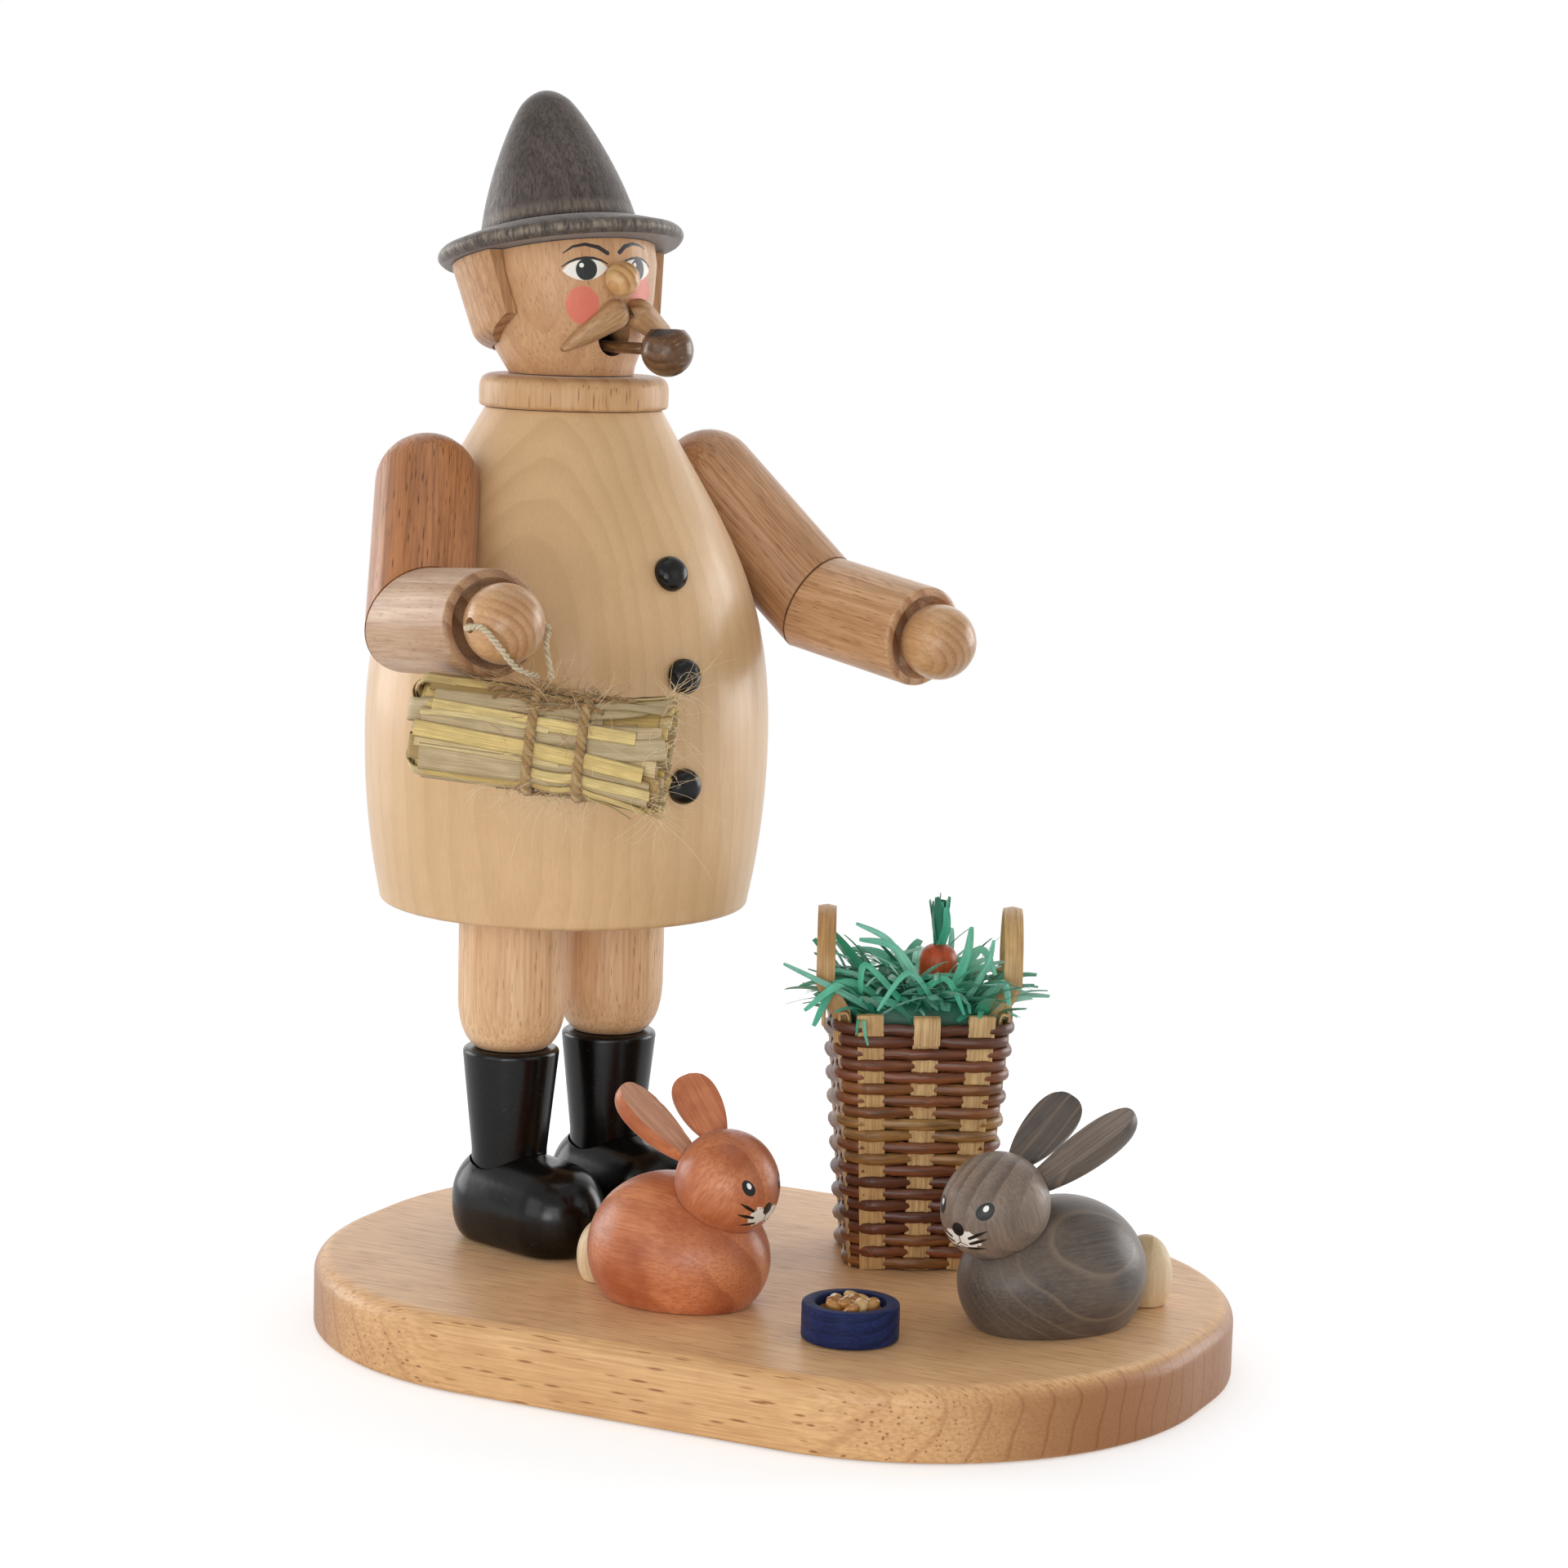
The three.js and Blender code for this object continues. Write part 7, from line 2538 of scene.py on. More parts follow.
        up = [beside(-0.4, -4, -5.8), beside(-4.2, -5.1, -2.4), beside(-6.3, -3.8, 0)]
        up.append(beside(-9, -1.5, -0.3))
        through = [in_bore(-0.8), in_bore(0), in_bore(0.8)]
        down = [beside(9, -1, -1), beside(4, -1, -2)]
        route = [on_tie(-self.knot_width / 2), *up, *through, *down, on_tie(self.knot_width)]
        line = smooth_line(route, 14)
        strands = Strands()
        twist(strands, line, [UP] * len(line), self.twine_radius, 22, False, (0.3, 0.8))
        cord = strands.build("hanger_cord")
        dress(cord, Strand.twine.material(), "hanger_twine")


def twist(strands: Strands, line: Sequence[Vector], ups: Sequence[Vector], radius: float, turns: float,
          closed: bool, tints: Sequence[float]) -> None:
    """Adds plies wound round each other along a line.

    Args:
        strands: Where the plies go.
        line: Middle of the cord, in metres.
        ups: A way across the cord at each point.
        radius: Outer radius of the cord, in millimetres.
        turns: Turns of each ply.
        closed: Whether the cord is a ring.
        tints: Shade of each ply.
    """
    count = len(line)
    for ply, tint in enumerate(tints):
        path, faces = [], []
        for i, point in enumerate(line):
            ahead = line[(i + 1) % count] if closed else line[min(i + 1, count - 1)]
            behind = line[i - 1] if closed else line[max(i - 1, 0)]
            way = (ahead - behind).normalized()
            up = ups[i] if abs(way.dot(ups[i])) < 0.95 else Vector((0.0, 1.0, 0.0))
            side = way.cross(up).normalized()
            normal = side.cross(way)
            angle = 2 * pi * (turns * i / (count if closed else count - 1) + ply / len(tints))
            out = side * cos(angle) + normal * sin(angle)
            path.append(point + out * radius * 0.5 * MM)
            faces.append(out)
        strands.sweep(path, round_outline(radius * 0.55, 8), faces, tint, closed)


class Fur(Enum):
    """The two rabbits' colours."""

    BROWN = "brown"
    GRAY = "gray"


@dataclass(frozen=True)
class Ear:
    """Root and tip of an ear from the head's middle and the way its flat faces: left, back and up."""

    root: Triple
    tip: Triple
    flat: Triple
    # Whether the flat face gets the lighter copy: partly paler bare wood, partly a painted highlight.
    pale: bool = False


@dataclass(frozen=True)
class RabbitFace:
    """Painted face in degrees round the head: turn to the left, then up."""

    eyes: tuple[Pair, ...]
    eye_radius: float
    glint: float
    nose: Pair
    nose_radii: Pair
    cheeks: tuple[Pair, ...]
    cheek_radii: Pair
    whiskers: tuple[tuple[float, float, float, float], ...]
    mouth: tuple[tuple[float, float, float, float], ...]


@dataclass
class Rabbit:
    """Turned rabbit: egg-shaped body and head, flat-faced ears, tail and painted face."""

    fur: Fur
    x: float
    y: float
    facing: float
    rump: float
    chest: float
    head_forward: float
    head_length: float
    nod: float
    tail_back: float
    tail_height: float
    ears: dict[Side, Ear]
    face: RabbitFace
    stain: Wood
    # Lighter copy for the flat faces: partly paler bare wood, partly a painted highlight.
    flat_stain: Wood
    head_stain: Wood
    plate_top: float = 11.6
    girth: float = 12.4
    haunch: float = 2.0
    axis_height: float = 7.2
    head_height: float = 20.1
    head_radius: float = 8.1
    head_back: float = 8.0
    ear_radius: float = 3.6
    ear_root: float = 1.7
    ear_flat: float = 0.7
    ear_sunk: float = 1.5
    tail_radius: float = 4.3
    tail_sunk: float = 2.2
    paint_radius: float = 8.7
    seam: float = 0.06

    @property
    def axis(self) -> Matrix:
        """Frame under the rabbit, facing as it does."""
        return standing(self.x, self.y, self.plate_top + GLUE, self.facing)

    @property
    def head_axis(self) -> Matrix:
        """Frame in the head's middle, nose along -Y."""
        nod = spun(self.nod, "X")
        return self.axis @ shifted(0, -self.head_forward, self.head_height) @ nod

    def name(self, word: str) -> str:
        """Node name of one of this rabbit's pieces."""
        return f"rabbit_{self.fur.value}_{word}"

    def head_form(self, name: str, grow: float) -> Object:
        """Egg of the head in place."""
        line = half_round(self.head_radius + grow, self.head_length + grow, self.head_back + grow)
        egg = turned(name, line, 80)
        return place(egg, self.head_axis @ spun(90, "X"))

    def body_form(self, name: str, grow: float) -> Object:
        """Egg of the body in place, sawn flat underneath.

        Args:
            name: Name of the piece.
            grow: How far outside the true form.

        Returns:
            The egg.
        """
        egg = turned(name, half_round(self.girth + grow, self.chest + grow, self.rump + grow, 34), 96)
        place(egg, shifted(0, self.haunch, self.axis_height) @ spun(90, "X"))
        slice_off(egg, mm(0, 0, -grow), Vector((0.0, 0.0, -1.0)))
        return place(egg, self.axis)

    def build(self) -> None:
        """Models and dresses the rabbit."""
        body = carve(self.body_form(self.name("body_turned"), 0.0), self.head_form("head_tool", self.seam))
        lying = self.axis @ spun(90, "X")
        dress(body, self.stain.material("body", lying), self.name("body"))
        head = self.head_form(self.name("head_turned"), 0.0)
        dress(head, self.head_stain.material("head", self.head_axis, self.paint), self.name("head"))
        for side in Side:
            self.build_ear(side)
        self.build_tail()

    def build_ear(self, side: Side) -> None:
        """Spindle with a flat face to the front.

        Args:
            side: Which ear.
        """
        ear = self.ears[side]
        middle = mm(0, -self.head_forward, self.head_height)
        root, tip = middle + mm(*ear.root), middle + mm(*ear.tip)
        way = (tip - root).normalized()
        start = root - way * self.ear_sunk * MM
        length = (tip - start).length / MM
        widest = 0.62 * length
        stem = arc((self.ear_root, 0), (self.ear_radius, 0.3 * length), (self.ear_radius, widest), 12)
        end = arc((self.ear_radius, widest), (self.ear_radius, length), (0, length), 12)
        spindle = turned(self.name(f"ear_{side.word}_cut"), [(0, 0), *stem, *end[1:]], 48)
        place(spindle, aimed(way, start))
        facing = Vector(ear.flat)
        facing = (facing - way * facing.dot(way)).normalized()
        slice_off(spindle, start + facing * self.ear_flat * MM, facing)
        place(spindle, self.axis)
        carve(spindle, self.head_form("head_tool", self.seam))
        grain = self.axis @ aimed(way, start)
        dress(spindle, self.stain.material(f"ear_{side.word}", grain), self.name(f"ear_{side.word}"))
        # Only a marked ear goes on: its outward flat faces get a lighter copy of the stain, partly paler bare
        # wood and partly a painted highlight.
        if not ear.pale:
            return
        spindle.data.materials.append(self.flat_stain.material(f"ear_{side.word}", grain))
        outward = self.axis.to_3x3() @ facing
        for face in spindle.data.polygons:
            face.material_index = 1 if face.normal.dot(outward) > 0.98 else 0

    def build_tail(self) -> None:
        """Egg-shaped tail against the rump."""
        half = self.tail_height / 2
        egg = turned(self.name("tail_turned"), half_round(self.tail_radius, half, half), 56)
        place(egg, shifted(0, self.tail_back, half - self.tail_sunk))
        slice_off(egg, Vector(), Vector((0.0, 0.0, -1.0)))
        place(egg, self.axis)
        carve(egg, self.body_form("body_tool", self.seam))
        dress(egg, Timber.tail.material(self.fur.value, self.axis), self.name("tail"))

    def on_map(self, turn: float, rise: float) -> Pair:
        """Place on the paint map of a direction from the head's middle."""
        up = radians(rise)
        return self.paint_radius * radians(turn) * cos(up), self.paint_radius * up

    def paint(self, finish: Finish, local: Socket, bare: Socket) -> Painter:
        """Eyes, muzzle, nose, mouth and whiskers.

        Args:
            finish: Material of the head.
            local: Place in the head's frame.
            bare: Colour of the stain.

        Returns:
            Painter with the painted colour.
        """
        x, y, z = finish.split(local)
        turn = finish.math("ARCTAN2", x, finish.times(y, -1.0))
        rise = finish.math("ARCTAN2", z, finish.vector("LENGTH", finish.join(x, y)))
        level = finish.times(turn, finish.math("COSINE", rise))
        scale = (self.paint_radius, self.paint_radius, 0.0)
        point = finish.vector("MULTIPLY", finish.join(level, rise), scale)
        painter = Painter(finish, point, bare)
        brushed = painter.ragged(1.5, 1.5)
        for cheek in self.face.cheeks:
            dab = painter.spot(self.on_map(*cheek), self.face.cheek_radii, 0.06, brushed)
            painter.cover(dab, Paint.muzzle)
        for a_turn, a_rise, b_turn, b_rise in self.face.whiskers:
            (ax, ay), (bx, by) = self.on_map(a_turn, a_rise), self.on_map(b_turn, b_rise)
            middle = ((ax + bx) / 2, (ay + by) / 2 + 0.06, 0.3)
            painter.cover(painter.stroke([(ax, ay, 0.24), middle, (bx, by, 0.08)]), Paint.whisker)
        for a_turn, a_rise, b_turn, b_rise in self.face.mouth:
            line = [(*self.on_map(a_turn, a_rise), 0.09), (*self.on_map(b_turn, b_rise), 0.09)]
            painter.cover(painter.stroke(line), Paint.whisker)
        nose = painter.spot(self.on_map(*self.face.nose), self.face.nose_radii, 0.06)
        painter.cover(nose, Paint.rabbit_nose)
        radius, glint = self.face.eye_radius, self.face.glint
        for eye in self.face.eyes:
            u, v = self.on_map(*eye)
            painter.cover(painter.spot((u, v), (radius * 1.12, radius), 0.05), Paint.rabbit_eye)
            dot = painter.spot((u + 0.08, v + radius * 0.32), (glint, glint), 0.1)
            painter.cover(dot, Paint.rabbit_glint)
        return painter


@dataclass
class Feeder:
    """Blue feed bowl with amber grains."""

    x: float = 28.0
    y: float = -29.4
    plate_top: float = 11.6
    radius: float = 7.5
    height: float = 5.6
    bore: float = 5.5
    floor: float = 1.6
    soft: float = 0.5
    lip: float = 0.3
    grain_length: float = 3.5
    grain_width: float = 2.5
    grain_height: float = 1.9
    grain_bow: float = 0.1
    grain_lean: float = 0.35
    grain_sizes: Pair = (0.9, 1.1)
    grains: int = 11
    heap_sunk: float = 0.42
    heap_rise: float = 0.9
    heap_uneven: Pair = (-0.15, 0.35)
    seed: int = 3

    def build(self) -> None:
        """Models and dresses the bowl and its grains."""
        axis = standing(self.x, self.y, self.plate_top + GLUE, 0.0)
        r, h, soft, bore, lip = self.radius, self.height, self.soft, self.bore, self.lip
        foot = arc((r - soft, 0), (r, 0), (r, soft), 4)
        rim = arc((r, h - soft), (r, h), (r - soft, h), 4)
        edge = arc((bore + lip, h), (bore, h), (bore, h - lip), 3)
        cup = turned("bowl_turned", [(0, 0), *foot, *rim, *edge, (bore, self.floor), (0, self.floor)])
        place(cup, axis)
        grain = axis @ spun(90, "Y")
        dress(cup, Stain.blue.material("bowl", grain), "feed_bowl")
        heap = self.heap(axis)
        dress(heap, Strand.seed.material(), "feed_grains")

    def heap(self, axis: Matrix) -> Object:
        """Grains glued on a bed that fills the bowl.

        Args:
            axis: Frame of the bowl.

        Returns:
            The heap.
        """
        chance = random.Random(self.seed)
        level = self.height - self.grain_height * self.heap_sunk
        bed = self.bore - GAP
        strands = Strands()
        low = self.floor + GLUE
        turns = [i * pi / 16 for i in range(32)]
        strands.skin([[mm(bed * cos(a), bed * sin(a), z) for a in turns] for z in (low, level - 0.6)], 0.1)
        for i in range(self.grains):
            share = sqrt((i + 0.3) / self.grains)
            reach = (bed - self.grain_length / 2 + 0.2) * share
            angle = GOLDEN_TURN * i
            height = level + (1 - share) * self.heap_rise + chance.uniform(*self.heap_uneven)
            where = shifted(reach * cos(angle), reach * sin(angle), height)
            heading = Matrix.Rotation(chance.uniform(0, pi), 4, "Z")
            turn = heading @ Matrix.Rotation(chance.gauss(0, self.grain_lean), 4, "Y")
            rings = self.grain(where @ turn, chance.uniform(*self.grain_sizes))
            strands.skin(rings, chance.random(), False, [cos(k * pi / 7) for k in range(14)])
        return smooth(place(strands.build("grain_heap"), axis), 60.0)

    def grain(self, where: Matrix, size: float) -> list[Ring]:
        """Rings of one bean-shaped grain, bowed a little along its length.

        Args:
            where: Frame of the grain.
            size: Its scale.

        Returns:
            Its rings.
        """
        rings = []
        for i in range(11):
            angle = pi * (0.03 + 0.94 * i / 10)
            along = -cos(angle) * self.grain_length / 2 * size
            wide = sin(angle) * self.grain_width / 2 * size
            high = sin(angle) * self.grain_height / 2 * size
            bow = self.grain_bow * along**2
            turns = [k * pi / 7 for k in range(14)]
            rings.append([where @ mm(along, bow + wide * cos(a), high * sin(a)) for a in turns])
        return rings


@dataclass
class Basket:
    """Square back basket: willow woven round cane stakes, two cane handles, raffia grass and a carrot."""

    x: float = 15.6
    y: float = 20.7
    facing: float = 30.0
    plate_top: float = 11.6
    rim: float = 28.8
    foot: float = 22.6
    height: float = 41.4
    corner: float = 4.4
    wall: float = 2.6
    floor: float = 2.4
    stake_width: float = 4.2
    stake_spacing: float = 9.0
    stake_fold: float = 0.8
    stake_bend: float = 1.25
    stake_thickness: float = 0.7
    rows: int = 21
    rod_height: float = 0.96
    rod_depth: float = 0.68
    weave: float = 0.55
    handle_span: float = 18.0
    handle_rise: float = 16.0
    handle_width: float = 3.0
    handle_thickness: float = 1.1
    handle_set: float = 6.0
    handle_out: float = 0.8
    handle_turn: float = -5.0
    handle_tuck: float = 3.0
    tuck_rise: float = 5.0
    mound: float = 8.6
    heap_room: float = 0.6
    carrot_side: float = 3.2
    carrot_radius: float = 3.1
    carrot_length: float = 24.0
    carrot_above: float = 10.4
    leaf_height: float = 8.4
    leaves: int = 11
    leaf_thickness: float = 0.2
    leaf_foot: float = 0.21
    leaf_spread: float = 0.385
    leaf_heights: Pair = (0.72, 1.05)
    leaf_bow: float = 0.25
    leaf_widths: Pair = (1.2, 1.9)
    leaf_tints: Pair = (0.1, 0.6)
    blades: int = 280
    blade_widths: tuple[float, ...] = (0.7, 0.9, 1.2, 1.6, 2.2)
    blade_thickness: float = 0.12
    blade_lengths: Pair = (6.0, 13.0)
    blade_leans: Pair = (0.25, 1.2)
    blade_curls: Pair = (0.2, 1.3)
    blade_tints: Pair = (0.15, 1.0)
    blade_sway: float = 0.5
    blade_spin: float = 0.7
    curl_out: float = 0.8
    curl_down: float = 1.1
    root_reach: float = 0.95
    root_rise: float = 0.55
    heading_spread: float = 1.1
    rim_clear: float = 0.4
    rim_past: float = 0.9
    long_widths: Pair = (1.0, 1.7)
    long_tints: Pair = (0.5, 0.9)
    seed: int = 11
    row_tints: tuple[float, ...] = (
        0.72, 0.5, 0.62, 0.3, 0.18, 0.26, 0.34, 0.2, 0.45, 0.86, 0.55,
        0.9, 0.98, 0.6, 0.55, 0.62, 0.5, 0.46, 0.42, 0.26, 0.22,
    )

    @property
    def axis(self) -> Matrix:
        """Frame under the basket, front along -Y."""
        return standing(self.x, self.y, self.plate_top + GLUE, self.facing)

    def half_at(self, z: float) -> float:
        """Half width of the outside at a height."""
        return (self.foot + (self.rim - self.foot) * z / self.height) / 2

    def build(self) -> None:
        """Models and dresses the basket and what is in it."""
        self.build_weave()
        cane = Strand.cane.material()
        self.build_stakes(cane)
        for side in Side:
            self.build_handle(side, cane)
        self.build_grass()
        self.build_carrot()

    def build_weave(self) -> None:
        """Willow rods woven over and under the stakes, with a floor inside."""
        strands = Strands()
        chance = random.Random(self.seed)
        pitch = (self.height - 0.4) / self.rows
        outline = [(a * self.rod_height, b * self.rod_depth) for a, b in round_outline(1.0, 10)]
        for row in range(self.rows):
            z = pitch * (row + 0.5) + 0.1
            line, ups = [], []
            for quarter in range(4):
                turn = spun(90 * quarter, "Z")
                over = 1 if (row + quarter) % 2 == 0 else -1
                for point, out in self.rod_wall(self.half_at(z) - self.rod_depth, over, z, chance):
                    line.append(turn @ point)
                    ups.append(turn @ out)
            strands.sweep(line, outline, ups, self.row_tints[row % len(self.row_tints)], True)
        base = []
        for z in (0.05, self.floor):
            half = self.half_at(z) - self.wall * 0.55
            base.append(rounded_ring(half, half, 2.5, z))
        strands.skin(base, 0.1)
        basket = place(strands.build("basket_weave"), self.axis)
        dress(basket, Strand.willow.material(), "basket")

    def rod_wall(self, half: float, over: int, z: float,
                 chance: random.Random) -> list[tuple[Vector, Vector]]:
        """Line of a rod along the front wall and round its right corner.

        Args:
            half: Half width at the rod's middle line.
            over: 1 where the rod passes outside the middle stake, -1 where it passes inside.
            z: Height of the row.
            chance: Small unevenness.

        Returns:
            Points in the basket's frame, each with the way out from the wall.
        """
        soft = self.corner - self.rod_depth
        straight = half - soft
        spacing = self.stake_spacing * half / (self.rim / 2)
        rod = []
        for i in range(27):
            across = straight * (2 * i / 26 - 1)
            wave = over * cos(pi * across / spacing) * self.weave
            rod.append((mm(across, -half - wave, z + chance.gauss(0, 0.05)), Vector((0.0, -1.0, 0.0))))
        for i in range(1, 10):
            angle = pi / 2 * i / 10
            out = Vector((sin(angle), -cos(angle), 0.0))
            near = min(angle, pi / 2 - angle)
            turn = over if i <= 5 else -over
            swing = self.weave * (1 - near * 4 / pi)
            wave = turn * cos(pi * (straight + soft * near) / spacing) * swing
            rod.append((mm(straight, -straight, z) + out * (soft + wave) * MM, out))
        return rod

    def build_stakes(self, cane: Material) -> None:
        """Flat cane stakes up every wall, folded over the rim in turn to the inside and the outside.

        Args:
            cane: Their finish.
        """
        strands = Strands()
        chance = random.Random(self.seed + 2)
        for quarter in range(4):
            turn = spun(90 * quarter, "Z")
            across = turn @ Vector((1.0, 0.0, 0.0))
            facing = turn @ Vector((0.0, -1.0, 0.0))
            for number, offset in enumerate((-self.stake_spacing, 0.0, self.stake_spacing)):
                inward = -1 if number == 1 else 1
                line = [turn @ p for p in smooth_line(self.stake_route(offset, inward), 6)]
                ups = []
                for i in range(len(line)):
                    way = (line[min(i + 1, len(line) - 1)] - line[max(i - 1, 0)]).normalized()
                    up = across.cross(way)
                    ups.append(up if up.length > 0.1 else facing)
                outline = flat_outline(self.stake_width, self.stake_thickness)
                strands.sweep(line, outline, ups, chance.uniform(0.35, 1.0))
        stakes = place(strands.build("basket_stakes"), self.axis)
        attach(stakes, cane, "basket_handle_left")

    def stake_route(self, offset: float, inward: int) -> list[Vector]:
        """Points of a stake on the front wall, from its foot over the rim and down again.

        Args:
            offset: Place across the wall at the rim.
            inward: 1 where it is folded to the inside, -1 where to the outside.

        Returns:
            Points in the basket's frame.
        """
        lean = offset * self.foot / self.rim
        points = []
        for share in (0.0, 0.25, 0.5, 0.75, 1.0):
            z = share * self.height
            points.append(mm(lean + (offset - lean) * share, -self.half_at(z) + self.rod_depth, z))
        y = -self.rim / 2 + self.rod_depth
        top = self.height + self.stake_fold
        bend = self.stake_bend * inward
        fold = ((0.3, top - 0.1), (0.9, top - 0.05), (1.25, self.height - 0.6), (1.25, self.height - 3.4))
        return points + [mm(offset, y + bend * share, z) for share, z in fold]

    def build_handle(self, side: Side, cane: Material) -> None:
        """Flat cane strap bent into an arch over one wall.

        Args:
            side: Which wall.
            cane: Its finish.
        """
        half = self.handle_span / 2
        shoulder = self.height + self.handle_rise - half
        low = self.height - self.handle_set
        line = [mm(0, -half, low + (shoulder - low) * i / 8) for i in range(8)]
        for i in range(29):
            angle = pi * (1 - i / 28)
            line.append(mm(0, half * cos(angle), shoulder + half * sin(angle)))
        line += [mm(0, half, shoulder - (shoulder - low) * i / 8) for i in range(1, 9)]
        for p in line:
            below = max(0.0, self.height + self.tuck_rise - p.z / MM)
            p.x = -side.value * self.handle_tuck * MM * min(1.0, below / self.tuck_rise)
        ups = []
        for p in line:
            above = p.z > shoulder * MM
            spoke = Vector((0.0, p.y, p.z - shoulder * MM)).normalized()
            ups.append(spoke if above else Vector((0.0, copysign(1, p.y), 0.0)))
        strands = Strands()
        outline = flat_outline(self.handle_width, self.handle_thickness)
        strands.sweep(line, outline, ups, 0.4 + 0.2 * side.value)
        word = "right" if side is Side.LEFT else "left"
        wall = self.axis @ shifted(side.value * (self.rim / 2 + self.handle_out), 0, 0)
        turn = spun(self.handle_turn, "Z")
        strap = place(strands.build(f"handle_{word}_strap"), wall @ turn)
        dress(strap, cane, f"basket_handle_{word}")

    def build_grass(self) -> None:
        """Raffia grass: a dark heap, tinted darkest as painted shade under the blades, with curled flat
        blades standing and hanging out of it.
        """
        chance = random.Random(self.seed + 5)
        strands = Strands()
        inner = self.rim / 2 - self.wall - self.heap_room
        heap = []
        for z in (self.floor + GAP, self.height - 1.6):
            half = self.half_at(z) - self.wall - self.heap_room
            heap.append(rounded_ring(half, half, 1.2, z))
        for i in range(1, 7):
            angle = i / 6.2 * pi / 2
            reach = inner * cos(angle) ** 0.8
            z = self.height + 0.6 * self.mound * sin(angle)
            heap.append(rounded_ring(reach, reach, reach * 0.5, z))
        # Darkest tint on the heap: painted shade under the blades.
        strands.skin(heap, 0.0)
        for _ in range(self.blades):
            self.grass_blade(strands, chance, inner)
        for points in self.long_blades():
            line = smooth_line([mm(*p) for p in points], 6)
            outline = flat_outline(chance.uniform(*self.long_widths), self.blade_thickness)
            tint = chance.uniform(*self.long_tints)
            strands.sweep(line, outline, Vector((0.2, -0.75, 0.6)), tint, False, lambda t: 1.0 - 0.6 * t**3)
        grass = place(strands.build("raffia_grass"), self.axis)
        dress(grass, Strand.raffia.material(), "basket_grass")

    def long_blades(self) -> list[list[Triple]]:
        """Blades that reach far out of the basket, in its frame.

        Returns:
            Points of each blade.
        """
        top = self.height
        return [
            [(-8, -9, top + 1), (-15, -11, top + 5), (-23, -11, top + 8.8)],
            [(-7, -9, top + 3), (-13, -11.5, top + 6), (-19.5, -12, top + 1.4)],
            [(-9, -8, top + 2), (-14, -10, top + 5.5), (-18, -12.5, top - 1)],
            [(-2, -9, top + 6), (-6, -10, top + 12.5), (-11.5, -10.5, top + 15.4)],
            [(0, -9, top + 4), (-5, -11, top + 11.5), (-11, -11.5, top + 13)],
            [(-4, -10, top + 3), (-10, -12, top + 9), (-10.5, -12, top + 3)],
            [(4, -9, top + 3), (6.5, -10, top + 10), (7.2, -10, top + 15)],
            [(7, -9, top + 3), (10, -10, top + 9), (10.8, -10.5, top + 13)],
            [(2, -11, top + 2), (-3, -13, top + 8), (-8, -14.4, top + 2)],
            [(9, -9, top + 2), (12.5, -10.5, top + 6), (13.5, -11.5, top + 2.5)],
            [(-1, -10, top + 4), (3, -13, top + 7), (6, -14.4, top + 1.5)],
            [(5, -6, top + 5), (9, -8, top + 11), (11.5, -9, top + 7)],
        ]

    def grass_blade(self, strands: Strands, chance: random.Random, inner: float) -> None:
        """One curled flat blade out of the heap.

        Args:
            strands: Mesh of the grass.
            chance: Unevenness.
            inner: Half width of the heap.
        """
        reach = inner * self.root_reach
        px, py = chance.uniform(-1, 1) * reach, chance.uniform(-1, 1) * reach
        near = max(abs(px), abs(py)) / inner
        base = mm(px, py, self.height - 1.0 + self.root_rise * self.mound * (1 - near**2))
        heading = atan2(py, px) + chance.gauss(0, self.heading_spread)
        lean = chance.uniform(*self.blade_leans)
        long = chance.uniform(*self.blade_lengths)
        out = Vector((cos(heading), sin(heading), 0.0))
        side = Vector((-out.y, out.x, 0.0))
        way = out * sin(lean) + UP * cos(lean)
        curl = chance.uniform(*self.blade_curls)
        sway = chance.gauss(0, self.blade_sway)
        steps = 9
        line = [base]
        for i in range(steps):
            t = (i + 1) / steps
            bent = way + out * curl * t * self.curl_out - UP * curl * t * self.curl_down + side * sway * t
            line.append(line[-1] + bent.normalized() * long / steps * MM)
        floor_z = (self.height + self.rim_clear) * MM
        for p in line[1:]:
            if max(abs(p.x), abs(p.y)) < (self.rim / 2 + self.rim_past) * MM:
                p.z = max(p.z, floor_z)
        spin = chance.uniform(-self.blade_spin, self.blade_spin)
        up = (UP * cos(spin) + side * sin(spin)).normalized()
        outline = flat_outline(chance.choice(self.blade_widths), self.blade_thickness)
        strands.sweep(line, outline, up, chance.uniform(*self.blade_tints), False, lambda t: 1.0 - 0.5 * t**3)

    def build_carrot(self) -> None:
        """Stained carrot, broad end up, with a tuft of raffia leaves."""
        top = self.height + self.carrot_above
        shoulder, foot, radius = top - self.carrot_radius, top - self.carrot_length, self.carrot_radius
        root = arc((0.4, foot), (radius, (foot + shoulder) / 2), (radius, shoulder), 14)
        dome = arc((radius, shoulder), (radius, top), (0, top), 10)
        where = self.axis @ shifted(self.carrot_side, 0, 0)
        carrot = place(turned("carrot_turned", [(0, foot), *root, *dome[1:]], 48), where)
        dress(carrot, Timber.carrot.material("root", where), "carrot")
        chance = random.Random(self.seed + 9)
        strands = Strands()
        for i in range(self.leaves):
            angle = GOLDEN_TURN * i
            low, wide = self.leaf_foot * sqrt(i), self.leaf_spread * sqrt(i)
            foot_point = mm(low * cos(angle), low * sin(angle), top - 0.2)
            high = self.leaf_height * chance.uniform(*self.leaf_heights)
            tip = foot_point + mm(wide * cos(angle), wide * sin(angle), high)
            bow = mm(chance.gauss(0, self.leaf_bow), chance.gauss(0, self.leaf_bow), 0)
            line = smooth_line([foot_point, foot_point.lerp(tip, 0.5) + bow, tip], 5)
            flat = Vector((cos(angle), sin(angle), 0.0))
            outline = flat_outline(chance.uniform(*self.leaf_widths), self.leaf_thickness)
            tint = chance.uniform(*self.leaf_tints)
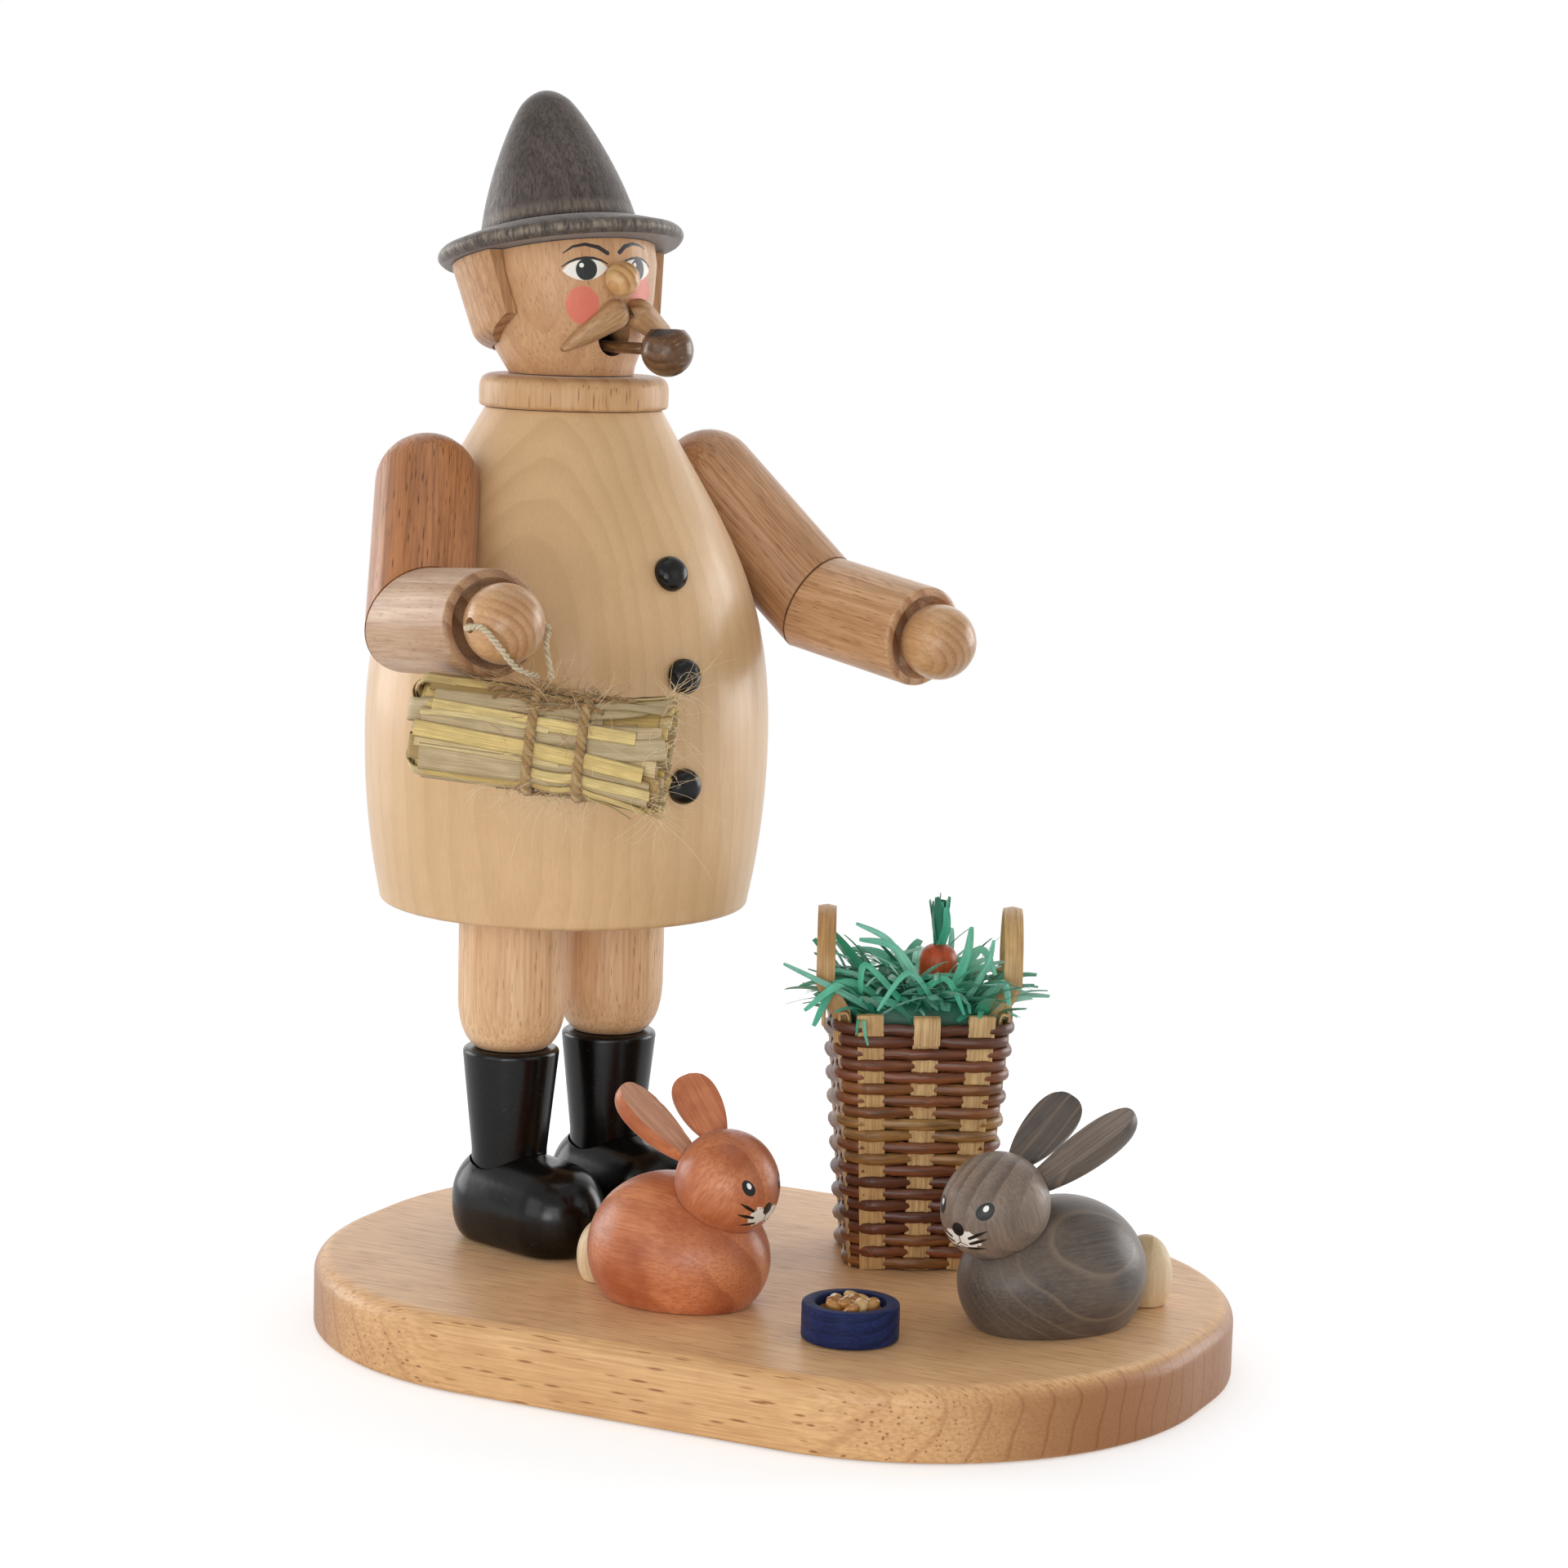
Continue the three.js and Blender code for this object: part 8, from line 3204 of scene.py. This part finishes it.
            strands.sweep(line, outline, flat, tint, False, lambda t: 1.0 - 0.5 * t**3)
        leaves = place(strands.build("carrot_tuft"), where)
        dress(leaves, Strand.raffia.material(), "carrot_leaves")


@dataclass(frozen=True)
class Lamp:
    """Square soft lamp: metres to the camera's right, up and towards the camera, side in metres, watts."""

    name: str
    place: Triple
    size: float
    power: float


@dataclass
class Studio:
    """Camera at the photograph's view, pale floor and soft light."""

    eye: Triple = (266.642, -558.458, 180.789)
    yaw: float = 25.505
    pitch: float = 8.271
    roll: float = 1.646
    lens: float = 90.305
    middle: Triple = (0.0, 0.0, 100.0)
    sensor: float = 36.0
    floor_size: float = 6.0
    floor_drop: float = 0.0002
    floor_colour: str = "#eef0f2"
    floor_glow: float = 0.43
    floor_fade: Pair = (0.16, 0.45)
    world_light: float = 0.31
    mirror_share: float = 0.45
    lamps: tuple[Lamp, ...] = (
        Lamp("key", (-0.8, 0.26, 0.75), 0.7, 2.0),
        Lamp("fill", (0.95, 0.35, 0.6), 0.7, 0.9),
        Lamp("front", (-0.05, 0.08, 1.0), 0.6, 2.75),
        Lamp("low_front", (-0.15, -0.07, 0.5), 0.2, 0.45),
        Lamp("left_edge", (-1.0, 0.1, -0.45), 0.7, 6.2),
        Lamp("right_edge", (1.0, 0.1, -0.5), 0.7, 7.0),
        Lamp("backdrop", (0.0, 0.3, -1.0), 1.6, 6.4),
        Lamp("top", (0.05, 1.2, 0.05), 0.8, 1.3),
    )

    def axes(self) -> tuple[Vector, Vector, Vector]:
        """Right, up and back of the camera.

        Returns:
            The three directions.
        """
        a, e = radians(self.yaw), radians(self.pitch)
        back = Vector((sin(a) * cos(e), -cos(a) * cos(e), sin(e)))
        right = Vector((cos(a), sin(a), 0.0))
        return right, back.cross(right), back

    def build(self) -> None:
        """Makes the camera, floor, world and lamps."""
        bpy.context.scene.view_settings.view_transform = "Standard"
        self.camera()
        self.floor()
        self.world()
        for lamp in self.lamps:
            self.hang(lamp)

    def camera(self) -> None:
        """Camera with the photograph's place and lens."""
        right, up, back = self.axes()
        turn = radians(self.roll)
        across = right * cos(turn) + up * sin(turn)
        above = up * cos(turn) - right * sin(turn)
        data = bpy.data.cameras.new("photo_view")
        data.lens = self.lens
        data.sensor_width = self.sensor
        data.clip_start = 0.01
        data.clip_end = 50.0
        camera = bpy.data.objects.new("photo_view", data)
        bpy.context.scene.collection.objects.link(camera)
        where = Matrix((across, above, back)).transposed().to_4x4()
        where.translation = mm(*self.eye)
        camera.matrix_world = where
        bpy.context.scene.camera = camera

    def shown_rays(self, tree: Tree) -> Socket:
        """1 for rays that show the surroundings, half for reflections, 0 for those that only light.

        Args:
            tree: Tree to add to.

        Returns:
            Value socket.
        """
        path = tree.add("LightPath").outputs
        seen = tree.math("MAXIMUM", path["Is Camera Ray"], path["Is Transmission Ray"])
        return tree.math("MAXIMUM", seen, tree.times(path["Is Glossy Ray"], self.mirror_share))

    def floor(self) -> None:
        """Pale floor that keeps the shadow and shows white elsewhere."""
        deselect_all()
        bpy.ops.mesh.primitive_plane_add(size=self.floor_size, location=(0.0, 0.0, -self.floor_drop))
        floor = bpy.context.object
        floor.name = "studio_floor"
        finish = Finish("floor_white")
        shown = self.shown_rays(finish)
        finish.set(Base_Color=linear(self.floor_colour), Roughness=0.9, Specular_IOR_Level=0.0)
        finish.set(Emission_Strength=finish.times(shown, self.floor_glow), Emission_Color=WHITE)
        away = finish.vector("LENGTH", finish.add("TexCoord").outputs["Object"])
        far = finish.times(finish.step(away, *self.floor_fade), shown)
        white = finish.add("Emission", {"Color": WHITE, "Strength": 1.0}).outputs[0]
        blend = finish.add("MixShader", {0: far, 1: finish.shader.outputs[0], 2: white}).outputs[0]
        finish.feed(finish.tree.nodes["Material Output"].inputs["Surface"], blend)
        floor.data.materials.append(finish.material)

    def world(self) -> None:
        """White surroundings that light the object at a plain level."""
        world = bpy.data.worlds.new("studio_white")
        bpy.context.scene.world = world
        world.use_nodes = True
        tree = Tree(world.node_tree)
        inputs = {"Value": self.shown_rays(tree), "To Min": self.world_light, "To Max": 1.0}
        strength = tree.add("MapRange", inputs).outputs[0]
        background = world.node_tree.nodes["Background"]
        tree.feed(background.inputs["Color"], WHITE)
        tree.feed(background.inputs["Strength"], strength)

    def hang(self, lamp: Lamp) -> None:
        """Hangs a lamp and aims it at the smoker.

        Args:
            lamp: Its place, size and power.
        """
        right, _, back = self.axes()
        level = Vector((back.x, back.y, 0.0)).normalized()
        target = mm(*self.middle)
        across, above, near = lamp.place
        spot = target + right * across + UP * above + level * near
        data = bpy.data.lights.new(lamp.name, "AREA")
        data.size = lamp.size
        data.energy = lamp.power
        light = bpy.data.objects.new(lamp.name, data)
        bpy.context.scene.collection.objects.link(light)
        light.location = spot
        light.rotation_mode = "QUATERNION"
        light.rotation_quaternion = (target - spot).to_track_quat("-Z", "Y")


def rabbits() -> list[Rabbit]:
    """The brown and the gray rabbit with their own poses and faces.

    Returns:
        Both rabbits, ready to build.
    """
    brown = RabbitFace(
        eyes=((-37.5, 39.0), (34.0, 38.5)), eye_radius=1.12, glint=0.44,
        nose=(-0.7, 19.8), nose_radii=(0.95, 1.05),
        cheeks=((-10.5, 10.5), (9.5, 10.5)), cheek_radii=(1.75, 1.65),
        whiskers=((-20.5, 17.2, -38.8, 21.0), (-17.0, 9.3, -35.5, 8.4), (-11.0, 2.2, -26.5, -3.5),
                  (20.5, 17.2, 38.8, 21.0), (17.0, 9.3, 35.5, 8.4), (11.0, 2.2, 26.5, -3.5)),
        mouth=((0.0, 13.0, 1.0, 5.0), (1.0, 5.0, -6.0, 0.5), (1.0, 5.0, 8.0, 0.5)))
    gray = RabbitFace(
        eyes=((40.0, 22.8), (-22.0, 23.5)), eye_radius=1.3, glint=0.46,
        nose=(8.1, 6.5), nose_radii=(1.05, 1.02),
        cheeks=((-2.5, -5.5), (16.5, -5.5)), cheek_radii=(1.7, 1.5),
        whiskers=((18.3, -2.6, 37.3, 2.9), (17.5, -8.9, 35.0, -5.7), (13.0, -14.6, 30.4, -17.2),
                  (-3.0, -2.6, -22.0, 2.9), (-3.0, -8.9, -20.0, -5.7), (1.0, -14.6, -15.0, -17.2)),
        mouth=((8.0, 1.0, 6.8, -7.5), (6.8, -7.5, 0.0, -11.5), (6.8, -7.5, 13.0, -11.0)))
    return [
        Rabbit(
            Fur.BROWN, x=-4.7, y=-22.7, facing=79.0, rump=13.5, chest=17.5,
            head_forward=8.8, head_length=8.8, nod=40.0, tail_back=15.4, tail_height=12.0,
            ears={
                Side.LEFT: Ear((3, 5.1, 6.8), (5.8, 13.3, 13.4), (-6, -5, 6)),
                Side.RIGHT: Ear((-3, 6.8, 4.7), (-5.7, 16.8, 13.3), (0, -6.5, 7.6), pale=True),
            },
            face=brown, stain=Stain.brown, flat_stain=Stain.brown_flat, head_stain=Stain.brown,
        ),
        Rabbit(
            Fur.GRAY, x=50.8, y=-5.2, facing=-27.0, rump=14.3, chest=18.1,
            head_forward=11.2, head_length=9.5, nod=22.0, tail_back=20.0, tail_height=13.2,
            ears={
                Side.LEFT: Ear((3, 6.1, 3.7), (6, 21.6, 13), (0, -5.1, 8.5), pale=True),
                Side.RIGHT: Ear((-3, 7.2, 6.2), (-5.8, 19.6, 13.1), (6, -4, 6)),
            },
            face=gray, stain=Stain.gray, flat_stain=Stain.gray_flat, head_stain=Stain.gray_head,
        ),
    ]


def main() -> None:
    """Builds the studio and every sub-assembly in order."""
    logging.basicConfig(level=logging.INFO, format="%(name)s: %(message)s")
    Studio().build()
    coat = Coat()
    arms = Arms(coat)
    Plate().build()
    Feet().build()
    coat.build()
    Head(coat).build()
    arms.build()
    StrawBundle(arms).build()
    for rabbit in rabbits():
        rabbit.build()
    Feeder().build()
    Basket().build()
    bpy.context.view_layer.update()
    deselect_all()


if __name__ == "__main__":
    main()
